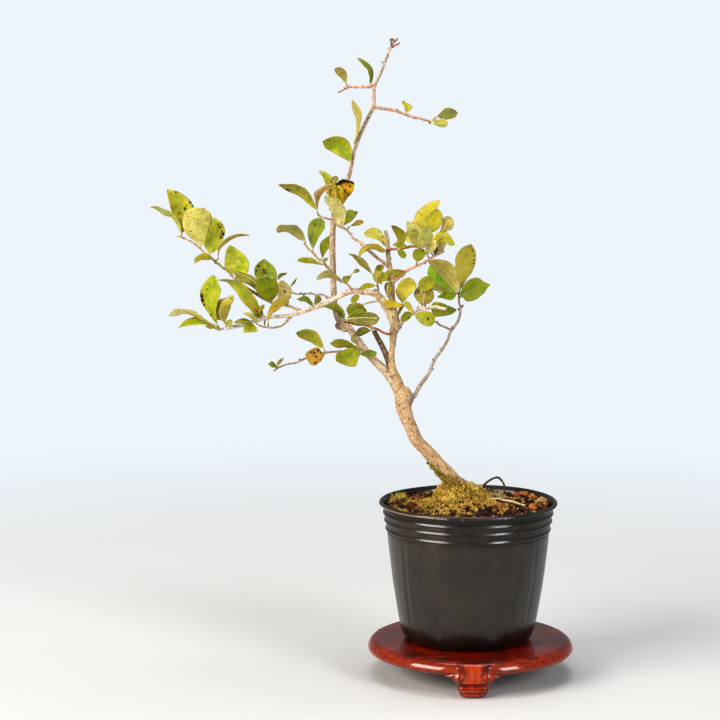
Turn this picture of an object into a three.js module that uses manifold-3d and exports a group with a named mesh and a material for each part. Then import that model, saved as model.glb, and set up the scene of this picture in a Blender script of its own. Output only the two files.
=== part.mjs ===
// Princess persimmon bonsai in a thin nursery pot, standing on a round lacquered wooden stand with three feet.
// Millimetres, +Z up. The tree's wood (trunk, limbs, twigs and the roots in the soil) grew as one piece and is one solid.
// Leaves are solids of their own, one for each leaf or for each group of leaves that share one bud.
// The group's origin is the bottom centre of the whole object's box, at the height of the soles of the feet.
import * as THREE from "three";
import { mergeVertices } from "three/addons/utils/BufferGeometryUtils.js";
import Module from "manifold-3d";

const wasm = await Module();
wasm.setup();

// ---- driving dimensions, mm ----
const GAP = 0.3; // clearance kept between pieces that touch
const STAND_RADIUS = 55.2; // round top of the stand
const STAND_CENTRE_X = 2.0; // the pot stands a little off the stand's middle
const STAND_TOP_Z = 19.0;
const STAND_BOARD = 7.1; // thickness of the round top
const FOOT_RING = 47.0; // distance of the feet's middle from the stand's axis
const FOOT_TOE_WIDTH = 14.6;
const FOOT_SHOULDER_WIDTH = 25.5;
const FOOT_ANGLES = { stand_foot_front: -90, stand_foot_back_left: 150, stand_foot_back_right: 30 };
const POT_AXIS_X = 0.4;
const POT_BASE_Z = STAND_TOP_Z + 0.1;
const POT_RIM_RADIUS = 47.6; // outer edge of the rim, 95 mm across
const POT_RIM_Z = 92.5;
const POT_WALL = 0.9;
const DRAIN_HOLE_RADIUS = 3.2;
const DRAIN_RING = 17;
const SOIL_EDGE_Z = 90.8; // soil surface at the pot's wall, a few mm under the rim
const SOIL_CROWN = 1.9; // how far it rises towards the trunk
const LEAF_THICKNESS = 0.8; // at the midrib; a leaf thins to its edge
const LEAF_FOLD = 0.16; // depth of the fold along the midrib, as a part of the half width
const PETIOLE_RADIUS = 0.5;
const BUD_RADIUS = 0.85;

const POT_SEGMENTS = 28;
const SOIL_SEGMENTS = 20;
const LEAF_STATIONS = [1, 3, 5]; // rows of the leaf table that become sections
const SIMPLIFY = 0.12; // faces finer than this are merged

// ---- colours ----
const C = {
  bark: "#b08a6a", pot: "#403b36", soil: "#4a2f1e", moss: "#8f8a2a", mossGold: "#b0862c", lacquer: "#8a2408",
  granule: "#b5703a", straw: "#c9a27a",
  u: "#8c8f1c", l: "#b9ab63",
};

// ---- solids ----
const solidOf = (geometry, weld = 1e-4) => {
  const g = (geometry.index ? geometry.toNonIndexed() : geometry).clone();
  for (const k of Object.keys(g.attributes)) if (k !== "position") g.deleteAttribute(k);
  const m = mergeVertices(g, weld);
  const p = m.attributes.position.array;
  const t = new Uint32Array(m.index.array);
  let v = 0;
  for (let i = 0; i < t.length; i += 3) {
    const a = t[i] * 3, b = t[i + 1] * 3, c = t[i + 2] * 3;
    v += p[a] * (p[b + 1] * p[c + 2] - p[b + 2] * p[c + 1]) - p[a + 1] * (p[b] * p[c + 2] - p[b + 2] * p[c]) + p[a + 2] * (p[b] * p[c + 1] - p[b + 1] * p[c]);
  }
  if (v < 0) for (let i = 0; i < t.length; i += 3) [t[i + 1], t[i + 2]] = [t[i + 2], t[i + 1]];
  return new wasm.Manifold(new wasm.Mesh({ numProp: 3, vertProperties: new Float32Array(p), triVerts: t }));
};
const geometryOf = (solid) => {
  const m = solid.getMesh();
  const n = m.numProp, pos = new Float32Array((m.vertProperties.length / n) * 3);
  for (let i = 0; i < pos.length / 3; i++) for (let k = 0; k < 3; k++) pos[i * 3 + k] = m.vertProperties[i * n + k];
  const g = new THREE.BufferGeometry();
  g.setAttribute("position", new THREE.BufferAttribute(pos, 3));
  g.setIndex(new THREE.BufferAttribute(new Uint32Array(m.triVerts), 1));
  g.computeVertexNormals();
  return g;
};
const biggest = (solid) => {
  const all = solid.decompose();
  return all.reduce((a, b) => (b.volume() > a.volume() ? b : a));
};
// A face is thin when its height over its longest edge is under LEAST_FACE. A thin face with a short edge has that edge drawn
// together, and a flat one is turned to the other diagonal, so that no sliver stays in the solid.
const LEAST_FACE = 0.025;
const cleared = (solid) => {
  const m = solid.getMesh(), n = m.numProp, P = [];
  let T = [];
  for (let i = 0; i < m.vertProperties.length / n; i++) P.push([m.vertProperties[i * n], m.vertProperties[i * n + 1], m.vertProperties[i * n + 2]]);
  for (let i = 0; i < m.triVerts.length; i += 3) T.push([m.triVerts[i], m.triVerts[i + 1], m.triVerts[i + 2]]);
  const away = (a, b) => Math.hypot(P[a][0] - P[b][0], P[a][1] - P[b][1], P[a][2] - P[b][2]);
  const facing = ([a, b, c]) => {
    const u = P[b].map((v, k) => v - P[a][k]), w = P[c].map((v, k) => v - P[a][k]);
    return [u[1] * w[2] - u[2] * w[1], u[2] * w[0] - u[0] * w[2], u[0] * w[1] - u[1] * w[0]];
  };
  const height = (t) => {
    const e = Math.max(away(t[0], t[1]), away(t[1], t[2]), away(t[2], t[0]));
    return e < 1e-9 ? 0 : Math.hypot(...facing(t)) / e;
  };
  const near = (v) => new Set(T.filter((t) => t.includes(v)).flat());
  const stuck = new Set();
  for (let turn = 0; turn < 900; turn++) {
    let worst = null, low = LEAST_FACE;
    for (const t of T) {
      const key = [...t].sort().join();
      const h = height(t);
      if (h < low && !stuck.has(key)) [worst, low] = [t, h];
    }
    if (!worst) break;
    const key = [...worst].sort().join();
    const edges = [0, 1, 2].map((k) => [worst[k], worst[(k + 1) % 3]]).sort((p, q) => away(...p) - away(...q));
    let done = false;
    const draw = (a, b) => {
      const na = near(a), nb = near(b);
      if ([...na].filter((v) => v !== a && v !== b && nb.has(v)).length !== 2) return false;
      const old = P[b], mid = [...P[b]];
      for (const [keepA, at] of [[true, P[a]], [false, mid]]) {
        const target = [...at];
        const touched = T.filter((t) => t.includes(a) !== t.includes(b));
        const before = touched.map(facing);
        const sa = P[a], sb = P[b];
        P[a] = target; P[b] = target;
        const after = touched.map(facing);
        const turned = before.some((f, i) => Math.hypot(...f) > 4e-3 && f[0] * after[i][0] + f[1] * after[i][1] + f[2] * after[i][2] <= 0);
        if (!turned) {
          T = T.filter((t) => !(t.includes(a) && t.includes(b)));
          for (const t of T) for (let k = 0; k < 3; k++) if (t[k] === b) t[k] = a;
          return true;
        }
        P[a] = sa; P[b] = sb;
      }
      return false;
    };
    const turnOver = (a, b) => {
      const c = worst.find((v) => v !== a && v !== b);
      const other = T.find((t) => t !== worst && t.includes(a) && t.includes(b));
      if (!other) return false;
      const d = other.find((v) => v !== a && v !== b);
      if (c === d || near(c).has(d)) return false;
      const t1 = [a, d, c], t2 = [d, b, c];
      // keep the way round of the thin face's edge a, b
      const way = worst.indexOf(b) === (worst.indexOf(a) + 1) % 3;
      const n1 = way ? t1 : [t1[0], t1[2], t1[1]], n2 = way ? t2 : [t2[0], t2[2], t2[1]];
      const f = facing(other), f1 = facing(n1), f2 = facing(n2);
      const dot = (p, q) => p[0] * q[0] + p[1] * q[1] + p[2] * q[2];
      if (dot(f, f1) <= 0 || dot(f, f2) <= 0) return false;
      if (Math.min(height(n1), height(n2)) <= low) return false;
      T = T.filter((t) => t !== worst && t !== other);
      T.push(n1, n2);
      return true;
    };
    if (away(...edges[0]) < 4 * LEAST_FACE) done = draw(...edges[0]);
    if (!done) done = turnOver(...edges[2]);
    if (!done) done = draw(...edges[0]);
    if (!done) done = draw(...edges[1]);
    if (!done) stuck.add(key);
  }
  const used = new Map(), pos = [], idx = [];
  for (const t of T) for (const v of t) {
    if (!used.has(v)) { used.set(v, used.size); pos.push(...P[v]); }
    idx.push(used.get(v));
  }
  return new wasm.Manifold(new wasm.Mesh({ numProp: 3, vertProperties: new Float32Array(pos), triVerts: new Uint32Array(idx) }));
};
// How thin the thinnest face is, or -1 where two corners are one place and so the body pinches.
const finest = (solid) => {
  const m = solid.getMesh(), p = m.vertProperties, t = m.triVerts, n = m.numProp;
  const v = (i) => new THREE.Vector3(p[i * n], p[i * n + 1], p[i * n + 2]);
  const all = [];
  for (let i = 0; i < p.length / n; i++) all.push(v(i));
  all.sort((a, b) => a.x - b.x);
  for (let i = 0; i < all.length; i++)
    for (let j = i + 1; j < all.length && all[j].x - all[i].x < 4e-3; j++) if (all[i].distanceTo(all[j]) < 4e-3) return -1;
  let low = Infinity;
  for (let i = 0; i < t.length; i += 3) {
    const a = v(t[i]), b = v(t[i + 1]), c = v(t[i + 2]);
    const e = Math.max(a.distanceTo(b), b.distanceTo(c), c.distanceTo(a));
    low = Math.min(low, new THREE.Vector3().subVectors(b, a).cross(new THREE.Vector3().subVectors(c, a)).length() / e);
  }
  return low;
};
// Merges faces too fine to matter, and keeps the one closed body. The tolerance is changed until no sliver is left.
const tidy = (solid) => {
  let best = null, bestLow = -2;
  for (const tol of [SIMPLIFY, 0.15, 0.1, 0.18, 0.08, 0.21, 0.06, 0.25, 0.3]) {
    let s;
    try {
      s = cleared(biggest(solidOf(geometryOf(biggest(solid.simplify(tol))), 5e-3)));
      if (s.status() !== "NoError" || s.decompose().length !== 1) continue;
    } catch (e) {
      continue;
    }
    const low = finest(s);
    if (low > bestLow) [best, bestLow] = [s, low];
    if (low >= 0.9 * LEAST_FACE) break;
  }
  return best;
};
const join = (list) => list.reduce((a, b) => a.add(b));

// A closed skin over rings of equal point count.
// A thin blade's upper and lower skins are cut along the same diagonals, so that a twist doesn't push one through the other.
const loft = (rings, thin = false) => {
  const k = rings[0].length, pos = [], idx = [];
  rings.forEach((r) => r.forEach((p) => pos.push(p.x, p.y, p.z)));
  for (let i = 0; i < rings.length - 1; i++)
    for (let j = 0; j < k; j++) {
      const a = i * k + j, b = i * k + ((j + 1) % k), c = a + k, d = b + k;
      if (thin && j % 2 === 0) idx.push(a, b, c, b, d, c);
      else idx.push(a, b, d, a, d, c);
    }
  const last = (rings.length - 1) * k;
  for (let j = 1; j < k - 1; j++) {
    idx.push(0, j + 1, j);
    idx.push(last, last + j, last + j + 1);
  }
  const g = new THREE.BufferGeometry();
  g.setAttribute("position", new THREE.Float32BufferAttribute(pos, 3));
  g.setIndex(idx);
  return solidOf(g);
};

// A tapered limb along x, y, z, radius rows.
const limb = (rows, grow = 0) => {
  const P = rows.map((r) => new THREE.Vector3(r[0], r[1], r[2]));
  const R = rows.map((r) => r[3] + grow);
  const thick = Math.max(...rows.map((r) => r[3]));
  const sides = thick > 3 ? 9 : thick > 1.5 ? 6 : 5;
  const rings = [];
  let u = null;
  P.forEach((p, i) => {
    const t = new THREE.Vector3().subVectors(P[Math.min(i + 1, P.length - 1)], P[Math.max(i - 1, 0)]).normalize();
    if (!u) u = new THREE.Vector3(0.3, 1, 0.2);
    u = u.clone().addScaledVector(t, -u.dot(t)).normalize();
    const w = new THREE.Vector3().crossVectors(t, u);
    const q = p.clone();
    if (grow && i === P.length - 1) q.addScaledVector(t, grow);
    if (grow && i === 0) q.addScaledVector(t, -grow);
    const ring = [];
    for (let j = 0; j < sides; j++) {
      const a = (2 * Math.PI * j) / sides;
      ring.push(q.clone().addScaledVector(u, Math.cos(a) * R[i]).addScaledVector(w, Math.sin(a) * R[i]));
    }
    rings.push(ring);
  });
  return loft(rings);
};

// One leaf with its stalk: rows of midrib point and half width vector, from base to tip.
const leaf = (d, from, grow = 0) => {
  const up0 = new THREE.Vector3(...d.up);
  const M = d.st.map((s) => new THREE.Vector3(s[0], s[1], s[2]));
  const H = d.st.map((s) => new THREE.Vector3(s[3], s[4], s[5]));
  const along = (i) => new THREE.Vector3().subVectors(M[i + 1], M[i - 1]).normalize();
  const way = Math.sign(H[3].dot(new THREE.Vector3().crossVectors(along(3), up0))) || 1; // which edge is on the right
  const side = (i) => H[i].clone().normalize().multiplyScalar(way);
  const small = (p, t, r, s0) => {
    const n = new THREE.Vector3().crossVectors(s0, t).normalize();
    const s = new THREE.Vector3().crossVectors(t, n).normalize();
    return [p.clone().addScaledVector(s, -r), p.clone().addScaledVector(n, -r), p.clone().addScaledVector(s, r), p.clone().addScaledVector(n, r)];
  };
  const base = new THREE.Vector3().subVectors(M[1], M[0]).normalize();
  const rings = [small(M[0].clone().addScaledVector(base, -0.2 - grow), base, PETIOLE_RADIUS + grow, side(1))];
  for (const i of LEAF_STATIONS) {
    const s = side(i), h = H[i].length();
    const n = new THREE.Vector3().crossVectors(s, along(i)).normalize();
    const mid = M[i].clone().addScaledVector(n, -LEAF_FOLD * h);
    const half = LEAF_THICKNESS / 2 + grow * 1.25;
    rings.push([M[i].clone().addScaledVector(s, -h - grow), mid.clone().addScaledVector(n, -half), M[i].clone().addScaledVector(s, h + grow), mid.clone().addScaledVector(n, half)]);
  }
  const tt = new THREE.Vector3().subVectors(M[7], M[6]).normalize();
  rings.push(small(M[7].clone().addScaledVector(tt, grow), tt, 0.22 + grow, side(5)));
  const blade = loft(rings, true);
  const stalk = new THREE.Vector3().subVectors(M[0], from);
  const long = stalk.length() > 0.4;
  const t0 = long ? stalk.clone().normalize() : base;
  const up1 = Math.abs(t0.z) < 0.8 ? new THREE.Vector3(0, 0, 1) : new THREE.Vector3(1, 0, 0);
  const start = long ? from.clone() : M[0].clone().addScaledVector(t0, -0.6);
  return blade.add(loft([small(start.addScaledVector(t0, -grow), t0, PETIOLE_RADIUS + grow, up1), small(M[0].clone().addScaledVector(t0, 0.35 + grow), t0, PETIOLE_RADIUS * 0.93 + grow, up1)]));
};

// ---- wood: limbs as rows of x, y, z and radius ----
const WOOD = {
  trunk: [[1.92, 10, 89.91, 5.95], [-8.77, 7.6, 104.85, 4.05], [-27.2, 4.13, 125.84, 3.48], [-33.85, 2.24, 142.34, 4.05], [-34.26, 1.42, 150, 4.97], [-35.07, 1, 153.82, 3.72]],
  T1: [[-35.32, 1.39, 150, 2.93], [-38.26, 1.47, 155.36, 2.51], [-44.12, 1.6, 163.39, 2.27], [-55.28, 1.84, 175.13, 2.06], [-67.48, 3, 191.02, 1.86]],
  L: [[-64.83, 2.65, 185.19, 1.86], [-69.6, 3.77, 192.54, 1.77], [-70.93, 4.53, 198.32, 1.71], [-71.46, 5.71, 208.87, 1.64], [-71.96, 5.27, 224.85, 1.61], [-71.66, 4.75, 240.77, 1.56], [-70.59, 3.65, 246.12, 1.48], [-63.17, -0.65, 266.83, 1.08], [-60.54, -2.74, 279.43, 0.97], [-58.97, -3.57, 284.14, 0.99], [-56.88, -3.49, 289.33, 1.01], [-50.35, -0.97, 302.77, 1.02], [-49.56, 1.43, 314.16, 0.83], [-39.32, 8, 338.06, 0.48]],
  L2: [[-40.64, 7.02, 334.42, 0.58], [-41.43, 7, 338.05, 0.42]],
  L3: [[-40.64, 6.9, 333.9, 0.53], [-36.75, 5, 335.94, 0.42]],
  P: [[-49.56, 1.43, 314.16, 0.84], [-53.21, 4.01, 313.11, 0.74], [-62.67, 10.22, 313.09, 0.53], [-69.02, 14, 310.19, 0.4]],
  R: [[-50.35, -0.97, 302.77, 0.84], [-39.71, -5.36, 301.02, 0.75], [-29.93, -9.84, 297.74, 0.64], [-20.24, -15, 295.77, 0.52]],
  S: [[-35.06, 1.4, 150, 3.19], [-39.9, -0.63, 164.22, 2.04], [-40.71, -1.15, 168.56, 1.76], [-39.7, -2.25, 184.15, 2.26], [-38.66, -2.52, 187.91, 2.67], [-40.52, -1.81, 202.69, 1.67], [-41.05, -0.65, 214.75, 1.51], [-43.96, 2, 237.79, 1.06]],
  T2: [[-39.36, -0.19, 160.95, 1.86], [-44.59, 8.27, 173.81, 1.57], [-49.9, 14, 183.35, 1.34]],
  T4: [[-65.36, 2.78, 187.84, 1.33], [-60.59, 5.43, 183.27, 1.33], [-57.93, 5.52, 178.97, 1.33], [-56.87, 5, 176.89, 1.33]],
  KN: [[-66.95, 2.97, 186.76, 1.59], [-68.8, 2.44, 187.35, 1.72], [-69.86, 2, 188.47, 1.06]],
  Q: [[-37.86, -2.43, 186.3, 2.38], [-42.12, -4.13, 195.51, 2.15], [-45.83, -5.24, 201.97, 1.91], [-47.94, -5.63, 204.12, 1.81], [-48.99, -6, 206.8, 1.71]],
  Q2: [[-47.94, -5.76, 205.19, 0.79], [-48.49, -8, 211.2, 0.47]],
  Q3: [[-44.77, -5.06, 200.9, 0.63], [-47.42, -7.31, 201.65, 0.57], [-51.12, -10.42, 201.44, 0.5], [-55.83, -14, 200.23, 0.39]],
  M: [[-45.3, -5.21, 201.97, 1.58], [-47.94, -5.65, 204.39, 1.58], [-52.15, -6.21, 206.03, 1.58], [-59.5, -6.74, 206.87, 1.54], [-62.65, -6.43, 206.58, 1.48], [-71.07, -5.75, 202.55, 1.31], [-80.49, -8.18, 198.58, 1.23], [-90.41, -10.66, 195.41, 1.15], [-94.05, -11.55, 194.45, 1.11], [-104.43, -13.9, 193.92, 1.05], [-118.39, -17.16, 190.08, 1.12], [-130.74, -20, 187.78, 0.52]],
  M2: [[-107.79, -14.66, 193.47, 0.84], [-108.89, -13, 197.5, 0.68]],
  T3: [[-93.53, -11.49, 193.66, 0.58], [-96.61, -13.82, 190.49, 0.54], [-98.66, -15.06, 189.32, 0.52], [-101.73, -16.69, 188.71, 0.5], [-108.36, -19.97, 189.61, 0.45], [-111.89, -22, 192.19, 0.42]],
  G: [[-71.07, -5.78, 202.29, 0.63], [-77.43, -2.29, 204.59, 0.53], [-83.83, 0.96, 204.8, 0.5], [-90.81, 4.55, 204.18, 0.46], [-93.5, 6, 204.84, 0.45]],
  U: [[-85.19, -9.39, 196.59, 0.68], [-103.59, -7.66, 200.9, 0.77], [-108.86, -7.03, 203.47, 0.79], [-118.94, -4.31, 209.28, 0.76], [-126.92, -1.71, 216.96, 0.74], [-146.23, 4.75, 231.78, 0.49], [-152.16, 6.44, 234.3, 0.42], [-154.32, 7, 234.53, 0.4]],
  H: [[-41.58, -0.29, 217.9, 0.9], [-45.3, -2.4, 221.77, 0.85], [-53.21, -6.08, 228.38, 0.76], [-56.88, -5.65, 232.29, 0.71], [-61.07, -5.27, 234.62, 0.67], [-62.64, -5.06, 236.7, 0.66], [-64.21, -5.77, 238.85, 0.64], [-68.89, -7.96, 241.35, 0.6], [-72.52, -9.99, 244.61, 0.57], [-79.23, -13, 247.15, 0.52]],
  I: [[-71.98, 5.54, 215.27, 0.74], [-77.04, 8.2, 221.16, 0.65], [-80.25, 9.49, 223.18, 0.6], [-87.25, 14, 230.56, 0.48]],
  K: [[-59.5, -6.74, 206.34, 0.63], [-61.6, -7.52, 207.47, 0.59], [-65.77, -10, 211.91, 0.47]],
  V: [[-39.43, -2.17, 183.08, 0.69], [-44.75, -5.06, 184.48, 0.64], [-50.04, -8.23, 187.49, 0.59], [-55.83, -11.4, 189.43, 0.54], [-58.45, -12.53, 189.56, 0.51], [-66.27, -16, 191.78, 0.44]],
  BB: [[-37.86, -2.5, 187.37, 1.06], [-36.3, -3.82, 188.58, 1.02], [-34.25, -6.31, 191.77, 0.95], [-27.07, -12.61, 197.72, 0.9], [-17.88, -18.72, 199.67, 0.92], [-12.8, -22, 198.97, 0.93]],
  W: [[-31.85, 1.65, 147.81, 1.33], [-28.64, 2.86, 149.79, 1.21], [-20.55, 7.45, 161.53, 0.98], [-17.84, 9.48, 167.73, 0.89], [-11.89, 12.47, 175.99, 0.83], [-9.15, 14.78, 182.19, 0.8], [-4.8, 16.91, 188.42, 0.75], [-3.71, 17.6, 191.59, 0.73], [-3.43, 18.36, 195.29, 0.7], [-4.23, 19.03, 198.45, 0.68], [-4.21, 20, 203.21, 0.65]],
  W2: [[-8.59, 15.4, 183.73, 0.62], [-18.12, 4, 189.84, 0.45]],
  X: [[-41.05, -1.1, 210.56, 1.06], [-33.06, 3.51, 216.51, 0.74], [-22.88, 8.45, 220.87, 0.62], [-12.64, 13, 226.1, 0.51]],
  Y: [[-42.9, 0.92, 228.37, 0.74], [-35.36, -4.31, 229.03, 0.65], [-30.2, -7.9, 230.36, 0.6], [-27.62, -9.5, 230.22, 0.57], [-24.03, -12, 228.58, 0.52]],
  O: [[-56.34, 1.93, 176.19, 0.69], [-58.46, 0.02, 174.29, 0.67], [-73.17, -9.19, 174.9, 0.57], [-78.38, -12.16, 174.22, 0.53], [-86.14, -16.69, 172.41, 0.49], [-91.28, -19.71, 170.43, 0.45], [-97.93, -23.39, 169.34, 0.42], [-102, -26, 167.06, 0.39]],
  F1r: [[-7.95, 7.81, 103.45, 2.69], [-0.97, 7.23, 101.1, 2.33], [7.08, 6.42, 96.07, 1.44], [10.3, 6, 92.87, 1.08]],
  rootA: [[1.92, 10, 89.91, 4.2], [11.92, 5, 83.91, 3.4], [26, -10, 76, 2.2], [32, -14, 60, 1]],
  rootB: [[1.92, 10, 89.91, 4.4], [-9.08, 14, 83.91, 3.2], [-24, 17, 72, 2], [-27, 15, 56, 1]],
  rootC: [[1.92, 10, 89.91, 4.2], [-3.08, -2, 81.91, 3], [-11, -24, 68, 1.8], [-10, -27, 52, 1]],
  rootD: [[1.92, 10, 89.91, 3.6], [6.92, 22, 81.91, 2.4], [14, 30, 68, 1.2], [13, 29, 54, 0.9]],
  rootLoop: [[1.92, 10, 89.91, 2.2], [4.92, 20, 86.41, 1.4], [7.6, 25.5, 91.2, 0.9], [8.2, 27, 95.2, 0.62], [8.74, 27, 96.43, 0.62], [14.69, 26.5, 100.57, 0.62], [16.84, 26, 101.49, 0.62], [18.48, 26, 101.21, 0.62], [21.17, 25, 97.52, 0.62], [22.43, 21.5, 76.84, 0.5]],
};
// ---- leaves: n name, f 1 upper side or -1 underside turned to the front, a where its stalk leaves the wood, t the twig's direction,
// rb the twig's radius, up the upper side's normal, st rows of midrib point and half width vector from base to tip ----
const LEAVES = [
  { n: "A1", f: -1, a: [-152.16, 6.44, 234.3], t: [-0.94, 0.25, 0.24], rb: 0.42, up: [0.54, 0.34, 0.77],
    st: [[-151.8, 5.43, 235.44, 0, 0, 0], [-152.23, 4.75, 237.86, -0.7, 1.43, -0.48], [-153.45, 3.79, 241.42, -1.17, 3.49, -1.11], [-156.14, 2.6, 245.62, -0.78, 5.57, -1.35], [-160.54, 1.51, 247.83, -0.61, 5.6, -1.73], [-164.04, 0.66, 250.03, -0.14, 3.94, -1.31], [-166.5, 0.11, 250.53, 0.07, 1.77, -0.5], [-167.75, -0.16, 249.77, 0, 0, 0]] },
  { n: "A2", f: 1, a: [-152.16, 6.44, 234.3], t: [-0.94, 0.25, 0.24], rb: 0.42, up: [0.31, -0.86, 0.41],
    st: [[-151.69, 7.45, 235.82, 0, 0, 0], [-151.32, 7.78, 238.36, 1.52, 0.81, 0.18], [-150.87, 8.4, 242.22, 3.69, 1.43, 0.58], [-151.12, 9.48, 247.71, 5.74, 0.5, 1.69], [-153.3, 10.82, 252.84, 4.39, 3.92, 1.66], [-156.43, 12.17, 256.38, 2.63, 3.17, 1.29], [-158.87, 13.24, 258.19, 1.02, 1.55, 0.46], [-159.93, 13.81, 259.04, 0, 0, 0]] },
  { n: "A3", f: -1, a: [-142.13, 3.39, 228.71], t: [-0.76, 0.26, 0.6], rb: 0.54, up: [0.06, 0.97, 0.23],
    st: [[-141.29, 1.92, 229.61, 0, 0, 0], [-141.69, 1.83, 231.53, 1.97, -0.06, -0.44], [-143.01, 1.52, 234.69, 4.68, -0.03, -0.26], [-143.81, 0.74, 239.77, 7.18, -0.1, -0.8], [-142.66, -0.44, 245.43, 7.35, -0.23, -1.81], [-140.65, -1.76, 248.72, 4.72, -0.16, -1.25], [-139.61, -2.87, 249.78, 1.61, 0.39, -0.46], [-139.14, -3.48, 250.23, 0, 0, 0]] },
  { n: "A4", f: 1, a: [-137.2, 1.72, 224.82], t: [-0.76, 0.26, 0.6], rb: 0.61, up: [0.02, -0.93, 0.38],
    st: [[-136.65, 3.02, 225.56, 0, 0, 0], [-136.24, 3.21, 226.98, 1.86, -0.04, -0.3], [-135.71, 3.75, 229.71, 3.97, -0.06, -0.43], [-134.7, 4.97, 234.03, 5.39, -0.05, -0.43], [-134.03, 6.75, 238.59, 5.16, -0.02, -0.15], [-134.55, 8.72, 242.15, 3.52, -0.01, -0.11], [-134.74, 10.35, 243.77, 1.3, 0.76, -0.02], [-134.92, 11.24, 244.32, 0, 0, 0]] },
  { n: "A5", f: 1, a: [-134.88, 0.92, 222.89], t: [-0.74, 0.26, 0.62], rb: 0.64, up: [0.14, -0.32, 0.94],
    st: [[-134.79, -1.4, 223.01, 0, 0, 0], [-135.74, -2.05, 223.56, 0, -1.09, -0.49], [-137.23, -3.19, 224.3, 0.08, -2.52, -1.14], [-139.51, -5.03, 224.71, 0.5, -3.89, -1.4], [-141.76, -7.22, 224.25, 0.95, -3.96, -1.16], [-143.23, -9.37, 223.26, 0.96, -2.75, -0.65], [-143.59, -11.04, 222.27, 0.32, -1.27, -0.17], [-143.76, -11.92, 221.78, 0, 0, 0]] },
  { n: "A6", f: 1, a: [-133.68, 0.49, 221.84], t: [-0.74, 0.26, 0.62], rb: 0.66, up: [0.54, -0.22, -0.81],
    st: [[-132.11, 2.02, 223.52, 0, 0, 0], [-132.1, 2.1, 225.91, 0.2, 1.38, -0.25], [-131.3, 2.41, 229.3, 0.43, 3.18, -0.62], [-128, 3.18, 232.66, 0.3, 4.83, -0.89], [-123.78, 4.37, 234.66, 0.2, 4.9, -1], [-119.86, 5.69, 235.32, 0.09, 3.43, -0.86], [-117.07, 6.81, 235.19, 0.03, 1.51, -0.39], [-115.67, 7.42, 235.03, 0, 0, 0]] },
  { n: "A7", f: 1, a: [-123.19, -3.01, 212.85], t: [-0.74, 0.23, 0.64], rb: 0.75, up: [0.13, -0.9, -0.42],
    st: [[-121.53, -4.39, 214.56, 0, 0, 0], [-121.22, -4.89, 215.34, 2.14, -0.03, -0.2], [-121.23, -5.85, 217, 4.88, 0, -0.01], [-122.06, -7.51, 221.26, 6.32, 0.09, 0.72], [-122.95, -9.58, 225.6, 5, 0.39, 0.75], [-124.05, -11.69, 228.79, 3.04, 1.88, 0.13], [-124.66, -13.36, 230.65, 1.19, 1.04, -0.06], [-124.77, -14.25, 231.36, 0, 0, 0]] },
  { n: "A8", f: -1, a: [-111.55, -6.3, 205.07], t: [-0.86, 0.18, 0.47], rb: 0.79, up: [-0.68, 0.44, -0.59],
    st: [[-110.35, -8.29, 207.02, 0, 0, 0], [-111.36, -8.61, 208.36, -0.67, -1.15, -0.55], [-112.67, -9.31, 210.74, -1.5, -2.79, -1.04], [-115.39, -10.64, 213.22, -1.79, -4.46, -1.4], [-118.77, -12.43, 214.92, -1.53, -4.67, -1.35], [-121.39, -14.31, 216.54, -0.92, -3.39, -0.77], [-123.1, -15.83, 217.69, -0.31, -1.55, -0.21], [-123.94, -16.66, 218.27, 0, 0, 0]] },
  { n: "C1", f: 1, a: [-109.12, -6.96, 203.63], t: [-0.86, 0.18, 0.47], rb: 0.79, up: [0.06, -0.84, 0.53],
    st: [[-106.82, -5.16, 207.25, 0, 0, 0], [-106.64, -4.8, 208.64, 1.61, -0.02, -0.13], [-106.39, -3.97, 210.72, 4.03, -0.04, -0.33], [-106.87, -2.35, 214.19, 5.8, -0.03, -0.2], [-107.45, -0.13, 218.21, 5.45, -0.02, -0.15], [-107.88, 2.23, 220.88, 3.26, 0.79, -0.34], [-107.95, 4.16, 222.19, 1.14, 0.94, -0.23], [-107.96, 5.2, 222.73, 0, 0, 0]] },
  { n: "C2", f: 1, a: [-104.12, -7.6, 201.15], t: [-0.93, 0.1, 0.34], rb: 0.77, up: [0.1, -0.81, -0.57],
    st: [[-104.08, -8.59, 201.25, 0, 0, 0], [-104.31, -9.96, 202.5, 1.68, 0.03, 0.27], [-104.71, -11.94, 204.62, 3.97, 0.08, 0.66], [-105.7, -14.42, 208.31, 5.75, 0.13, 1.03], [-106.38, -16.74, 212.4, 5.68, 0.1, 0.81], [-106.85, -18.57, 214.8, 3.65, 0.04, 0.3], [-106.71, -19.79, 215.25, 1.22, 0.85, -0.01], [-106.64, -20.38, 215.47, 0, 0, 0]] },
  { n: "A10", f: 1, a: [-106.23, -7.35, 202.18], t: [-0.86, 0.18, 0.47], rb: 0.78, up: [0.78, -0.38, -0.5],
    st: [[-100.96, -6.36, 212.63, 0, 0, 0], [-100.57, -5.71, 213.04, 0.25, 0.58, -0.38], [-100.09, -4.68, 213.81, 0.51, 1.42, -0.78], [-99.24, -3.21, 214.79, 0.52, 2.28, -1.02], [-97.99, -1.61, 215.22, 0.37, 2.41, -0.88], [-96.87, -0.16, 215.45, 0.19, 1.74, -0.55], [-96.09, 0.92, 215.57, 0.06, 0.78, -0.21], [-95.7, 1.48, 215.63, 0, 0, 0]] },
  { n: "A11", f: 1, a: [-96.48, -8.33, 199.44], t: [-0.97, 0.09, 0.23], rb: 0.74, up: [0.89, -0.17, -0.42],
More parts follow.
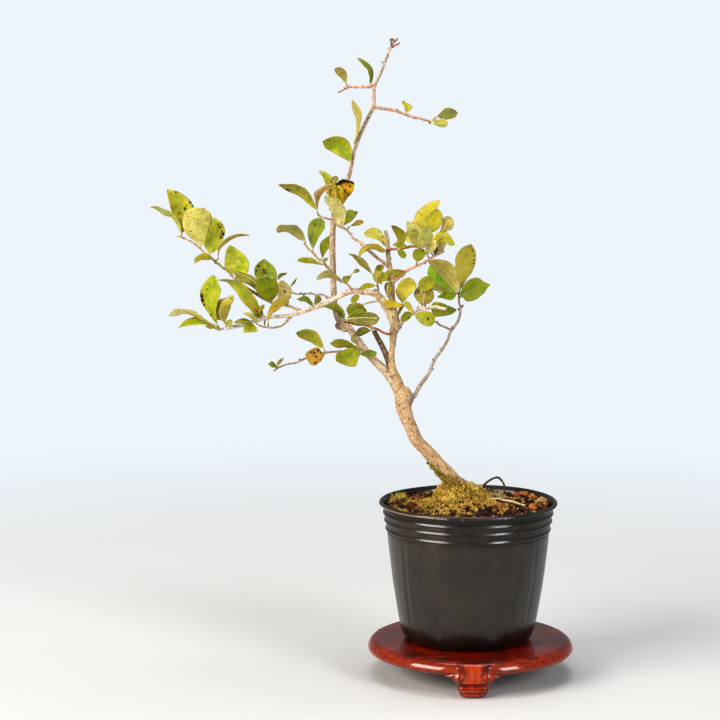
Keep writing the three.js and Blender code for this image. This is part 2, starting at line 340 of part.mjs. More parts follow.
    st: [[-94.14, -6.76, 208.72, 0, 0, 0], [-93.78, -6.22, 209.16, 0.06, 0.73, -0.14], [-93.25, -5.33, 209.83, 0.16, 1.69, -0.33], [-92.52, -3.98, 210.69, 0.24, 2.54, -0.49], [-91.79, -2.44, 211.54, 0.27, 2.58, -0.51], [-91.21, -0.97, 212.26, 0.21, 1.81, -0.37], [-90.85, 0.14, 212.78, 0.07, 0.81, -0.15], [-90.67, 0.73, 213.04, 0, 0, 0]] },
  { n: "D", f: -1, a: [-99.01, -8.09, 200.06], t: [-0.98, 0.09, 0.19], rb: 0.75, up: [-0.51, 0.65, 0.57],
    st: [[-98.8, -9.66, 200.84, 0, 0, 0], [-98.49, -10.32, 201.94, 1.1, 0.76, -0.15], [-97.83, -11.55, 203.68, 2.56, 1.71, -0.42], [-96.82, -13.62, 206.55, 3.64, 2.86, -0.59], [-96.8, -16.2, 209.67, 3.11, 3.55, -0.46], [-97.48, -18.78, 212.14, 2.07, 2.61, -0.39], [-97.71, -20.82, 213.5, 0.8, 1.24, -0.16], [-97.78, -21.91, 214.05, 0, 0, 0]] },
  { n: "E1", f: 1, a: [-105.48, -14.41, 188.72], t: [-0.95, -0.22, -0.24], rb: 1.06, up: [0.46, -0.46, -0.76],
    st: [[-105.14, -15.94, 191.51, 0, 0, 0], [-105.03, -16.4, 193.55, 0.39, 1.35, -0.33], [-104.38, -17.29, 196.49, 0.8, 3.11, -0.88], [-101.8, -18.84, 199.58, 1.42, 4.39, -1.94], [-98.66, -20.79, 202.34, 1.24, 4.47, -2.11], [-95.77, -22.77, 204.32, 0.67, 3.22, -1.46], [-93.63, -24.35, 205.34, 0.22, 1.47, -0.57], [-92.54, -25.19, 205.79, 0, 0, 0]] },
  { n: "E2", f: 1, a: [-96.66, -8.31, 199.49], t: [-0.97, 0.09, 0.23], rb: 0.74, up: [0.29, -0.46, -0.84],
    st: [[-96.73, -9.08, 199.2, 0, 0, 0], [-96.53, -9.43, 199.55, 0.19, 0.45, -0.18], [-96.22, -10.05, 200.08, 0.48, 1.02, -0.44], [-95.76, -11.01, 200.86, 0.67, 1.58, -0.62], [-95.18, -12.15, 201.62, 0.67, 1.61, -0.65], [-94.86, -13.26, 202.3, 0.38, 1.17, -0.44], [-94.58, -14.11, 202.71, 0.13, 0.54, -0.17], [-94.44, -14.56, 202.91, 0, 0, 0]] },
  { n: "B1", f: -1, a: [-130.74, -20, 187.78], t: [-0.93, -0.22, -0.29], rb: 0.53, up: [0.16, 0.33, 0.93],
    st: [[-132.22, -20.86, 190.49, 0, 0, 0], [-134.71, -21.22, 191.53, 0.1, 1.9, -0.35], [-138.23, -21.87, 193.47, 0.05, 4.3, -1.19], [-142.75, -22.97, 196.34, -0.02, 5.79, -2.02], [-147.83, -24.34, 197.95, 0.31, 5.81, -1.84], [-152.04, -25.71, 197.84, 0.47, 4.26, -2.21], [-154.79, -26.79, 196.65, 0.26, 1.83, -1.07], [-156.02, -27.37, 196.16, 0, 0, 0]] },
  { n: "B2", f: 1, a: [-130.74, -20, 187.78], t: [-0.93, -0.22, -0.29], rb: 0.53, up: [0.1, -0.21, 0.97],
    st: [[-131.13, -21.86, 188.51, 0, 0, 0], [-132.93, -22.41, 189.95, -0.07, -1.53, -0.23], [-136, -23.3, 191.48, 0.13, -3.57, -0.22], [-140.12, -24.62, 193.12, 0.09, -5.22, -1.32], [-144.6, -26.1, 192.9, 0.43, -5.31, -1.31], [-148.18, -27.48, 191.84, 0.54, -3.71, -0.96], [-150.29, -28.52, 190.55, 0.22, -1.67, -0.3], [-151.3, -29.06, 189.85, 0, 0, 0]] },
  { n: "B3", f: 1, a: [-130.74, -20, 187.78], t: [-0.93, -0.22, -0.29], rb: 0.53, up: [0.38, -0.46, -0.8],
    st: [[-133.25, -21.26, 188.97, 0, 0, 0], [-133.66, -21.78, 189.1, -0.03, 0.49, -0.31], [-134.29, -22.59, 189.31, -0.07, 1.11, -0.75], [-135.15, -23.78, 189.7, -0.09, 1.71, -1.06], [-136.06, -25.07, 190.1, -0.07, 1.75, -1.08], [-136.75, -26.25, 190.29, -0.04, 1.31, -0.63], [-137.23, -27.13, 190.41, -0.01, 0.6, -0.23], [-137.47, -27.59, 190.47, 0, 0, 0]] },
  { n: "B4", f: 1, a: [-130.43, -19.93, 187.87], t: [-0.93, -0.22, -0.29], rb: 0.57, up: [-0.66, -0.72, -0.2],
    st: [[-131.17, -21.01, 190.51, 0, 0, 0], [-132.46, -21.37, 193.07, 0.96, -1.52, 0.43], [-134.15, -22.05, 197.07, 2.31, -3.48, 0.9], [-135.24, -23.2, 202.67, 4.38, -4.6, 0.95], [-134.38, -24.63, 208.54, 5.45, -3.61, 0.22], [-133.76, -26.07, 213.28, 3.47, -3.04, -0.08], [-132.95, -27.21, 216.29, 1.53, -1.35, -0.18], [-132.58, -27.82, 217.17, 0, 0, 0]] },
  { n: "B5", f: -1, a: [-126.97, -19.12, 188.66], t: [-0.95, -0.22, -0.2], rb: 0.91, up: [0.54, 0.81, 0.24],
    st: [[-127.35, -19.78, 190.89, 0, 0, 0], [-128.15, -20.53, 192.68, 1.07, -1.05, 0], [-129.45, -21.83, 194.59, 3.26, -1.06, 0.47], [-129.59, -23.87, 198.59, 4.76, -2.09, -0.28], [-127.75, -26.27, 202.62, 3.79, -3.6, -0.84], [-124.79, -28.6, 204.64, 2.28, -2.94, -0.41], [-123.17, -30.4, 206.37, 0.91, -1.35, -0.3], [-122.41, -31.34, 206.92, 0, 0, 0]] },
  { n: "B6", f: 1, a: [-126.87, -19.1, 188.67], t: [-0.95, -0.22, -0.2], rb: 0.92, up: [-0.68, -0.64, -0.36],
    st: [[-127.07, -20.16, 190.15, 0, 0, 0], [-126.76, -20.71, 190.47, 0.35, -0.29, -0.23], [-126.3, -21.54, 190.96, 0.88, -0.5, -0.6], [-125.51, -22.67, 191.77, 1.32, -0.92, -0.76], [-124.72, -23.83, 192.67, 1.29, -1.04, -0.72], [-124.26, -24.83, 193.4, 0.88, -0.88, -0.29], [-124.16, -25.55, 193.75, 0.29, -0.48, -0.07], [-124.11, -25.91, 193.92, 0, 0, 0]] },
  { n: "B7", f: 1, a: [-113.74, -16.06, 191.53], t: [-0.94, -0.22, -0.28], rb: 1.06, up: [0.33, -0.22, 0.92],
    st: [[-113.67, -17.6, 191.7, 0, 0, 0], [-114.5, -18.45, 191.87, 0.01, -1.08, -0.39], [-115.84, -19.79, 192.24, 0, -2.54, -0.72], [-117.7, -21.71, 192.54, 0.06, -3.85, -0.97], [-119.6, -23.77, 192.74, 0.15, -3.93, -0.93], [-121.14, -25.64, 192.71, 0.19, -2.77, -0.67], [-122.04, -27.01, 192.63, 0.07, -1.25, -0.2], [-122.46, -27.72, 192.56, 0, 0, 0]] },
  { n: "B8", f: 1, a: [-113.82, -16.08, 191.5], t: [-0.94, -0.22, -0.28], rb: 1.06, up: [0.24, -0.56, 0.79],
    st: [[-113.69, -17.21, 191.39, 0, 0, 0], [-113.64, -17.73, 190.87, 0.84, -0.05, -0.38], [-113.57, -18.62, 190.09, 2.09, -0.12, -0.96], [-113.9, -20.03, 188.84, 3.21, -0.21, -1.64], [-115.54, -21.67, 188.21, 2.4, -0.69, -1.18], [-116.62, -23.26, 187.6, 1.38, -1.27, -0.53], [-117.19, -24.48, 187.23, 0.46, -0.71, -0.15], [-117.47, -25.13, 187.06, 0, 0, 0]] },
  { n: "F1", f: 1, a: [-110.42, -15.29, 192.45], t: [-0.95, -0.22, -0.24], rb: 1.06, up: [-0.65, -0.52, -0.56],
    st: [[-110.21, -13.56, 191.25, 0, 0, 0], [-110.48, -13.38, 194.39, -1.5, 1.53, -0.64], [-112.51, -12.85, 198.91, -2.59, 4.09, -1.8], [-116.72, -11.66, 204.32, -2.96, 5.67, -2.92], [-121.06, -9.92, 209.56, -1.77, 5.71, -2.66], [-126.2, -8, 211.96, -0.55, 5.4, -1.26], [-130.35, -6.4, 212.5, -0.16, 2.4, -0.57], [-132.51, -5.53, 212.4, 0, 0, 0]] },
  { n: "F2", f: -1, a: [-111.23, -15.48, 192.23], t: [-0.94, -0.22, -0.28], rb: 1.06, up: [-0.72, 0.22, -0.66],
    st: [[-111.09, -17.01, 192.16, 0, 0, 0], [-111.66, -17.66, 192.88, -0.16, -0.96, -0.15], [-112.51, -18.77, 193.96, -0.39, -2.2, -0.39], [-113.8, -20.46, 195.3, -0.54, -3.3, -0.65], [-115.34, -22.41, 196.28, -0.4, -3.39, -0.63], [-116.7, -24.26, 196.78, -0.19, -2.41, -0.36], [-117.64, -25.68, 196.99, -0.06, -1.08, -0.09], [-118.11, -26.42, 197.09, 0, 0, 0]] },
  { n: "F3", f: 1, a: [-108.86, -14.92, 192.89], t: [-0.95, -0.22, -0.24], rb: 1.06, up: [0.07, -0.56, -0.83],
    st: [[-110.07, -15.85, 197.28, 0, 0, 0], [-109.72, -16.3, 197.57, 0.21, 0.4, -0.3], [-109.2, -17.04, 198.01, 0.52, 0.87, -0.74], [-108.65, -18.15, 198.95, 0.72, 1.46, -0.95], [-107.94, -19.39, 199.87, 0.65, 1.58, -0.88], [-107.5, -20.56, 200.69, 0.39, 1.14, -0.63], [-107.11, -21.45, 201.1, 0.13, 0.54, -0.23], [-106.92, -21.91, 201.3, 0, 0, 0]] },
  { n: "H1", f: 1, a: [-79.23, -13, 247.15], t: [-0.81, -0.38, 0.44], rb: 0.53, up: [-0.57, -0.45, -0.69],
    st: [[-79.25, -12.14, 247.61, 0, 0, 0], [-80.3, -11.63, 250.17, -0.08, 1.62, -0.44], [-82.52, -10.81, 253.5, -0.85, 3.47, -1.54], [-86, -9.58, 257.67, -1.35, 5.03, -2.66], [-90.97, -8.2, 259.99, -1.06, 5.23, -2.64], [-95.46, -6.91, 261.36, -0.52, 3.81, -1.7], [-98.63, -5.94, 262.23, -0.16, 1.67, -0.8], [-100.24, -5.43, 262.35, 0, 0, 0]] },
  { n: "H2", f: -1, a: [-79.23, -13, 247.15], t: [-0.81, -0.38, 0.44], rb: 0.53, up: [0.81, 0.34, -0.48],
    st: [[-79.46, -14.46, 249.31, 0, 0, 0], [-79.78, -14.85, 251.32, 0.47, -1.37, 0.01], [-79.88, -15.56, 254.38, 1.08, -3.17, -0.12], [-79.19, -16.77, 258.24, 2.06, -4.57, -0.49], [-76.02, -18.29, 260.84, 1.48, -4.88, -0.47], [-72.96, -19.82, 262.57, 0.88, -3.49, -0.4], [-70.83, -21.03, 263.64, 0.3, -1.57, -0.1], [-69.76, -21.67, 264.16, 0, 0, 0]] },
  { n: "H3", f: 1, a: [-73.02, -10.7, 249.61], t: [-0.88, -0.39, 0.27], rb: 0.57, up: [0.46, -0.37, 0.81],
    st: [[-70.95, -9.02, 258.88, 0, 0, 0], [-71.15, -8.5, 260.14, 0.89, 1.17, 0.25], [-71.47, -7.39, 262.03, 2.23, 2.53, 0.68], [-73.27, -5.33, 264.19, 2.44, 4.49, 0.81], [-75, -2.6, 266.64, 1.46, 5.03, 0.63], [-76.88, 0.24, 268.43, 0.89, 3.54, 0.73], [-78.46, 2.55, 269.09, 0.31, 1.58, 0.32], [-79.24, 3.79, 269.26, 0, 0, 0]] },
  { n: "H3b", f: 1, a: [-73.02, -10.7, 249.61], t: [-0.88, -0.39, 0.27], rb: 0.57, up: [-0.2, -0.47, 0.86],
    st: [[-71.99, -8.62, 261.98, 0, 0, 0], [-71.74, -8.03, 262.48, 0.4, -0.49, -0.15], [-71.38, -7.06, 263.23, 1.01, -1.04, -0.4], [-70.86, -5.59, 264.4, 1.43, -1.68, -0.53], [-70.22, -3.92, 265.65, 1.52, -1.62, -0.62], [-69.76, -2.34, 266.36, 1.06, -1.17, -0.41], [-69.56, -1.15, 266.67, 0.35, -0.62, -0.11], [-69.46, -0.52, 266.82, 0, 0, 0]] },
  { n: "H4", f: 1, a: [-68.42, 2.48, 251.55], t: [0.32, -0.2, 0.93], rb: 1.37, up: [0.36, -0.75, -0.55],
    st: [[-66.86, 0.19, 251.06, 0, 0, 0], [-67.08, -0.76, 252.47, 0.64, -0.74, 0.81], [-67.41, -2.25, 254.57, 1.61, -1.46, 1.97], [-68.73, -4.38, 257.36, 2, -1.91, 3.43], [-71.23, -6.67, 259.27, 1.19, -1.81, 3.93], [-73.43, -8.73, 259.18, 0.32, -1.91, 2.5], [-74.67, -10.26, 258.79, -0.03, -1.01, 0.97], [-75.08, -11.04, 258.46, 0, 0, 0]] },
  { n: "H4b", f: 1, a: [-68.17, 2.34, 252.19], t: [0.32, -0.2, 0.93], rb: 1.36, up: [-0.17, -0.8, -0.58],
    st: [[-66.34, 0.46, 251.57, 0, 0, 0], [-66.48, -0.93, 253.3, 0.75, 0.84, -0.57], [-66.57, -2.91, 255.83, 1.94, 1.65, -1.45], [-66.33, -5.39, 259.18, 3.39, 1.15, -2.56], [-64.61, -7.67, 262.07, 3.2, 0.37, -3.11], [-62.27, -9.46, 263.23, 1.67, 1.5, -2.22], [-60.84, -10.63, 263.67, 0.49, 0.9, -0.95], [-60.26, -11.19, 263.66, 0, 0, 0]] },
  { n: "H5", f: -1, a: [-68.37, -7.72, 241.07], t: [-0.71, -0.39, 0.59], rb: 0.61, up: [-0.59, 0.81, -0.05],
    st: [[-68.36, -9.02, 241.16, 0, 0, 0], [-67.95, -9.41, 242.27, 1.68, -0.01, -0.06], [-67.81, -10.13, 245.17, 3.11, 0.62, 0.34], [-68.58, -11.34, 249.2, 3.67, 3.02, 0.62], [-70.58, -12.84, 252.97, 3.11, 3.63, 0.96], [-73.3, -14.33, 255.17, 2.06, 2.68, 0.66], [-74.9, -15.51, 256.65, 0.8, 1.28, 0.17], [-75.52, -16.14, 257.43, 0, 0, 0]] },
  { n: "H6", f: 1, a: [-66.71, -6.94, 240.18], t: [-0.82, -0.38, 0.44], rb: 0.63, up: [-0.08, -0.48, 0.88],
    st: [[-66.3, -6.02, 240.96, 0, 0, 0], [-65.59, -5.03, 241.86, 0.29, -1.05, -0.34], [-64.64, -3.49, 243.24, 0.83, -2.33, -0.92], [-63.62, -1.33, 245.2, 1.68, -3.15, -1.74], [-61.93, 0.93, 246.78, 1.6, -3.16, -1.93], [-60.09, 2.95, 247.27, 0.9, -2.48, -1.09], [-58.97, 4.42, 247.54, 0.3, -1.16, -0.38], [-58.46, 5.17, 247.61, 0, 0, 0]] },
  { n: "H7", f: 1, a: [-64.21, -5.77, 238.85], t: [-0.72, -0.33, 0.61], rb: 0.64, up: [-0.23, -0.46, -0.86],
    st: [[-62.63, -6.69, 241, 0, 0, 0], [-61.89, -7.27, 241.36, 0.04, 0.8, -0.32], [-60.77, -8.26, 241.89, 0.1, 1.83, -0.78], [-59.24, -9.8, 242.48, 0.16, 2.67, -1.37], [-57.71, -11.6, 243.14, 0.15, 2.59, -1.62], [-56.47, -13.32, 243.58, 0.06, 1.78, -1.21], [-55.7, -14.65, 243.63, 0.02, 0.85, -0.44], [-55.32, -15.35, 243.66, 0, 0, 0]] },
  { n: "H8", f: -1, a: [-87.12, 13.9, 230.4], t: [-0.56, 0.42, 0.71], rb: 0.48, up: [-0.07, 0.62, 0.78],
    st: [[-86.15, 12.66, 231.19, 0, 0, 0], [-87.22, 12.18, 232.77, -0.52, 1.04, -0.87], [-89.09, 11.23, 234.85, -1.19, 2.17, -2.26], [-92.16, 9.55, 237.53, -0.89, 4.01, -2.92], [-95.9, 7.4, 238.77, -0.09, 4.55, -2.36], [-99.16, 5.2, 238.98, 0.23, 2.79, -2.29], [-101.04, 3.45, 237.95, 0.21, 0.97, -1.25], [-101.44, 2.51, 237.75, 0, 0, 0]] },
  { n: "H9", f: 1, a: [-83.2, 11.27, 226.24], t: [-0.66, 0.42, 0.62], rb: 0.55, up: [-0.45, -0.8, 0.4],
    st: [[-82.43, 12.35, 226.95, 0, 0, 0], [-82.46, 12.43, 228.89, 0.8, -1.04, 0.11], [-82.34, 12.78, 231.71, 2.16, -2.15, 0.14], [-81.79, 13.67, 235.48, 3.73, -2.68, -0.06], [-80.52, 15.05, 239.3, 4.36, -1.6, -0.45], [-79.56, 16.6, 242.3, 3.2, -0.71, -0.32], [-79.33, 17.9, 243.58, 1.21, -0.81, 0.03], [-79.31, 18.62, 243.86, 0, 0, 0]] },
  { n: "H10", f: 1, a: [-78, 8.56, 221.61], t: [-0.8, 0.32, 0.51], rb: 0.63, up: [0.87, -0.49, 0.11],
    st: [[-77.35, 10.68, 222.82, 0, 0, 0], [-77.24, 11.56, 224.04, 0.7, 1.03, -0.3], [-77.2, 13.05, 226.01, 1.49, 2.47, -0.65], [-76.38, 15.34, 228.47, 2.37, 3.56, -1.26], [-74.75, 17.98, 230.72, 2.15, 3.75, -1.35], [-73.52, 20.49, 232.59, 1.51, 2.61, -1.05], [-72.8, 22.42, 233.64, 0.5, 1.26, -0.4], [-72.44, 23.43, 234.16, 0, 0, 0]] },
  { n: "H11", f: 1, a: [-76.05, 7.67, 219.97], t: [-0.59, 0.32, 0.74], rb: 0.67, up: [0.38, -0.19, 0.91],
    st: [[-76.48, 6.14, 219.73, 0, 0, 0], [-77.91, 4.73, 220.13, 0, -1.32, -0.29], [-80.04, 2.66, 220.93, 0.01, -3.08, -0.53], [-82.83, 0.02, 222.16, -0.01, -4.63, -0.87], [-85.77, -2.51, 222.92, 0.12, -4.68, -1.03], [-88.27, -4.56, 223.02, 0.22, -3.22, -0.99], [-89.78, -5.95, 222.8, 0.12, -1.43, -0.42], [-90.42, -6.64, 222.65, 0, 0, 0]] },
  { n: "H12", f: -1, a: [-77.36, 8.32, 221.31], t: [-0.75, 0.33, 0.57], rb: 0.64, up: [0.1, 0.47, 0.88],
    st: [[-77.56, 7.4, 220.96, 0, 0, 0], [-77.23, 7.03, 221.17, 0.08, 0.48, -0.25], [-76.73, 6.41, 221.5, 0.19, 1.09, -0.6], [-76.09, 5.45, 222.1, 0.3, 1.66, -0.86], [-75.32, 4.33, 222.57, 0.26, 1.69, -0.89], [-74.76, 3.27, 223.09, 0.13, 1.14, -0.73], [-74.45, 2.46, 223.21, 0.04, 0.54, -0.27], [-74.3, 2.03, 223.26, 0, 0, 0]] },
  { n: "K1", f: 1, a: [-65.53, -9.86, 211.74], t: [-0.73, -0.42, 0.53], rb: 0.48, up: [0.21, -0.45, -0.87],
    st: [[-65.77, -10.9, 211.47, 0, 0, 0], [-67.05, -11.88, 212.39, -0.12, 1.23, -0.81], [-69.02, -13.47, 214.12, -0.24, 3.02, -1.58], [-71.83, -15.86, 216.24, -0.13, 4.66, -2.16], [-75.12, -18.54, 216.89, 0.14, 4.73, -2.23], [-77.7, -21.06, 215.94, 0.23, 3.32, -1.6], [-79.26, -22.96, 214.91, 0.14, 1.32, -0.95], [-79.88, -23.95, 214.76, 0, 0, 0]] },
  { n: "K2", f: 1, a: [-65.05, -9.58, 211.39], t: [-0.73, -0.42, 0.53], rb: 0.49, up: [-0.12, -0.62, -0.78],
    st: [[-65.25, -10.43, 211.16, 0, 0, 0], [-65.21, -10.99, 211.59, 0.53, -0.03, -0.24], [-65.16, -11.86, 212.36, 1.23, -0.04, -0.52], [-64.91, -13.09, 213.63, 1.74, 0.52, -0.85], [-63.95, -14.4, 214.67, 1.39, 1.2, -0.89], [-63.07, -15.58, 215.31, 0.95, 0.96, -0.5], [-62.74, -16.44, 215.73, 0.34, 0.51, -0.19], [-62.6, -16.89, 215.94, 0, 0, 0]] },
  { n: "K3", f: 1, a: [-64.81, -9.44, 211.21], t: [-0.68, -0.4, 0.61], rb: 0.5, up: [0.78, -0.39, -0.49],
    st: [[-61.59, -8.59, 215.99, 0, 0, 0], [-61.2, -8.08, 216.25, 0.07, 0.57, -0.21], [-60.61, -7.28, 216.64, 0.17, 1.3, -0.5], [-59.82, -6.13, 217.15, 0.3, 1.9, -0.85], [-58.92, -4.9, 217.47, 0.37, 1.8, -1.1], [-58.19, -3.79, 217.49, 0.32, 1.21, -0.85], [-57.84, -2.97, 217.54, 0.11, 0.59, -0.31], [-57.66, -2.54, 217.56, 0, 0, 0]] },
  { n: "N1", f: 1, a: [-77.91, -7.52, 199.59], t: [-0.91, -0.23, -0.36], rb: 1.26, up: [-0.23, -0.48, -0.85],
    st: [[-77.39, -5.69, 198.05, 0, 0, 0], [-75.89, -5.15, 198.58, -0.14, 1.34, -0.59], [-73.64, -4.03, 198.82, -0.48, 2.92, -1.65], [-70.61, -1.97, 197.85, -1.08, 4.4, -2.33], [-68.21, 0.75, 195.34, -1.32, 4.68, -1.81], [-66.8, 3.58, 192.61, -1.44, 3.16, -1.17], [-66.47, 5.86, 190.68, -0.61, 1.44, -0.42], [-66.45, 7.09, 189.77, 0, 0, 0]] },
  { n: "N2", f: 1, a: [-81.75, -8.49, 198.19], t: [-0.92, -0.23, -0.32], rb: 1.23, up: [0.64, -0.3, 0.7],
    st: [[-82.02, -10.11, 199.3, 0, 0, 0], [-82.5, -10.72, 200.08, -0.42, -0.9, -0.38], [-83.48, -11.79, 201.38, -0.61, -2.29, -0.66], [-85.07, -13.53, 202.91, -0.61, -3.52, -0.95], [-87.05, -15.62, 203.73, -0.32, -3.64, -0.9], [-88.76, -17.67, 203.83, -0.1, -2.58, -0.61], [-89.84, -19.27, 203.75, -0.04, -1.16, -0.17], [-90.37, -20.12, 203.73, 0, 0, 0]] },
  { n: "N3", f: 1, a: [-80.63, -0.68, 204.43], t: [-0.89, 0.45, 0.03], rb: 0.51, up: [0.2, -0.57, -0.8],
    st: [[-81.41, -1.73, 198.97, 0, 0, 0], [-81.11, -2.43, 199.52, 0.38, 0.56, -0.29], [-80.67, -3.47, 200.38, 0.92, 1.26, -0.66], [-79.92, -4.85, 201.58, 1.38, 1.89, -1.02], [-79.1, -6.24, 202.85, 1.41, 1.94, -1], [-78.63, -7.42, 203.85, 0.95, 1.35, -0.79], [-78.46, -8.26, 204.26, 0.32, 0.67, -0.32], [-78.37, -8.68, 204.42, 0, 0, 0]] },
  { n: "P1", f: 1, a: [-63.82, 10.89, 312.66], t: [-0.8, 0.48, -0.36], rb: 0.51, up: [0.05, -0.63, -0.78],
    st: [[-64.77, 10.04, 315.18, 0, 0, 0], [-64.91, 8.98, 316.12, 0.58, -0.61, 0.43], [-65.33, 7.43, 317.6, 1.11, -1.53, 1.07], [-66.12, 5.41, 319.64, 1.28, -2.46, 1.74], [-67.84, 3.46, 321.09, 0.98, -2.46, 2.02], [-69.5, 1.84, 321.84, 0.48, -1.62, 1.64], [-70.37, 0.73, 322.03, 0.08, -0.76, 0.71], [-70.7, 0.19, 321.93, 0, 0, 0]] },
  { n: "P2", f: 1, a: [-51.96, 3.12, 313.53], t: [-0.8, 0.56, -0.23], rb: 0.78, up: [0.72, -0.33, 0.61],
    st: [[-52.16, 4.51, 314.15, 0, 0, 0], [-51.75, 5.3, 315.77, 0.57, 1.05, -0.11], [-51.49, 6.57, 318.36, 1.08, 2.56, -0.1], [-52.06, 8.38, 321.75, 1.53, 3.89, 0.13], [-54.16, 10.34, 324.6, 1.31, 4.03, 0.36], [-56.29, 12.12, 326.73, 0.87, 2.83, 0.48], [-58.01, 13.44, 327.78, 0.47, 1.2, 0.33], [-58.72, 14.12, 328.25, 0, 0, 0]] },
  { n: "P3", f: -1, a: [-59.12, -3.49, 283.67], t: [0.35, -0.07, 0.94], rb: 1, up: [0.95, 0.29, 0.15],
    st: [[-60.53, -4.78, 284.17, 0, 0, 0], [-59.59, -5.09, 286.36, 0.3, -1.6, 0.17], [-58.58, -5.67, 289.75, 0.78, -3.68, 0.44], [-58.1, -6.66, 294.45, 1.39, -5.47, 0.8], [-58.38, -7.89, 299.14, 1.6, -5.48, 0.99], [-60.05, -9.12, 302.78, 1.17, -3.85, 0.73], [-60.95, -10.1, 305.43, 0.79, -1.57, 0.44], [-61.28, -10.62, 306.5, 0, 0, 0]] },
  { n: "R2", f: 1, a: [-33.75, -7.92, 299.07], t: [0.86, -0.41, -0.29], rb: 0.7, up: [0.55, -0.44, 0.7],
    st: [[-33.5, -6.97, 299.75, 0, 0, 0], [-33.18, -6.54, 300.43, 0.56, 0.65, -0.12], [-32.7, -5.74, 301.44, 1.41, 1.41, -0.26], [-32.21, -4.41, 302.9, 2.39, 1.82, -0.26], [-33.24, -2.76, 304.33, 2.08, 2.25, -0.17], [-34.21, -1.11, 305.16, 1.29, 1.67, -0.48], [-34.37, 0.19, 305.82, 0.46, 0.81, -0.21], [-34.4, 0.88, 306.12, 0, 0, 0]] },
  { n: "R3", f: 1, a: [-20.24, -15, 295.77], t: [0.88, -0.46, -0.08], rb: 0.53, up: [0.63, -0.57, -0.53],
    st: [[-17.63, -13.94, 298.06, 0, 0, 0], [-16.62, -12.89, 298.26, 0.13, 0.82, -0.9], [-14.99, -11.27, 298.63, 0.32, 1.95, -2.02], [-12.58, -9.04, 299.14, 0.44, 3.05, -2.92], [-10.04, -6.71, 299.45, 0.4, 3.19, -2.9], [-7.99, -4.66, 299.53, 0.27, 2.34, -1.94], [-6.85, -3.18, 299.63, 0.09, 1.16, -0.69], [-6.28, -2.42, 299.68, 0, 0, 0]] },
  { n: "R4", f: -1, a: [-20.74, -14.74, 295.82], t: [0.88, -0.46, -0.08], rb: 0.54, up: [0.69, 0.53, 0.5],
    st: [[-20.78, -15.8, 295.79, 0, 0, 0], [-19.87, -16.56, 295.62, -0.1, 0.78, -0.51], [-18.52, -17.78, 295.36, -0.25, 1.74, -1.25], [-16.62, -19.59, 294.96, -0.38, 2.66, -1.82], [-14.76, -21.6, 295.08, -0.4, 2.18, -2.44], [-13.38, -23.48, 294.58, -0.22, 1.56, -1.72], [-12.69, -24.88, 294.51, -0.1, 0.81, -0.63], [-12.39, -25.62, 294.45, 0, 0, 0]] },
  { n: "S1", f: 1, a: [-61.51, -1.85, 274.08], t: [0.2, -0.16, 0.97], rb: 1.02, up: [0.26, -0.91, -0.32],
    st: [[-62.1, -3.76, 274.26, 0, 0, 0], [-62.79, -4.08, 275.92, 1.06, 0.12, 0.97], [-63.97, -4.72, 278.55, 2.34, 0.28, 2.19], [-66.76, -5.88, 281.74, 2.92, 0.47, 3.69], [-70.55, -7.38, 283.91, 2.03, -1.97, 3.81], [-74.12, -8.94, 284.49, 1.26, -1.2, 2.86], [-76.07, -10.19, 284.89, 0.33, -0.8, 1.2], [-76.85, -10.87, 284.87, 0, 0, 0]] },
  { n: "Z1", f: 1, a: [-42.83, 1.04, 229.48], t: [-0.07, 0.11, 0.99], rb: 1.19, up: [-0.01, -0.54, 0.84],
    st: [[-43.67, 2.64, 229.29, 0, 0, 0], [-44.24, 3.48, 230.68, -0.58, -0.96, -0.46], [-45.36, 4.82, 232.76, -1.1, -2.34, -1.06], [-47.44, 6.77, 235.26, -1.28, -3.58, -1.79], [-50.55, 8.9, 236.44, -0.89, -3.52, -2.27], [-53.43, 10.85, 236.14, -0.45, -2.3, -1.9], [-54.93, 12.3, 235.89, -0.1, -1.13, -0.71], [-55.54, 13.05, 235.7, 0, 0, 0]] },
  { n: "Z2", f: 1, a: [-42.72, 0.86, 227.91], t: [-0.07, 0.11, 0.99], rb: 1.22, up: [0.54, -0.5, -0.68],
    st: [[-43.72, -1.74, 228.05, 0, 0, 0], [-45.02, -2.67, 227.95, 0.34, 0.15, -1.29], [-47.38, -4.21, 229.24, 0.42, 2.35, -1.99], [-50.9, -6.5, 230.17, 0.78, 4.24, -1.8], [-54.41, -9.08, 229.65, 0.99, 4.28, -1.82], [-56.66, -11.5, 227.83, 0.76, 3.09, -1.09], [-57.7, -13.33, 226.16, 0.36, 1.36, -0.47], [-58.18, -14.29, 225.37, 0, 0, 0]] },
  { n: "Z3", f: -1, a: [-46.85, -1.07, 210.56], t: [-0.07, 0.1, 0.99], rb: 1.6, up: [-0.72, 0.32, -0.62],
    st: [[-51.09, -3.06, 215.5, 0, 0, 0], [-51.98, -3.81, 216.88, -0.53, -1.03, -0.34], [-53.52, -4.92, 219.03, -0.9, -2.58, -0.57], [-55.86, -6.39, 221.61, -1.25, -3.9, -0.91], [-58.57, -7.84, 223.85, -0.89, -4.13, -0.64], [-60.97, -9.06, 225.57, -0.49, -2.94, -0.43], [-62.76, -9.91, 226.51, -0.18, -1.31, -0.17], [-63.67, -10.34, 226.88, 0, 0, 0]] },
  { n: "Z4", f: 1, a: [-45.8, -1.12, 210.04], t: [-0.07, 0.1, 0.99], rb: 1.6, up: [0.82, -0.57, 0.09],
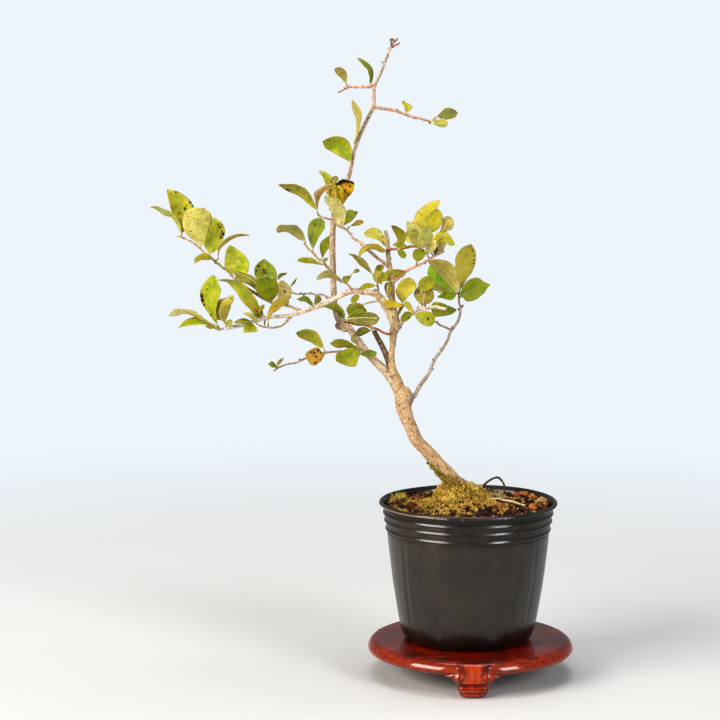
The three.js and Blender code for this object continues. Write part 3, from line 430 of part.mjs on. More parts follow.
    st: [[-48.95, 0.68, 214.64, 0, 0, 0], [-48.8, 1.41, 215.18, 0.5, 0.51, -0.34], [-48.57, 2.54, 215.99, 1.26, 1.05, -0.83], [-47.7, 4.08, 217.16, 1.53, 1.9, -1.29], [-46.56, 5.67, 218.2, 1.33, 2.06, -1.37], [-45.52, 7.07, 218.83, 0.85, 1.51, -0.97], [-44.94, 8.08, 219.12, 0.28, 0.75, -0.35], [-44.65, 8.59, 219.26, 0, 0, 0]] },
  { n: "Z5", f: -1, a: [-48.36, -7.83, 210.69], t: [-0.23, -0.31, 0.92], rb: 0.5, up: [0.64, 0.66, 0.39],
    st: [[-48.49, -8.68, 210.74, 0, 0, 0], [-48.53, -9.07, 211.5, 0.68, -0.4, -0.17], [-48.57, -9.86, 212.72, 1.58, -0.86, -0.42], [-48.38, -11.26, 214.69, 2.25, -1.42, -0.81], [-47.41, -13.07, 216.53, 2.02, -1.7, -1.02], [-46.23, -14.94, 217.55, 1.29, -1.37, -0.67], [-45.71, -16.43, 218.06, 0.43, -0.75, -0.18], [-45.45, -17.24, 218.32, 0, 0, 0]] },
  { n: "Z6", f: 1, a: [-48.46, -7.96, 211.07], t: [-0.23, -0.31, 0.92], rb: 0.48, up: [0.5, -0.6, -0.62],
    st: [[-47.95, -6.31, 211.05, 0, 0, 0], [-46.68, -5.35, 212.08, 0.32, 1.17, -0.69], [-44.7, -3.94, 213.39, 0.83, 2.49, -1.87], [-41.6, -2.11, 214.67, 1.09, 3.71, -2.92], [-38.08, -0.34, 215.31, 0.88, 3.89, -2.91], [-35.14, 1.12, 215.67, 0.6, 2.68, -2.14], [-33.38, 2.12, 215.95, 0.21, 1.28, -0.83], [-32.55, 2.62, 216.06, 0, 0, 0]] },
  { n: "Z8", f: 1, a: [-48.14, -7.52, 209.8], t: [-0.12, -0.34, 0.93], rb: 0.55, up: [0.14, -0.26, 0.95],
    st: [[-49.02, -9.2, 209.74, 0, 0, 0], [-49.89, -9.95, 210.03, -0.07, -1.02, -0.45], [-51.36, -11.19, 210.18, 0.01, -2.44, -0.82], [-53.41, -13.06, 210.1, 0.17, -3.74, -0.97], [-55.41, -15.18, 209.68, 0.31, -3.8, -1.01], [-56.97, -17.17, 209.29, 0.27, -2.69, -0.66], [-57.95, -18.68, 209.01, 0.09, -1.21, -0.18], [-58.44, -19.46, 208.88, 0, 0, 0]] },
  { n: "Z9", f: -1, a: [-40.83, -0.99, 211.66], t: [-0.07, 0.1, 0.99], rb: 1.58, up: [0.71, 0.43, -0.56],
    st: [[-41.61, -3.38, 211.83, 0, 0, 0], [-41.82, -4.13, 211.19, 0.76, -0.67, -0.05], [-42.27, -5.35, 210.19, 1.77, -1.52, -0.19], [-42.62, -7.18, 208.35, 2.15, -2.79, 0.01], [-42.51, -9.23, 206.57, 1.43, -3.29, 0.12], [-42.65, -11.14, 205.09, 0.77, -2.41, 0.15], [-42.75, -12.59, 204.07, 0.27, -1.08, 0.09], [-42.78, -13.34, 203.57, 0, 0, 0]] },
  { n: "Z10", f: 1, a: [-38.93, -2.49, 192.15], t: [-0.12, 0.04, 0.99], rb: 2.66, up: [-0.38, -0.79, -0.48],
    st: [[-35.3, -5.02, 199.84, 0, 0, 0], [-35.08, -5.99, 201.42, 1.07, -0.79, -0.07], [-35.05, -7.52, 203.79, 2.72, -1.43, -0.03], [-34.26, -9.7, 207.21, 4.19, -1.94, -0.29], [-32.49, -12.02, 210.55, 4.56, -0.99, -0.62], [-32.07, -14.12, 213.24, 2.91, -1.58, -0.28], [-31.94, -15.66, 214.43, 1.04, -1.04, -0.01], [-31.91, -16.46, 214.86, 0, 0, 0]] },
  { n: "Z11", f: 1, a: [-38.4, -2.49, 192.15], t: [-0.12, 0.04, 0.99], rb: 2.66, up: [0.52, -0.33, 0.79],
    st: [[-34.25, -5.42, 199.35, 0, 0, 0], [-35.36, -6.14, 199.31, 0.06, -1.09, -0.45], [-37.11, -7.39, 199.45, 0.07, -2.56, -0.94], [-39.53, -9.37, 199.94, -0.01, -3.85, -1.43], [-41.97, -11.7, 200.6, -0.04, -3.8, -1.74], [-43.99, -13.97, 201.15, 0.04, -2.56, -1.47], [-44.84, -15.72, 201.49, 0.08, -1.19, -0.53], [-45.16, -16.64, 201.55, 0, 0, 0]] },
  { n: "Z12", f: 1, a: [-37.87, -2.49, 192.15], t: [-0.12, 0.04, 0.99], rb: 2.66, up: [-0.12, -0.51, 0.85],
    st: [[-34.77, -4.82, 199.82, 0, 0, 0], [-34.23, -5.64, 199.88, -0.17, -0.52, -0.51], [-33.41, -6.84, 199.98, -0.43, -1.06, -1.3], [-32.21, -8.4, 199.33, -0.71, -2.09, -1.36], [-31.21, -9.92, 198.28, -0.76, -2.27, -1.12], [-30.38, -11.18, 197.6, -0.53, -1.68, -0.61], [-29.91, -12.05, 197.15, -0.18, -0.79, -0.17], [-29.68, -12.48, 196.92, 0, 0, 0]] },
  { n: "CC1", f: 1, a: [-29.75, -10.26, 195.54], t: [0.64, -0.56, 0.53], rb: 0.91, up: [0.8, -0.59, -0.13],
    st: [[-29.66, -11.72, 195.52, 0, 0, 0], [-30.32, -12.31, 195.44, 0.27, 0.49, -0.68], [-31.31, -13.31, 195.27, 0.69, 1.02, -1.61], [-32.94, -14.84, 194.7, 1.08, 1.89, -2.13], [-34.4, -16.6, 193.73, 1.09, 2.21, -1.88], [-35.46, -18.26, 192.88, 0.84, 1.56, -1.28], [-35.98, -19.54, 192.63, 0.38, 0.76, -0.46], [-36.09, -20.21, 192.51, 0, 0, 0]] },
  { n: "CC2", f: 1, a: [-29.42, -10.55, 195.81], t: [0.64, -0.56, 0.53], rb: 0.91, up: [-0.71, -0.71, 0.06],
    st: [[-28.62, -12.21, 194.79, 0, 0, 0], [-27.88, -12.91, 194.73, -0.32, -0.15, -1.21], [-26.29, -14.14, 194.38, -0.76, -0.02, -2.49], [-23.79, -16.09, 193.71, -1.19, 1.1, -3.55], [-21.2, -18.39, 192.94, -1.29, 1.28, -3.54], [-19.4, -20.63, 192.34, -0.9, 1.19, -2.38], [-18.94, -22.37, 192.23, -0.34, 0.76, -0.92], [-19.04, -23.28, 192.33, 0, 0, 0]] },
  { n: "CC3", f: 1, a: [-20.45, -17.09, 199.28], t: [0.83, -0.53, 0.16], rb: 0.93, up: [0.47, -0.71, -0.52],
    st: [[-20.36, -15.03, 198.76, 0, 0, 0], [-19.9, -13.94, 198.6, 0.12, -0.22, -1.73], [-18.7, -12.3, 197.86, -0.24, -0.49, -3.83], [-15.53, -10.09, 197.32, -0.37, 2.68, -3.82], [-12, -7.86, 196.73, -0.13, 3.59, -3.14], [-9.02, -5.94, 196.49, 0.02, 2.56, -2.18], [-7.2, -4.57, 196.52, 0.01, 1.27, -0.78], [-6.29, -3.89, 196.54, 0, 0, 0]] },
  { n: "CC4", f: -1, a: [-24.79, -14.26, 198.29], t: [0.81, -0.55, 0.2], rb: 0.92, up: [-0.03, 0.72, -0.7],
    st: [[-25, -13.2, 199.62, 0, 0, 0], [-24.73, -12.45, 200.4, 1.37, -0.03, -0.25], [-24.28, -11.18, 201.56, 3.4, -0.08, -0.63], [-23.83, -9.22, 204.2, 4.98, -0.08, -0.66], [-23.7, -6.94, 207.09, 4.7, -0.05, -0.43], [-23.6, -4.75, 208.86, 2.94, -1.05, 0.08], [-23.65, -3.07, 209.01, 0.98, -0.97, 0.1], [-23.68, -2.19, 209.08, 0, 0, 0]] },
  { n: "CC5", f: 1, a: [-25.04, -14.32, 200.26], t: [0.81, -0.55, 0.2], rb: 0.92, up: [0.56, -0.69, 0.46],
    st: [[-25.54, -12.66, 206.92, 0, 0, 0], [-25.17, -11.82, 207.56, 0.96, 0.34, -0.52], [-24.64, -10.48, 208.61, 2.37, 0.21, -1.14], [-23.24, -8.55, 210.41, 3.31, 1.08, -1.9], [-21.53, -6.44, 212.14, 3.09, 1.74, -1.93], [-20.55, -4.52, 213.48, 1.95, 1.63, -1.29], [-20.19, -3.09, 213.9, 0.65, 0.97, -0.48], [-20.01, -2.35, 214.11, 0, 0, 0]] },
  { n: "DD1", f: 1, a: [-4.21, 19.89, 202.69], t: [0, 0.2, 0.98], rb: 0.64, up: [-0.37, -0.93, 0.02],
    st: [[-5.77, 21.01, 202.58, 0, 0, 0], [-7.41, 21.22, 203.3, 0.98, 0.17, 1.36], [-9.83, 21.67, 205.02, 2.43, 0.35, 2.76], [-13.35, 22.52, 208.12, 3.6, -1.05, 3.56], [-16.51, 23.64, 211.72, 3.56, -2.37, 3.07], [-18.48, 24.82, 214.97, 2.5, -1.98, 1.91], [-19.37, 25.78, 216.95, 1, -1.08, 0.73], [-19.65, 26.29, 217.77, 0, 0, 0]] },
  { n: "DD2", f: -1, a: [-4.21, 20, 203.21], t: [0, 0.2, 0.98], rb: 0.64, up: [0.28, 0.78, 0.56],
    st: [[-4.82, 18.48, 203.9, 0, 0, 0], [-5.47, 18.23, 206.02, 1.26, -0.7, 0.9], [-6.96, 17.72, 209.29, 2.51, -2.05, 2.2], [-9.76, 16.79, 213.72, 3.07, -3.56, 3.57], [-13.59, 15.57, 217.35, 2.25, -4.19, 3.67], [-17.3, 14.3, 219.62, 1.12, -3.04, 2.74], [-19.94, 13.28, 220.42, 0.31, -1.43, 1.17], [-21.16, 12.73, 220.51, 0, 0, 0]] },
  { n: "DD3", f: 1, a: [-4.21, 20, 203.21], t: [0, 0.2, 0.98], rb: 0.64, up: [0.48, -0.82, -0.31],
    st: [[-3.72, 19.08, 204.92, 0, 0, 0], [-3.19, 18.56, 207.51, 0.86, 1.42, -0.59], [-2.68, 17.73, 211.6, 2.35, 3.13, -1.1], [-1.82, 16.53, 216.79, 4.88, 3.27, -1.7], [-0.6, 15.22, 222.38, 5.42, 2.48, -1.77], [0.76, 14.02, 226.74, 3.66, 2.1, -1.22], [1.52, 13.13, 229.14, 1.4, 1.28, -0.42], [1.7, 12.67, 230.13, 0, 0, 0]] },
  { n: "DD4", f: 1, a: [-4.22, 19.68, 201.63], t: [0, 0.2, 0.98], rb: 0.65, up: [-0.49, -0.87, 0.08],
    st: [[-4.29, 17.95, 201.8, 0, 0, 0], [-2.94, 17.35, 202.46, 0.55, -0.2, -1.54], [-1.08, 16.31, 203.15, 0.99, -0.52, -4.05], [2.47, 14.64, 205.41, 1.56, -0.68, -5.33], [6.28, 12.66, 207.44, 1.13, -0.6, -4.69], [9.03, 10.74, 208.12, 0.6, -2.5, -2.11], [10.98, 9.24, 208.6, 0.21, -1.33, -0.6], [11.99, 8.45, 208.88, 0, 0, 0]] },
  { n: "DD5", f: 1, a: [-4.21, 19.89, 202.69], t: [0, 0.2, 0.98], rb: 0.64, up: [0.38, -0.44, 0.82],
    st: [[-5.34, 18.57, 202.81, 0, 0, 0], [-6.23, 17.68, 202.75, 0.14, -0.72, -0.8], [-7.6, 16.26, 202.57, 0.4, -1.54, -1.96], [-10.01, 14.19, 202.66, 0.5, -3.02, -2.24], [-12.45, 11.93, 202.5, 0.36, -3.55, -1.45], [-14.43, 9.85, 202.4, 0.2, -2.62, -0.72], [-15.78, 8.31, 202.33, 0.07, -1.19, -0.2], [-16.46, 7.51, 202.29, 0, 0, 0]] },
  { n: "DD6", f: -1, a: [-4.21, 20, 203.21], t: [0, 0.2, 0.98], rb: 0.64, up: [-0.11, 0.42, 0.9],
    st: [[-8.06, 17.88, 203.96, 0, 0, 0], [-9.38, 16.75, 204.47, -0.07, 1.24, -0.56], [-11.35, 15.03, 205.25, -0.17, 2.83, -1.34], [-13.97, 12.69, 206.53, -0.22, 4.3, -1.94], [-16.73, 10.29, 207.26, -0.18, 4.3, -2.14], [-19.03, 8.22, 207.61, -0.08, 3.04, -1.5], [-20.55, 6.73, 207.72, -0.03, 1.4, -0.55], [-21.31, 5.98, 207.78, 0, 0, 0]] },
  { n: "EE1", f: 1, a: [-23.4, 9.78, 228.22], t: [0.81, 0.37, 0.45], rb: 0.59, up: [-0.51, -0.58, 0.64],
    st: [[-23.67, 11.07, 237.69, 0, 0, 0], [-24.39, 11.34, 239.29, 1.36, -0.35, 0.14], [-25.29, 11.87, 241.92, 3.14, -0.88, 0.12], [-23.58, 12.85, 245.86, 3.1, -3.79, -0.29], [-20.45, 14.11, 248.85, 2.45, -4.3, -0.62], [-17.86, 15.41, 251.37, 1.4, -3.16, -0.67], [-15.75, 16.45, 252.64, 0.56, -1.39, -0.43], [-14.76, 17.01, 253.02, 0, 0, 0]] },
  { n: "EE2", f: 1, a: [-21.26, 10.28, 227.11], t: [0.81, 0.37, 0.45], rb: 0.57, up: [-0.72, -0.59, -0.35],
    st: [[-20.26, 9.39, 236.22, 0, 0, 0], [-19.89, 8.03, 237.26, 1.19, -0.92, -0.3], [-19.52, 6, 239.04, 2.8, -2.1, -0.54], [-18.52, 3.35, 242.17, 3.32, -4.15, -0.28], [-17.49, 0.75, 245.33, 3.26, -4.33, -0.11], [-17.12, -1.42, 247.9, 2.24, -3.1, 0.03], [-17.05, -2.93, 249.25, 0.87, -1.45, 0.05], [-17.06, -3.68, 249.71, 0, 0, 0]] },
  { n: "EE3", f: -1, a: [-18.04, 11.08, 225.98], t: [0.83, 0.37, 0.42], rb: 0.55, up: [0.31, 0.49, -0.82],
    st: [[-14.85, 12.16, 235.49, 0, 0, 0], [-14.03, 13.06, 236.29, 0.54, -1.13, -0.27], [-12.8, 14.5, 237.47, 1.36, -2.52, -0.72], [-11.32, 16.58, 239.17, 2.39, -3.5, -1.33], [-10.1, 18.84, 241.43, 2.57, -3.48, -1.32], [-9.16, 20.9, 243.12, 1.76, -2.47, -1], [-8.78, 22.44, 243.62, 0.59, -1.25, -0.3], [-8.59, 23.23, 243.84, 0, 0, 0]] },
  { n: "EE4", f: 1, a: [-22.34, 9.49, 225.04], t: [0.81, 0.37, 0.45], rb: 0.59, up: [-0.22, -0.49, 0.84],
    st: [[-19.24, 7.59, 232.63, 0, 0, 0], [-18.11, 6.8, 233.4, 0.12, -1.14, -0.7], [-16.34, 5.44, 234.42, 0.19, -2.57, -1.74], [-13.51, 3.34, 234.73, -0.28, -3.94, -2.5], [-10.81, 0.9, 233.63, -0.7, -4.19, -2.15], [-9.07, -1.45, 232, -0.59, -2.97, -1.46], [-8.01, -3.25, 231.24, -0.24, -1.39, -0.46], [-7.55, -4.2, 230.86, 0, 0, 0]] },
  { n: "EE5", f: -1, a: [-30.44, -7.73, 230.29], t: [0.84, -0.54, 0.08], rb: 0.6, up: [-0.07, 0.67, -0.74],
    st: [[-30.7, -6.82, 231.59, 0, 0, 0], [-30.29, -5.99, 232.4, 1.45, 0.01, 0.04], [-29.89, -4.58, 233.87, 3.4, 0.05, 0.36], [-29.09, -2.4, 236.84, 4.4, 0.11, 0.84], [-29.45, 0.12, 239.6, 3.4, 2.65, 0.87], [-30.95, 2.53, 241.48, 2.02, 2.25, 0.74], [-32.12, 4.38, 242.23, 0.77, 1.13, 0.19], [-32.57, 5.35, 242.58, 0, 0, 0]] },
  { n: "EE6", f: -1, a: [-25.16, -11.21, 229.09], t: [0.77, -0.54, -0.35], rb: 0.54, up: [-0.32, 0.66, 0.68],
    st: [[-25.11, -13.09, 229.45, 0, 0, 0], [-25.05, -13.65, 230.58, 1.12, 0.77, -0.24], [-25, -14.78, 232.33, 2.76, 1.51, -0.52], [-24.17, -16.83, 235.25, 3.73, 2.82, -1.09], [-23.2, -19.5, 238.32, 3.61, 3.09, -1.14], [-22.72, -22.25, 240.65, 2.28, 2.47, -0.77], [-22.47, -24.46, 241.83, 0.86, 1.23, -0.3], [-22.42, -25.64, 242.27, 0, 0, 0]] },
  { n: "EE6b", f: -1, a: [-26.18, -10.5, 229.56], t: [0.77, -0.54, -0.35], rb: 0.56, up: [0.33, 0.6, 0.73],
    st: [[-26.12, -11.78, 229.87, 0, 0, 0], [-26.52, -12.32, 230.76, 0.88, -0.78, 0.46], [-27.15, -13.38, 232.24, 2, -1.84, 1.03], [-28.22, -15.24, 234.7, 2.66, -3.15, 1.44], [-29.3, -17.61, 237.25, 2.53, -3.41, 1.33], [-30.15, -20.04, 239.33, 1.95, -2.3, 0.87], [-30.51, -21.97, 240.18, 0.73, -1.15, 0.3], [-30.58, -23.01, 240.54, 0, 0, 0]] },
  { n: "EE6c", f: -1, a: [-18.06, 10.64, 223.56], t: [0.83, 0.37, 0.42], rb: 0.56, up: [-0.24, 0.57, 0.79],
    st: [[-20.23, 9.16, 227.2, 0, 0, 0], [-19.69, 8.28, 228.23, 0.57, 0.91, -0.51], [-18.88, 6.83, 229.79, 1.43, 2, -1.23], [-17.5, 4.65, 232.04, 1.84, 3.26, -1.76], [-16.04, 2.2, 234.29, 1.75, 3.39, -1.77], [-14.92, -0.09, 236.14, 1.21, 2.36, -1.34], [-14.19, -1.83, 237.11, 0.4, 1.15, -0.49], [-13.82, -2.74, 237.59, 0, 0, 0]] },
  { n: "EE7", f: 1, a: [-35.11, -4.49, 229.1], t: [0.81, -0.57, 0.16], rb: 0.66, up: [-0.89, -0.45, -0.04],
    st: [[-35.34, -3.16, 230.26, 0, 0, 0], [-35.39, -2.47, 231.33, 0.9, -1.04, 0.41], [-35.62, -1.22, 232.98, 2.07, -2.37, 1.06], [-35.76, 0.88, 235.65, 2.15, -4.22, 1.58], [-37.25, 3.48, 237.83, 1.54, -4.56, 1.61], [-39.1, 6.06, 239.1, 0.96, -3.25, 1.18], [-40.37, 8.1, 239.86, 0.36, -1.46, 0.49], [-40.96, 9.19, 240.21, 0, 0, 0]] },
  { n: "EE8", f: 1, a: [-32.18, -6.55, 229.85], t: [0.8, -0.56, 0.21], rb: 0.62, up: [0.49, -0.33, 0.81],
    st: [[-32.29, -8.06, 230.37, 0, 0, 0], [-33.11, -8.8, 230.6, -0.04, -0.87, -0.35], [-34.36, -9.99, 230.95, -0.09, -1.99, -0.86], [-36.09, -11.72, 231.42, -0.11, -2.93, -1.43], [-37.89, -13.63, 231.83, -0.04, -3.12, -1.15], [-39.35, -15.38, 231.88, 0, -2.26, -0.62], [-40.32, -16.69, 231.86, 0, -1.02, -0.17], [-40.8, -17.37, 231.86, 0, 0, 0]] },
  { n: "EE9", f: 1, a: [-37.44, -2.86, 228.75], t: [0.82, -0.57, 0.08], rb: 0.68, up: [-0.68, -0.6, 0.42],
    st: [[-37.45, -3.8, 228.73, 0, 0, 0], [-37.18, -4.52, 228.48, 0.59, 0.04, 0.31], [-36.56, -5.6, 228.07, 1.24, -0.37, 0.81], [-35.75, -7.04, 226.89, 1.54, -1.43, 0.92], [-34.87, -8.49, 225.75, 1.58, -1.54, 0.74], [-34.39, -9.73, 224.91, 1.2, -1.04, 0.44], [-34.42, -10.6, 224.52, 0.4, -0.58, 0.18], [-34.43, -11.04, 224.32, 0, 0, 0]] },
  { n: "EE10", f: 1, a: [-27.71, 6.18, 218.93], t: [0.85, 0.41, 0.34], rb: 0.68, up: [-0.02, -0.74, -0.68],
    st: [[-27.22, 5.04, 221.15, 0, 0, 0], [-27.05, 4.31, 221.84, 0.89, -0.01, -0.08], [-26.78, 3.18, 222.95, 2.15, -0.02, -0.19], [-26.28, 1.61, 224.83, 3.28, -0.04, -0.34], [-25.97, -0.02, 227.07, 3.27, -0.01, -0.11], [-26.16, -1.45, 228.27, 1.96, 1.01, -0.06], [-26.32, -2.49, 228.54, 0.65, 0.72, -0.07], [-26.4, -3.02, 228.67, 0, 0, 0]] },
  { n: "EE11", f: -1, a: [-20.19, 9.67, 222.37], t: [0.81, 0.37, 0.45], rb: 0.59, up: [0.77, 0.6, 0.22],
    st: [[-21.85, 7.97, 225.17, 0, 0, 0], [-21.54, 7.39, 225.75, 0.73, -0.41, -0.49], [-21.07, 6.35, 226.97, 1.59, -1.3, -0.89], [-20.26, 4.69, 228.94, 2.26, -2.16, -1.22], [-19.03, 2.7, 230.8, 2.04, -2.52, -1.08], [-18.22, 0.75, 232.11, 1.18, -2.02, -0.6], [-17.7, -0.77, 232.9, 0.39, -0.98, -0.16], [-17.44, -1.58, 233.3, 0, 0, 0]] },
  { n: "EE12", f: 1, a: [-17.5, 10.89, 223.87], t: [0.83, 0.37, 0.42], rb: 0.56, up: [0.8, -0.42, 0.43],
    st: [[-17.47, 11.77, 223.8, 0, 0, 0], [-17.35, 12.36, 224.33, 0.42, 0.58, -0.13], [-17.17, 13.31, 225.13, 1.05, 1.28, -0.3], [-17.02, 14.71, 226.39, 1.34, 2.11, -0.41], [-16.83, 16.26, 227.73, 1.34, 2.17, -0.38], [-16.81, 17.71, 228.68, 0.76, 1.63, -0.28], [-16.74, 18.79, 229.31, 0.25, 0.75, -0.12], [-16.71, 19.36, 229.63, 0, 0, 0]] },
  { n: "EE13", f: -1, a: [-15.35, 11.83, 224.86], t: [0.85, 0.37, 0.39], rb: 0.53, up: [0.78, 0.53, 0.33],
    st: [[-15.38, 10.76, 224.94, 0, 0, 0], [-15.13, 10.19, 225.68, 0.45, -0.63, -0.12], [-14.8, 9.21, 226.81, 1.09, -1.41, -0.3], [-14.31, 7.71, 228.52, 1.59, -2.17, -0.4], [-13.83, 5.97, 230.28, 1.69, -2.14, -0.47], [-13.37, 4.31, 231.68, 1.24, -1.44, -0.45], [-13.18, 3.04, 232.22, 0.41, -0.75, -0.12], [-13.08, 2.37, 232.48, 0, 0, 0]] },
  { n: "O1", f: 1, a: [-55.83, -14, 200.23], t: [-0.75, -0.59, -0.31], rb: 0.4, up: [-0.69, -0.64, -0.34],
    st: [[-61.05, -14.8, 200.84, 0, 0, 0], [-61, -15.25, 201.35, 0.58, -0.4, -0.11], [-60.92, -16.02, 202.13, 1.44, -0.71, -0.31], [-60.33, -17.23, 203.59, 1.66, -1.77, -0.4], [-59.48, -18.64, 204.92, 1.55, -1.92, -0.41], [-58.65, -20.01, 205.87, 1.24, -1.23, -0.25], [-58.49, -21.07, 206.11, 0.43, -0.65, -0.05], [-58.44, -21.63, 206.22, 0, 0, 0]] },
  { n: "O2", f: 1, a: [-63.27, -14.67, 190.99], t: [-0.88, -0.39, 0.25], rb: 0.48, up: [0.46, -0.7, 0.55],
    st: [[-62.63, -13.23, 193.85, 0, 0, 0], [-62.51, -12.38, 194.39, 1.1, -0.1, -0.76], [-62.04, -11.05, 195.33, 2.46, -0.25, -1.94], [-60.06, -9.17, 196.67, 2.89, -0.4, -3.15], [-57.37, -7.15, 197.49, 2.37, -0.39, -3.08], [-55.4, -5.34, 197.86, 1.54, -0.89, -1.87], [-54.89, -4.01, 197.7, 0.54, -0.81, -0.6], [-54.76, -3.32, 197.54, 0, 0, 0]] },
  { n: "O3", f: -1, a: [-65.04, -15.46, 191.46], t: [-0.89, -0.39, 0.24], rb: 0.46, up: [0.28, 0.62, -0.73],
    st: [[-64.7, -16.69, 193.17, 0, 0, 0], [-63.33, -17.01, 193.22, -0.03, -0.18, -1.39], [-60.53, -17.66, 193.3, 0.11, -2.48, -2.04], [-56.56, -18.8, 193.39, 0.19, -4.14, -2.48], [-52.6, -20.26, 193.53, 0.27, -3.71, -3.21], [-49.36, -21.76, 193.85, 0.31, -2.46, -2.43], [-47.79, -22.96, 194.28, 0.08, -1.32, -0.79], [-47.04, -23.61, 194.45, 0, 0, 0]] },
  { n: "O4", f: 1, a: [-51.13, -8.84, 187.89], t: [-0.82, -0.46, 0.34], rb: 0.58, up: [-0.75, -0.48, 0.46],
    st: [[-51.62, -7.54, 186.09, 0, 0, 0], [-52.45, -6.74, 186.07, 0.1, -0.76, -0.47], [-53.72, -5.5, 186.03, 0.25, -1.69, -1.2], [-55.53, -3.74, 185.57, 0.54, -2.54, -1.76], [-57.34, -1.89, 184.61, 0.73, -2.6, -1.7], [-58.59, -0.24, 183.51, 0.52, -1.87, -1.14], [-59.21, 0.97, 182.93, 0.17, -0.92, -0.34], [-59.52, 1.59, 182.64, 0, 0, 0]] },
  { n: "O5", f: 1, a: [-58.58, 2.17, 179.75], t: [-0.58, 0.06, 0.81], rb: 2, up: [0.52, -0.54, -0.66],
    st: [[-60.58, 0.37, 178.52, 0, 0, 0], [-60.72, -0.06, 179.01, 0.48, 0.44, -0.04], [-60.95, -0.81, 179.76, 1.19, 0.93, -0.07], [-60.73, -2, 181.2, 1.25, 1.86, -0.38], [-60.37, -3.42, 182.61, 1.1, 1.96, -0.54], [-60.11, -4.79, 183.81, 0.73, 1.36, -0.55], [-59.71, -5.86, 184.36, 0.24, 0.65, -0.21], [-59.51, -6.42, 184.64, 0, 0, 0]] },
  { n: "O6", f: 1, a: [-59.48, -0.63, 174.31], t: [-0.79, -0.57, -0.23], rb: 0.66, up: [0.17, -0.52, -0.84],
    st: [[-59.52, -2.16, 175.09, 0, 0, 0], [-60.52, -3.45, 176.16, -0.45, 1.07, -0.86], [-62.4, -5.33, 177.66, -0.66, 2.77, -1.73], [-65.23, -7.73, 179.23, -0.63, 4.34, -2.43], [-68.32, -10, 179.65, -0.43, 4.24, -2.8], [-70.89, -11.84, 179.7, -0.27, 2.91, -2.11], [-72.39, -13.09, 179.91, -0.06, 1.38, -0.8], [-73.1, -13.7, 179.95, 0, 0, 0]] },
  { n: "O7", f: 1, a: [-57.93, 0.5, 174.77], t: [-0.79, -0.57, -0.23], rb: 0.67, up: [0.59, -0.78, 0.22],
    st: [[-57.93, -0.84, 174.93, 0, 0, 0], [-57.84, -1.91, 174.98, 0.86, -0.23, -1.8], [-59.74, -3.58, 174.25, 1.36, -0.46, -3.58], [-61.9, -5.97, 171.62, 2.26, -0.58, -4.51], [-65.42, -8.52, 170.96, 2.12, 1.43, -4.14], [-68.3, -10.82, 171.1, 1.7, 1.38, -2.65], [-69.56, -12.52, 170.83, 0.71, 0.94, -0.96], [-69.98, -13.39, 170.67, 0, 0, 0]] },
  { n: "O8", f: 1, a: [-58.46, 0.02, 174.29], t: [-0.79, -0.57, -0.23], rb: 0.67, up: [-0.54, -0.6, -0.59],
    st: [[-57.4, -1.32, 173.39, 0, 0, 0], [-56.69, -2.01, 173.18, -0.22, 0.57, -0.76], [-55.28, -3.16, 173.23, -0.21, 1.6, -1.58], [-53.3, -4.91, 173.44, -0.13, 2.47, -2.32], [-51.28, -6.91, 173.68, -0.04, 2.54, -2.34], [-49.59, -8.81, 173.94, 0.03, 1.73, -1.72], [-48.84, -10.26, 174.21, 0.01, 0.88, -0.63], [-48.48, -11.02, 174.34, 0, 0, 0]] },
  { n: "GG1", f: 1, a: [-75.96, -10.77, 174.63], t: [-0.86, -0.49, -0.11], rb: 0.56, up: [-0.62, -0.66, -0.42],
    st: [[-76.32, -9.49, 176.53, 0, 0, 0], [-77.36, -8.65, 177.79, -0.64, 0.89, -0.89], [-79.03, -7.29, 179.77, -1.34, 2.18, -2], [-81.68, -5.27, 182.17, -1.57, 3.55, -2.97], [-85.45, -3.01, 183.12, -1.27, 3.57, -3.22], [-88.67, -0.92, 183.56, -0.8, 2.39, -2.44], [-90.56, 0.66, 183.75, -0.26, 1.12, -1.05], [-91.32, 1.48, 183.72, 0, 0, 0]] },
  { n: "GG2", f: 1, a: [-76.79, -11.24, 174.5], t: [-0.86, -0.49, -0.11], rb: 0.55, up: [0.44, -0.73, 0.53],
    st: [[-76.8, -12.52, 174.79, 0, 0, 0], [-77.02, -13.56, 175.1, 0.95, -0.14, -1.12], [-78.27, -15.09, 175.26, 1.61, -0.34, -2.64], [-80.56, -17.08, 174.03, 2.63, -0.39, -3.08], [-82.78, -19.01, 172.48, 3.15, -0.36, -2.8], [-83.27, -20.6, 171.02, 1.81, -1.22, -1.61], [-83.36, -21.69, 170.5, 0.61, -0.92, -0.47], [-83.41, -22.23, 170.24, 0, 0, 0]] },
  { n: "GG3", f: 1, a: [-99.87, -24.56, 168.5], t: [-0.76, -0.49, -0.43], rb: 0.41, up: [0.34, -0.55, -0.76],
    st: [[-99.94, -25.37, 168.81, 0, 0, 0], [-100.38, -25.96, 169.15, -0.12, 0.53, -0.43], [-101.04, -26.9, 169.65, -0.3, 1.16, -1.05], [-102.09, -28.22, 170.38, -0.35, 1.88, -1.46], [-103.18, -29.64, 171.11, -0.31, 1.78, -1.65], [-103.98, -30.91, 171.32, -0.16, 1.46, -0.92], [-104.55, -31.85, 171.47, -0.05, 0.69, -0.33], [-104.83, -32.33, 171.55, 0, 0, 0]] },
  { n: "GG4", f: 1, a: [-99.56, -24.38, 168.63], t: [-0.76, -0.49, -0.43], rb: 0.41, up: [0.39, -0.42, -0.82],
    st: [[-99.95, -24.98, 169.55, 0, 0, 0], [-99.84, -25.6, 170.12, 0.29, 0.55, -0.19], [-99.68, -26.56, 170.98, 0.73, 1.23, -0.47], [-98.99, -27.86, 172.12, 0.69, 2.05, -0.69], [-98.2, -29.21, 173.17, 0.53, 2.13, -0.71], [-97.46, -30.4, 174, 0.31, 1.5, -0.56], [-96.88, -31.25, 174.4, 0.11, 0.68, -0.22], [-96.59, -31.69, 174.58, 0, 0, 0]] },
];
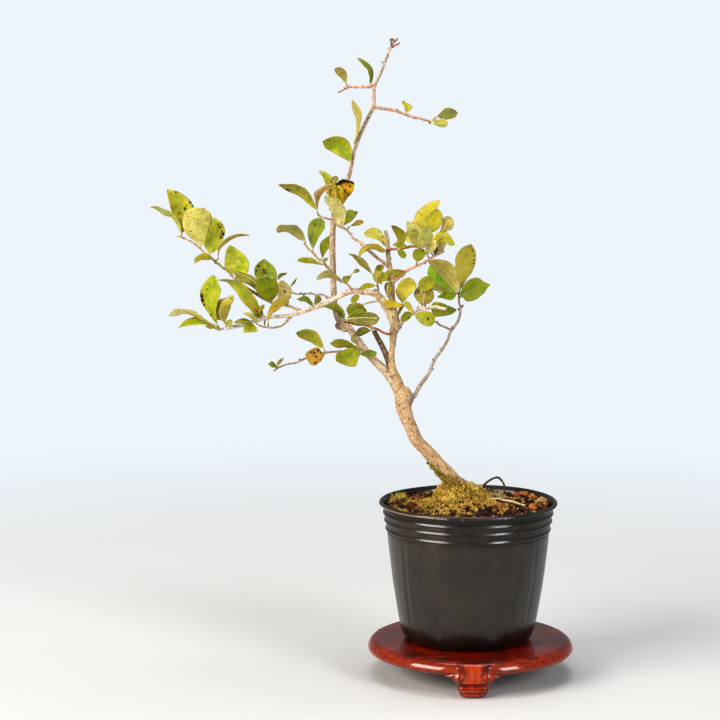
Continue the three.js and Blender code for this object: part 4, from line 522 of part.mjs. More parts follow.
// ---- which leaves share one bud ----
const LEAF_GROUPS = [
  ["leaf_upper_left_tip_pair", ["A1", "A2"]],
  ["leaf_upper_left_broad_pale", ["A3"]],
  ["leaf_upper_left_spur_group", ["A4", "A5", "A6"]],
  ["leaf_upper_left_light", ["A7"]],
  ["leaf_upper_left_inner_group", ["A8", "C1", "A10"]],
  ["leaf_upper_left_dark_group", ["C2", "D", "A11", "E2"]],
  ["leaf_left_hanging_ochre", ["E1"]],
  ["leaf_left_tip_flat_group", ["B1", "B2", "B3"]],
  ["leaf_left_tip_upright_group", ["B4", "B5", "B6"]],
  ["leaf_left_branch_low_pair", ["B7", "B8"]],
  ["leaf_left_branch_long", ["F1"]],
  ["leaf_left_branch_small_pale", ["F2"]],
  ["leaf_left_stub_small", ["F3"]],
  ["leaf_mid_twig_tip_pair", ["H1", "H2"]],
  ["leaf_mid_twig_high_pair", ["H3", "H3b"]],
  ["leaf_leader_spotted_pair", ["H4", "H4b"]],
  ["leaf_mid_twig_pale_group", ["H5", "H6", "H7"]],
  ["leaf_short_twig_end_pair", ["H8", "H9"]],
  ["leaf_short_twig_side_group", ["H10", "H11", "H12"]],
  ["leaf_small_shoot_group", ["K1", "K2", "K3"]],
  ["leaf_behind_leader", ["N1"]],
  ["leaf_left_limb_curled_pair", ["N2", "N3"]],
  ["leaf_top_left_tip", ["P1"]],
  ["leaf_top_left_inner", ["P2"]],
  ["leaf_leader_narrow", ["P3"]],
  ["leaf_top_right_small", ["R2"]],
  ["leaf_top_right_tip_pair", ["R3", "R4"]],
  ["leaf_leader_broad", ["S1"]],
  ["leaf_centre_top_pair", ["Z1", "Z2"]],
  ["leaf_centre_left_pair", ["Z3", "Z4"]],
  ["leaf_centre_spur_group", ["Z5", "Z6", "Z8"]],
  ["leaf_centre_brown", ["Z9"]],
  ["leaf_centre_yellow_group", ["Z10", "Z11", "Z12"]],
  ["leaf_low_right_pair", ["CC1", "CC2"]],
  ["leaf_low_right_upper_group", ["CC4", "CC5", "CC3"]],
  ["leaf_right_green_group", ["DD1", "DD6", "DD2"]],
  ["leaf_right_upright", ["DD3"]],
  ["leaf_right_end_pair", ["DD4", "DD5"]],
  ["leaf_high_right_yellow_group", ["EE1", "EE2", "EE3", "EE4"]],
  ["leaf_high_right_low_group", ["EE6c", "EE11", "EE12", "EE13", "EE10"]],
  ["leaf_high_right_twig_group", ["EE5", "EE6", "EE6b", "EE7", "EE8", "EE9"]],
  ["leaf_lower_left_dark_group", ["O1", "O2", "O3", "O4"]],
  ["leaf_lower_left_limb_group", ["O5", "O6", "O7", "O8"]],
  ["leaf_lower_left_spotted_pair", ["GG1", "GG2"]],
  ["leaf_lower_left_tip_pair", ["GG3", "GG4"]],
];
// ---- moss on the lower side of the trunk, as rows of x, y, z and radius ----
const MOSS_SLEEVE = [[-1.55, 9.12, 93.21, 7.04], [-4.47, 8.5, 97.25, 6.12], [-6.56, 8.04, 100.44, 5.31], [-9.2, 7.45, 104.47, 4.59], [-14.24, 6.46, 110.49, 3.86]];
// x, y, radius along x, radius along y, height
const MOUND = [-5.5, 10.5, 14.5, 12, 6];
const CUSHIONS = { front: [-21.5, -3, 6.2, 6.5, 2.4], left: [-36, 13, 3.8, 5.5, 3.4], right: [16.5, 20, 6, 6.5, 1.9] };
const GRANULE = [40.2, 3.5, 92.2];
const STRAW = [[16.5, 9.5, 0.55], [21, 8, 0.6], [25, 4.5, 0.55], [28, 0.6, 0.45]]; // x, y, radius

const rnd = (x, y) => {
  const s = Math.sin(x * 12.9898 + y * 78.233) * 43758.5453;
  return s - Math.floor(s);
};
const material = (color, roughness = 0.8) => new THREE.MeshStandardMaterial({ color, roughness, metalness: 0 });
const group = new THREE.Group();
group.name = "princess_persimmon_bonsai";
const inner = new THREE.Group();
group.add(inner);
const put = (name, raw, mat) => {
  const solid = tidy(raw);
  const mesh = new THREE.Mesh(geometryOf(solid), mat);
  mesh.name = name;
  inner.add(mesh);
  return mesh;
};
const ringAt = (solid, x, y, z) => solid.translate([x, y, z]);
const lathe = (profile, segments) => {
  const g = new THREE.LatheGeometry(profile.map(([r, z]) => new THREE.Vector2(r, z)), segments);
  g.rotateX(Math.PI / 2); // the profile's height runs along +Z
  return solidOf(g);
};

// ---- tree: one solid of wood, with its roots in the soil ----
const wood = join(Object.values(WOOD).map((rows) => limb(rows)));
const woodGrown = join(Object.values(WOOD).map((rows) => limb(rows, GAP + 0.02)));
put("tree_wood", biggest(wood), material(C.bark, 0.75));

// ---- stand ----
const boardProfile = [];
{
  const z0 = STAND_TOP_Z - STAND_BOARD, R = STAND_RADIUS, r = STAND_BOARD / 2, zc = z0 + r;
  boardProfile.push([0, z0], [R - 7, z0], [R - 3.2, z0 + 0.45]);
  for (let i = -1; i <= 1; i++) {
    const a = i * 1.1;
    boardProfile.push([R - r + r * Math.cos(a) * 1.0, zc + r * Math.sin(a)]);
  }
  boardProfile.push([R - 3.6, STAND_TOP_Z - 0.12], [R - 6, STAND_TOP_Z], [0, STAND_TOP_Z]);
}
put("stand_top", lathe(boardProfile, 40).translate([STAND_CENTRE_X, 0, 0]), material(C.lacquer, 0.25));

// A foot: a curved bracket, wide at the shoulder under the board, waisted, with a rolled toe.
const footTop = STAND_TOP_Z - STAND_BOARD - 0.15;
const foot = (angle) => {
  const rows = [
    // z, half width, inner reach, outer reach (from the ring)
    [0, FOOT_TOE_WIDTH / 2 - 1.6, -4.2, 4.4],
    [1.0, FOOT_TOE_WIDTH / 2, -5.2, 5.9],
    [2.9, FOOT_TOE_WIDTH / 2 + 0.5, -5.6, 6.4],
    [3.9, FOOT_TOE_WIDTH / 2 - 0.3, -5.0, 5.3],
    [5.6, FOOT_TOE_WIDTH / 2 - 0.1, -4.6, 5.2],
    [7.2, FOOT_TOE_WIDTH / 2 + 1.1, -4.6, 5.8],
    [9.0, FOOT_TOE_WIDTH / 2 + 2.9, -5.0, 6.3],
    [10.6, FOOT_SHOULDER_WIDTH / 2 - 0.9, -5.6, 6.6],
    [footTop, FOOT_SHOULDER_WIDTH / 2, -6.0, 6.6],
  ];
  const rings = rows.map(([z, w, a, b]) => {
    const ring = [];
    const n = 10;
    for (let i = 0; i < n; i++) {
      const t = (2 * Math.PI * i) / n + Math.PI / n;
      const c = Math.cos(t), s = Math.sin(t);
      const cx = (a + b) / 2, h = (b - a) / 2;
      const k = 0.55; // rounded rectangle
      const x = Math.sign(s) * Math.pow(Math.abs(s), k) * w;
      const y = cx + Math.sign(c) * Math.pow(Math.abs(c), k) * h;
      ring.push(new THREE.Vector3(x, y, z));
    }
    return ring;
  });
  const a = THREE.MathUtils.degToRad(angle);
  rings.forEach((r) => r.forEach((p) => {
    const rad = FOOT_RING + p.y, tan = p.x;
    p.set(STAND_CENTRE_X + rad * Math.cos(a) - tan * Math.sin(a), rad * Math.sin(a) + tan * Math.cos(a), p.z);
  }));
  return loft(rings);
};
for (const [name, angle] of Object.entries(FOOT_ANGLES)) put(name, foot(angle), material(C.lacquer, 0.25));

// ---- pot: thin moulded wall with a rolled rim, three bands under it, and holes in its floor ----
const B = POT_BASE_Z, W = POT_WALL;
const potOuter = [
  [32.2, B], [34.0, B + 1.0], [35.2, B + 4.2], [37.8, 33.9], [40.35, 50.4], [42.1, 65.7],
  [43.1, 78.0], [44.1, 79.6], [43.75, 82.9], [44.7, 84.2], [44.35, 87.0], [45.3, 88.4], [45.0, 91.1],
  [46.6, 91.2], [POT_RIM_RADIUS, 91.9], [POT_RIM_RADIUS, POT_RIM_Z + 0.3], [46.7, POT_RIM_Z + 1.2], [45.0, POT_RIM_Z + 1.5],
];
const potInner = [
  [44.3, POT_RIM_Z + 1.0], [44.1, 90.0], [42.2, 77.6], [39.4, 50.0], [36.6, 33.6], [33.9, B + 4.2], [31.6, B + 2.2], [0, B + 2.2],
];
let pot = lathe([[0, B + 0.9], [29.5, B + 0.9], [30.2, B], ...potOuter, ...potInner], POT_SEGMENTS);
const hole = (r, x, y) => {
  const g = new THREE.CylinderGeometry(r, r, 8, 8);
  g.rotateX(Math.PI / 2);
  g.translate(x, y, B + 1.5);
  return solidOf(g);
};
pot = pot.subtract(hole(DRAIN_HOLE_RADIUS + 1.2, 0, 0));
for (let i = 0; i < 6; i++) {
  const a = (i * Math.PI) / 3;
  pot = pot.subtract(hole(DRAIN_HOLE_RADIUS, DRAIN_RING * Math.cos(a), DRAIN_RING * Math.sin(a)));
}
put("nursery_pot", pot.translate([POT_AXIS_X, 0, 0]), material(C.pot, 0.5));

// ---- soil: fills the pot and rises towards the trunk ----
const soilZ = (x, y) => SOIL_EDGE_Z + SOIL_CROWN * Math.exp(-((x + 3) ** 2 + (y - 9) ** 2) / 420) + 0.55 * Math.sin(x * 0.42 + 1.3) * Math.sin(y * 0.37 + 0.4);
const soilSolid = (lift, inset) => {
  const g = GAP + inset;
  const side = [[31.3, B + 2.2], [33.9, B + 4.2], [36.6, 33.6], [39.4, 50.0], [42.2, 77.6], [44.0, SOIL_EDGE_Z]].map(([r, z]) => [r - g, z + (z < B + 3 ? GAP + inset : 0)]);
  const top = [35, 26, 17, 8.5].map((r) => [r, SOIL_EDGE_Z]);
  const prof = [[0, B + 2.2 + GAP + inset], ...side, ...top, [0, SOIL_EDGE_Z]];
  const geo = new THREE.LatheGeometry(prof.map(([r, z]) => new THREE.Vector2(r, z)), SOIL_SEGMENTS);
  geo.rotateX(Math.PI / 2);
  const p = geo.attributes.position;
  for (let i = 0; i < p.count; i++)
    if (p.getZ(i) > SOIL_EDGE_Z - 0.01) p.setZ(i, soilZ(p.getX(i), p.getY(i)) + lift);
  geo.translate(POT_AXIS_X, 0, 0);
  return solidOf(geo);
};
put("soil", biggest(soilSolid(0, 0).subtract(woodGrown)), material(C.soil, 0.95));
const soilLifted = soilSolid(GAP, 0);

// ---- moss: a mound round the trunk's foot that climbs its lower side, and three small cushions ----
const cushion = (cx, cy, rx, ry, h, seed, n = 14) => {
  const rings = [];
  for (const [f, z] of [[1.0, -3], [1.02, 0], [0.9, 0.42], [0.66, 0.78], [0.36, 0.95], [0.05, 1.0]]) {
    const ring = [];
    for (let i = 0; i < n; i++) {
      const a = (2 * Math.PI * i) / n;
      const w = 1 + 0.1 * (rnd(i + seed, seed) - 0.5) * 2;
      const x = cx + rx * f * w * Math.cos(a), y = cy + ry * f * w * Math.sin(a);
      ring.push(new THREE.Vector3(x, y, z < 0 ? SOIL_EDGE_Z - 2 : soilZ(x, y) + h * z));
    }
    rings.push(ring);
  }
  return loft(rings);
};
const mossSleeve = limb(MOSS_SLEEVE);
const mound = cushion(MOUND[0], MOUND[1], MOUND[2], MOUND[3], MOUND[4], 3, 18);
const mossMain = biggest(mound.add(mossSleeve).subtract(soilLifted).subtract(woodGrown));
put("moss_mound", mossMain, material(C.mossGold, 0.95));
let taken = [];
for (const [name, c, seed] of [["moss_cushion_front", CUSHIONS.front, 7], ["moss_cushion_left", CUSHIONS.left, 11], ["moss_cushion_right", CUSHIONS.right, 17]]) {
  const s = biggest(cushion(...c, seed).subtract(soilLifted).subtract(woodGrown).subtract(cushion(MOUND[0], MOUND[1], MOUND[2] + GAP, MOUND[3] + GAP, MOUND[4] + GAP, 3, 18)));
  put(name, s, material(C.moss, 0.95));
}
// One large loose granule beside the wall, and a dry rootlet lying on the soil.
{
  const g = new THREE.IcosahedronGeometry(2.5, 1);
  const p = g.attributes.position;
  for (let i = 0; i < p.count; i++) {
    const k = 1 + 0.16 * (rnd(Math.round(p.getX(i) * 9), Math.round(p.getY(i) * 9 + p.getZ(i) * 5)) - 0.5);
    p.setXYZ(i, p.getX(i) * k * 1.1, p.getY(i) * k, p.getZ(i) * k * 0.8);
  }
  g.translate(GRANULE[0], GRANULE[1], GRANULE[2]);
  put("soil_granule_large", biggest(solidOf(g).subtract(soilLifted)), material(C.granule, 0.95));
}
put("dry_rootlet", biggest(limb(STRAW.map(([x, y, r]) => [x, y, soilZ(x, y) + GAP + r + 0.35, r])).subtract(soilLifted)), material(C.straw, 0.8));

// ---- leaves ----
const byName = Object.fromEntries(LEAVES.map((l) => [l.n, l]));
const done = [];
for (const [name, members] of LEAF_GROUPS) {
  const ds = members.map((m) => byName[m]);
  let starts, extra = [];
  if (ds.length > 1) {
    const mean = new THREE.Vector3();
    ds.forEach((d) => mean.add(new THREE.Vector3(...d.a)));
    mean.divideScalar(ds.length);
    const dir = new THREE.Vector3();
    ds.forEach((d) => dir.add(new THREE.Vector3(d.st[3][0], d.st[3][1], d.st[3][2]).sub(mean).normalize()));
    const t = new THREE.Vector3(...ds[0].t);
    dir.addScaledVector(t, -0.7 * dir.dot(t));
    dir.normalize();
    const bud = mean.clone().addScaledVector(dir, ds[0].rb + BUD_RADIUS + 0.35);
    const g = new THREE.OctahedronGeometry(BUD_RADIUS * 1.1, 0);
    g.translate(bud.x, bud.y, bud.z);
    extra.push(solidOf(g));
    starts = ds.map(() => bud);
  } else starts = ds.map((d) => new THREE.Vector3(...d.a));
  const solids = ds.map((d, i) => leaf(d, starts[i]));
  const grown = ds.map((d, i) => leaf(d, starts[i], GAP + 0.03));
  let s = join([...solids, ...extra]);
  const before = s.volume();
  s = s.subtract(woodGrown);
  const mid = s.volume();
  const box = s.boundingBox();
  for (const o of done) {
    const b = o.box;
    if (b.min[0] > box.max[0] || b.max[0] < box.min[0] || b.min[1] > box.max[1] || b.max[1] < box.min[1] || b.min[2] > box.max[2] || b.max[2] < box.min[2]) continue;
    s = s.subtract(o.s);
  }
  const kept = biggest(s);
  group.userData[name] = [before, mid, s.volume(), kept.volume(), ...s.decompose().map((q) => q.volume()).filter((v) => v > 0.5)].map((v) => Math.round(v * 10) / 10);
  const mesh = put(name, kept, material(ds[0].f > 0 ? C.u : C.l, 0.6));
  grown.forEach((g) => done.push({ s: g, box: g.boundingBox() }));
  extra.forEach((g) => done.push({ s: g, box: g.boundingBox() }));
}

// ---- origin at the bottom centre of the whole object's box ----
const box = new THREE.Box3().setFromObject(group);
inner.position.set(-(box.min.x + box.max.x) / 2, -(box.min.y + box.max.y) / 2, -box.min.z);
group.updateMatrixWorld(true);

export default group;
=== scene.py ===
"""Princess persimmon bonsai in a thin nursery pot on a round lacquered stand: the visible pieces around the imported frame.

Tables are in millimetres about the pot's axis; metres() turns them into the frame's metres.
"""
import math

import bmesh
import bpy
import numpy as np
from mathutils import Matrix, Vector, kdtree


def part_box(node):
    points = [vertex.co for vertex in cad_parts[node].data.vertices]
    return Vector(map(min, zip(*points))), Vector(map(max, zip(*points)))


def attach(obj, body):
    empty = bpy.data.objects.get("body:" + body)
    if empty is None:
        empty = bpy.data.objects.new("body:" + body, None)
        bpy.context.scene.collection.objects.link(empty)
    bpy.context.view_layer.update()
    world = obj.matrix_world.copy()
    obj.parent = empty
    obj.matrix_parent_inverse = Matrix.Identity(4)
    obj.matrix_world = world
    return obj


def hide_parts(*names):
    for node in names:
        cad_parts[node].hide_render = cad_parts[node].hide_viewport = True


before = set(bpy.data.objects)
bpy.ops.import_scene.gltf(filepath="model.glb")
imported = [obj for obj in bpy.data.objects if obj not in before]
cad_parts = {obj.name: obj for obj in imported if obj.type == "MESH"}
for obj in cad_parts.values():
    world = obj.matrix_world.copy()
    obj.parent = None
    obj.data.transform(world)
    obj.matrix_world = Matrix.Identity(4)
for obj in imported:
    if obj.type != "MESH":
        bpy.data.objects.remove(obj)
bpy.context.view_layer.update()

# stems: x, y, z, radius
BR = {
    "trunk": ((1.924, 10, 89.908, 5.953), (-0.826, 9.373, 93.865, 5.644), (-3.841, 8.724, 97.819, 4.916), (-6.033, 8.228, 100.918, 4.41), (-8.768, 7.601, 104.855, 4.045), (-13.939, 6.569, 110.762, 3.742), (-17.198, 5.897, 114.688, 3.61), (-22.612, 4.85, 120.841, 3.483), (-27.196, 4.128, 125.839, 3.483), (-29.473, 3.496, 131.353, 3.521), (-32.011, 2.851, 136.855, 3.66), (-33.851, 2.236, 142.342, 4.049), (-34.188, 1.826, 146.172, 4.536), (-34.259, 1.418, 149.996, 4.974), (-35.074, 1, 153.815, 3.722)),
    "T1": ((-35.324, 1.393, 149.999, 2.927), (-38.259, 1.472, 155.36, 2.513), (-40.391, 1.522, 158.573, 2.362), (-44.118, 1.6, 163.388, 2.273), (-47.84, 1.668, 167.129, 2.196), (-52.091, 1.746, 171.402, 2.112), (-55.277, 1.844, 175.134, 2.062), (-57.931, 2.107, 178.844, 2.015), (-60.583, 2.369, 182.553, 1.968), (-63.235, 2.632, 186.26, 1.922), (-65.886, 2.847, 188.904, 1.884), (-67.476, 3, 191.021, 1.856)),
    "L": ((-64.827, 2.653, 185.19, 1.857), (-67.48, 3.289, 189.389, 1.806), (-69.603, 3.774, 192.538, 1.767), (-70.93, 4.534, 198.325, 1.712), (-71.195, 5.074, 202.535, 1.684), (-71.458, 5.709, 208.867, 1.64), (-71.709, 5.492, 216.866, 1.594), (-71.958, 5.275, 224.849, 1.614), (-71.943, 5.058, 232.815, 1.635), (-71.662, 4.745, 240.771, 1.563), (-70.586, 3.652, 246.119, 1.484), (-67.398, 1.92, 254.116, 1.315), (-64.747, 0.021, 263.132, 1.114), (-63.167, -0.645, 266.826, 1.075), (-61.587, -1.785, 273.663, 1.017), (-60.536, -2.741, 279.429, 0.973), (-58.966, -3.569, 284.136, 0.988), (-56.878, -3.491, 289.328, 1.007), (-54.791, -2.632, 293.98, 1.024), (-52.703, -1.851, 298.117, 1.04), (-51.136, -1.266, 301.22, 1.044), (-50.352, -0.973, 302.773, 1.016), (-50.09, -0.187, 307.431, 0.939), (-50.087, 0.767, 311.573, 0.871), (-49.563, 1.435, 314.162, 0.827), (-47.991, 2.313, 317.271, 0.782), (-46.418, 3.25, 320.643, 0.758), (-44.318, 4.721, 326.095, 0.72), (-43.003, 5.694, 329.733, 0.695), (-42.214, 6.253, 331.814, 0.661), (-40.637, 7.016, 334.417, 0.58), (-39.584, 7.602, 336.501, 0.519), (-39.319, 8, 338.064, 0.477)),
    "L2": ((-40.637, 7.016, 334.417, 0.582), (-41.165, 7.001, 336.491, 0.491), (-41.429, 7, 338.046, 0.423)),
    "L3": ((-40.638, 6.904, 333.897, 0.529), (-38.56, 5.936, 334.92, 0.473), (-36.748, 5, 335.941, 0.423)),
    "P": ((-49.563, 1.435, 314.162, 0.843), (-51.645, 2.892, 313.638, 0.787), (-53.21, 4.01, 313.115, 0.745), (-56.351, 6.131, 313.106, 0.663), (-59.503, 8.251, 313.098, 0.596), (-62.665, 10.224, 313.09, 0.535), (-64.78, 11.445, 312.301, 0.491), (-67.43, 13.042, 310.984, 0.434), (-69.025, 14, 310.191, 0.399)),
    "R": ((-50.352, -0.973, 302.773, 0.841), (-46.971, -2.358, 302.272, 0.811), (-43.338, -3.848, 301.775, 0.78), (-39.713, -5.355, 301.02, 0.747), (-36.614, -6.687, 300.007, 0.719), (-33.521, -8.02, 298.995, 0.685), (-29.927, -9.84, 297.737, 0.639), (-26.347, -11.738, 296.998, 0.595), (-22.779, -13.668, 296.006, 0.55), (-20.237, -15, 295.774, 0.519)),
    "S": ((-35.058, 1.399, 149.998, 3.193), (-36.679, 0.632, 155.477, 2.692), (-38.027, 0.016, 159.851, 2.324), (-39.902, -0.626, 164.219, 2.04), (-40.713, -1.148, 168.564, 1.763), (-40.724, -1.412, 172.334, 1.664), (-40.207, -1.716, 176.638, 1.601), (-39.953, -1.981, 180.399, 1.821), (-39.7, -2.246, 184.155, 2.259), (-38.656, -2.521, 187.907, 2.666), (-39.456, -2.491, 192.152, 2.65), (-39.99, -2.051, 199.001, 1.702), (-40.521, -1.812, 202.687, 1.667), (-40.523, -1.435, 206.888, 1.628), (-40.789, -1.053, 211.088, 1.589), (-41.054, -0.648, 214.755, 1.506), (-41.582, -0.226, 218.42, 1.413), (-42.373, 0.259, 222.608, 1.31), (-42.638, 0.737, 226.797, 1.233), (-42.902, 1.155, 230.461, 1.165), (-43.166, 1.573, 234.125, 1.101), (-43.957, 2, 237.788, 1.056)),
    "T2": ((-39.359, -0.193, 160.95, 1.857), (-41.446, 3.078, 165.874, 1.745), (-43.013, 5.959, 170.333, 1.646), (-44.592, 8.272, 173.806, 1.567), (-46.709, 10.698, 177.815, 1.472), (-48.835, 12.822, 181.334, 1.387), (-49.9, 14, 183.354, 1.339)),
    "T4": ((-65.356, 2.783, 187.844, 1.326), (-62.712, 4.187, 185.549, 1.328), (-60.591, 5.428, 183.267, 1.33), (-57.932, 5.517, 178.972, 1.33), (-56.868, 5, 176.89, 1.33)),
    "KN": ((-66.95, 2.967, 186.756, 1.592), (-68.801, 2.435, 187.35, 1.715), (-69.855, 2, 188.465, 1.06)),
    "Q": ((-37.859, -2.428, 186.302, 2.377), (-39.994, -3.318, 191.181, 2.255), (-42.122, -4.126, 195.509, 2.145), (-44.241, -4.778, 198.753, 2.032), (-45.829, -5.243, 201.972, 1.909), (-47.938, -5.631, 204.124, 1.806), (-48.994, -6, 206.799, 1.708)),
    "Q2": ((-47.94, -5.758, 205.192, 0.789), (-47.947, -6.406, 206.838, 0.703), (-47.956, -7.259, 209.027, 0.589), (-48.489, -8, 211.202, 0.472)),
    "Q3": ((-44.773, -5.057, 200.897, 0.632), (-47.424, -7.305, 201.652, 0.575), (-51.116, -10.423, 201.441, 0.496), (-54.264, -12.764, 200.89, 0.428), (-55.834, -14, 200.23, 0.392)),
    "M": ((-45.302, -5.212, 201.969, 1.579), (-47.938, -5.652, 204.39, 1.578), (-52.147, -6.211, 206.028, 1.577), (-56.35, -6.739, 206.606, 1.576), (-59.5, -6.737, 206.87, 1.541), (-62.652, -6.435, 206.577, 1.481), (-65.28, -6.164, 205.496, 1.427), (-67.911, -5.883, 204.149, 1.37), (-71.068, -5.752, 202.552, 1.31), (-74.213, -6.579, 201.051, 1.284), (-77.355, -7.38, 199.813, 1.259), (-80.493, -8.182, 198.577, 1.233), (-83.627, -8.961, 197.603, 1.209), (-86.758, -9.741, 196.631, 1.184), (-90.406, -10.657, 195.411, 1.147), (-94.049, -11.554, 194.454, 1.11), (-99.243, -12.744, 194.056, 1.058), (-104.427, -13.903, 193.918, 1.046), (-108.571, -14.856, 192.971, 1.046), (-113.743, -16.064, 191.529, 1.049), (-118.39, -17.161, 190.077, 1.12), (-124.056, -18.455, 189.174, 1.105), (-129.197, -19.634, 188.26, 0.736), (-130.739, -20, 187.778, 0.521)),
    "M2": ((-107.793, -14.66, 193.475, 0.836), (-108.613, -13.58, 195.46, 0.756), (-108.889, -13, 197.5, 0.68)),
    "T3": ((-93.531, -11.487, 193.657, 0.576), (-95.071, -12.604, 192.199, 0.56), (-96.607, -13.818, 190.492, 0.542), (-98.659, -15.061, 189.317, 0.523), (-101.734, -16.69, 188.712, 0.499), (-105.309, -18.491, 188.916, 0.472), (-108.364, -19.967, 189.607, 0.448), (-110.388, -21.052, 190.774, 0.431), (-111.893, -22, 192.185, 0.416)),
    "G": ((-71.068, -5.78, 202.29, 0.631), (-74.246, -4.034, 203.438, 0.579), (-77.432, -2.289, 204.588, 0.527), (-80.627, -0.677, 204.431, 0.513), (-83.83, 0.956, 204.801, 0.497), (-88.118, 3.169, 204.32, 0.477), (-90.806, 4.554, 204.184, 0.465), (-93.499, 6, 204.843, 0.452)),
    "U": ((-85.194, -9.39, 196.594, 0.682), (-87.295, -9.198, 196.837, 0.691), (-90.974, -8.856, 197.592, 0.708), (-94.126, -8.545, 198.878, 0.723), (-97.281, -8.25, 199.639, 0.737), (-100.436, -7.955, 200.399, 0.752), (-103.594, -7.664, 200.897, 0.766), (-108.857, -7.03, 203.471, 0.787), (-115.22, -5.299, 207.259, 0.772), (-118.938, -4.312, 209.277, 0.763), (-122.128, -3.357, 211.828, 0.755), (-124.258, -2.665, 213.878, 0.749), (-126.924, -1.71, 216.963, 0.741), (-130.129, -0.721, 218.991, 0.706), (-133.341, 0.371, 221.542, 0.663), (-136.558, 1.509, 224.357, 0.618), (-139.777, 2.558, 226.654, 0.576), (-143.002, 3.696, 229.476, 0.531), (-146.23, 4.745, 231.779, 0.489), (-149.461, 5.683, 233.299, 0.452), (-152.156, 6.436, 234.304, 0.422), (-154.318, 7, 234.529, 0.399)),
    "H": ((-41.582, -0.285, 217.896, 0.897), (-43.178, -1.265, 219.83, 0.875), (-45.3, -2.396, 221.772, 0.85), (-47.943, -3.693, 223.723, 0.821), (-50.58, -5.124, 226.205, 0.789), (-53.207, -6.076, 228.382, 0.759), (-55.304, -5.841, 230.463, 0.733), (-56.876, -5.65, 232.286, 0.712), (-58.972, -5.464, 233.321, 0.691), (-61.068, -5.269, 234.619, 0.673), (-62.64, -5.061, 236.702, 0.656), (-64.207, -5.767, 238.848, 0.638), (-66.813, -6.985, 240.24, 0.618), (-68.894, -7.959, 241.351, 0.603), (-70.448, -8.963, 243.245, 0.586), (-72.52, -9.991, 244.615, 0.57), (-74.591, -10.889, 245.193, 0.555), (-77.174, -12.026, 246.045, 0.537), (-79.234, -13, 247.146, 0.521)),
    "I": ((-71.977, 5.535, 215.268, 0.743), (-74.374, 6.736, 217.822, 0.701), (-75.976, 7.628, 219.875, 0.669), (-77.044, 8.199, 221.157, 0.649), (-78.646, 8.798, 221.906, 0.628), (-80.25, 9.495, 223.181, 0.603), (-81.858, 10.427, 224.97, 0.574), (-83.472, 11.444, 226.489, 0.548), (-85.626, 12.801, 228.517, 0.512), (-87.248, 14, 230.561, 0.481)),
    "K": ((-59.5, -6.737, 206.342, 0.63), (-61.597, -7.515, 207.471, 0.586), (-62.642, -8.143, 209.111, 0.55), (-64.208, -9.094, 210.778, 0.507), (-65.772, -10, 211.913, 0.471)),
    "V": ((-39.433, -2.172, 183.082, 0.687), (-42.095, -3.614, 183.781, 0.663), (-44.751, -5.055, 184.479, 0.64), (-47.402, -6.704, 186.259, 0.613), (-50.044, -8.226, 187.491, 0.588), (-52.677, -9.702, 188.45, 0.564), (-55.828, -11.399, 189.432, 0.536), (-58.447, -12.527, 189.558, 0.513), (-62.625, -14.386, 190.818, 0.476), (-66.269, -16, 191.784, 0.444)),
    "BB": ((-37.862, -2.5, 187.373, 1.056), (-36.305, -3.82, 188.583, 1.021), (-34.253, -6.31, 191.773, 0.955), (-31.678, -8.544, 193.866, 0.896), (-29.627, -10.374, 195.644, 0.898), (-27.072, -12.609, 197.722, 0.904), (-24.002, -14.831, 198.479, 0.91), (-20.935, -16.787, 199.207, 0.917), (-17.878, -18.722, 199.67, 0.923), (-15.336, -20.361, 199.318, 0.929), (-12.802, -22, 198.967, 0.934)),
    "W": ((-31.854, 1.655, 147.811, 1.331), (-28.638, 2.859, 149.787, 1.207), (-27.023, 3.833, 152.338, 1.115), (-24.867, 5.18, 155.917, 1.063), (-22.712, 6.25, 158.462, 1.022), (-20.552, 7.455, 161.531, 0.976), (-18.926, 8.654, 165.144, 0.927), (-17.841, 9.481, 167.731, 0.893), (-16.218, 10.376, 170.312, 0.871), (-14.054, 11.359, 172.885, 0.853), (-11.887, 12.466, 175.985, 0.832), (-10.255, 13.496, 179.098, 0.813), (-9.148, 14.779, 182.186, 0.796), (-8.053, 15.511, 183.721, 0.786), (-6.423, 16.28, 185.793, 0.769), (-4.8, 16.912, 188.422, 0.749), (-3.714, 17.596, 191.587, 0.726), (-3.432, 18.356, 195.285, 0.7), (-4.226, 19.026, 198.455, 0.678), (-4.217, 19.567, 201.099, 0.66), (-4.21, 20, 203.214, 0.646)),
    "W2": ((-8.594, 15.398, 183.734, 0.617), (-11.416, 12.02, 185.465, 0.569), (-14.215, 8.765, 186.906, 0.523), (-16.449, 6.055, 188.548, 0.482), (-18.118, 4, 189.844, 0.452)),
    "X": ((-41.052, -1.099, 210.563, 1.055), (-39.459, -0.237, 211.542, 0.995), (-37.331, 0.959, 213.022, 0.91), (-35.198, 2.311, 215.022, 0.815), (-33.063, 3.507, 216.508, 0.738), (-30.39, 4.844, 217.719, 0.708), (-27.712, 6.18, 218.933, 0.678), (-25.567, 7.202, 219.645, 0.655), (-22.882, 8.447, 220.871, 0.625), (-20.194, 9.669, 222.368, 0.593), (-17.502, 10.891, 223.867, 0.562), (-15.345, 11.828, 224.859, 0.538), (-12.645, 13, 226.101, 0.507)),
    "Y": ((-42.901, 0.917, 228.367, 0.739), (-41.596, 0.017, 228.436, 0.724), (-38.47, -2.144, 228.603, 0.69), (-35.357, -4.312, 229.033, 0.655), (-32.774, -6.148, 229.699, 0.625), (-30.197, -7.895, 230.357, 0.596), (-27.622, -9.5, 230.217, 0.567), (-25.569, -10.929, 229.281, 0.541), (-24.031, -12, 228.58, 0.522)),
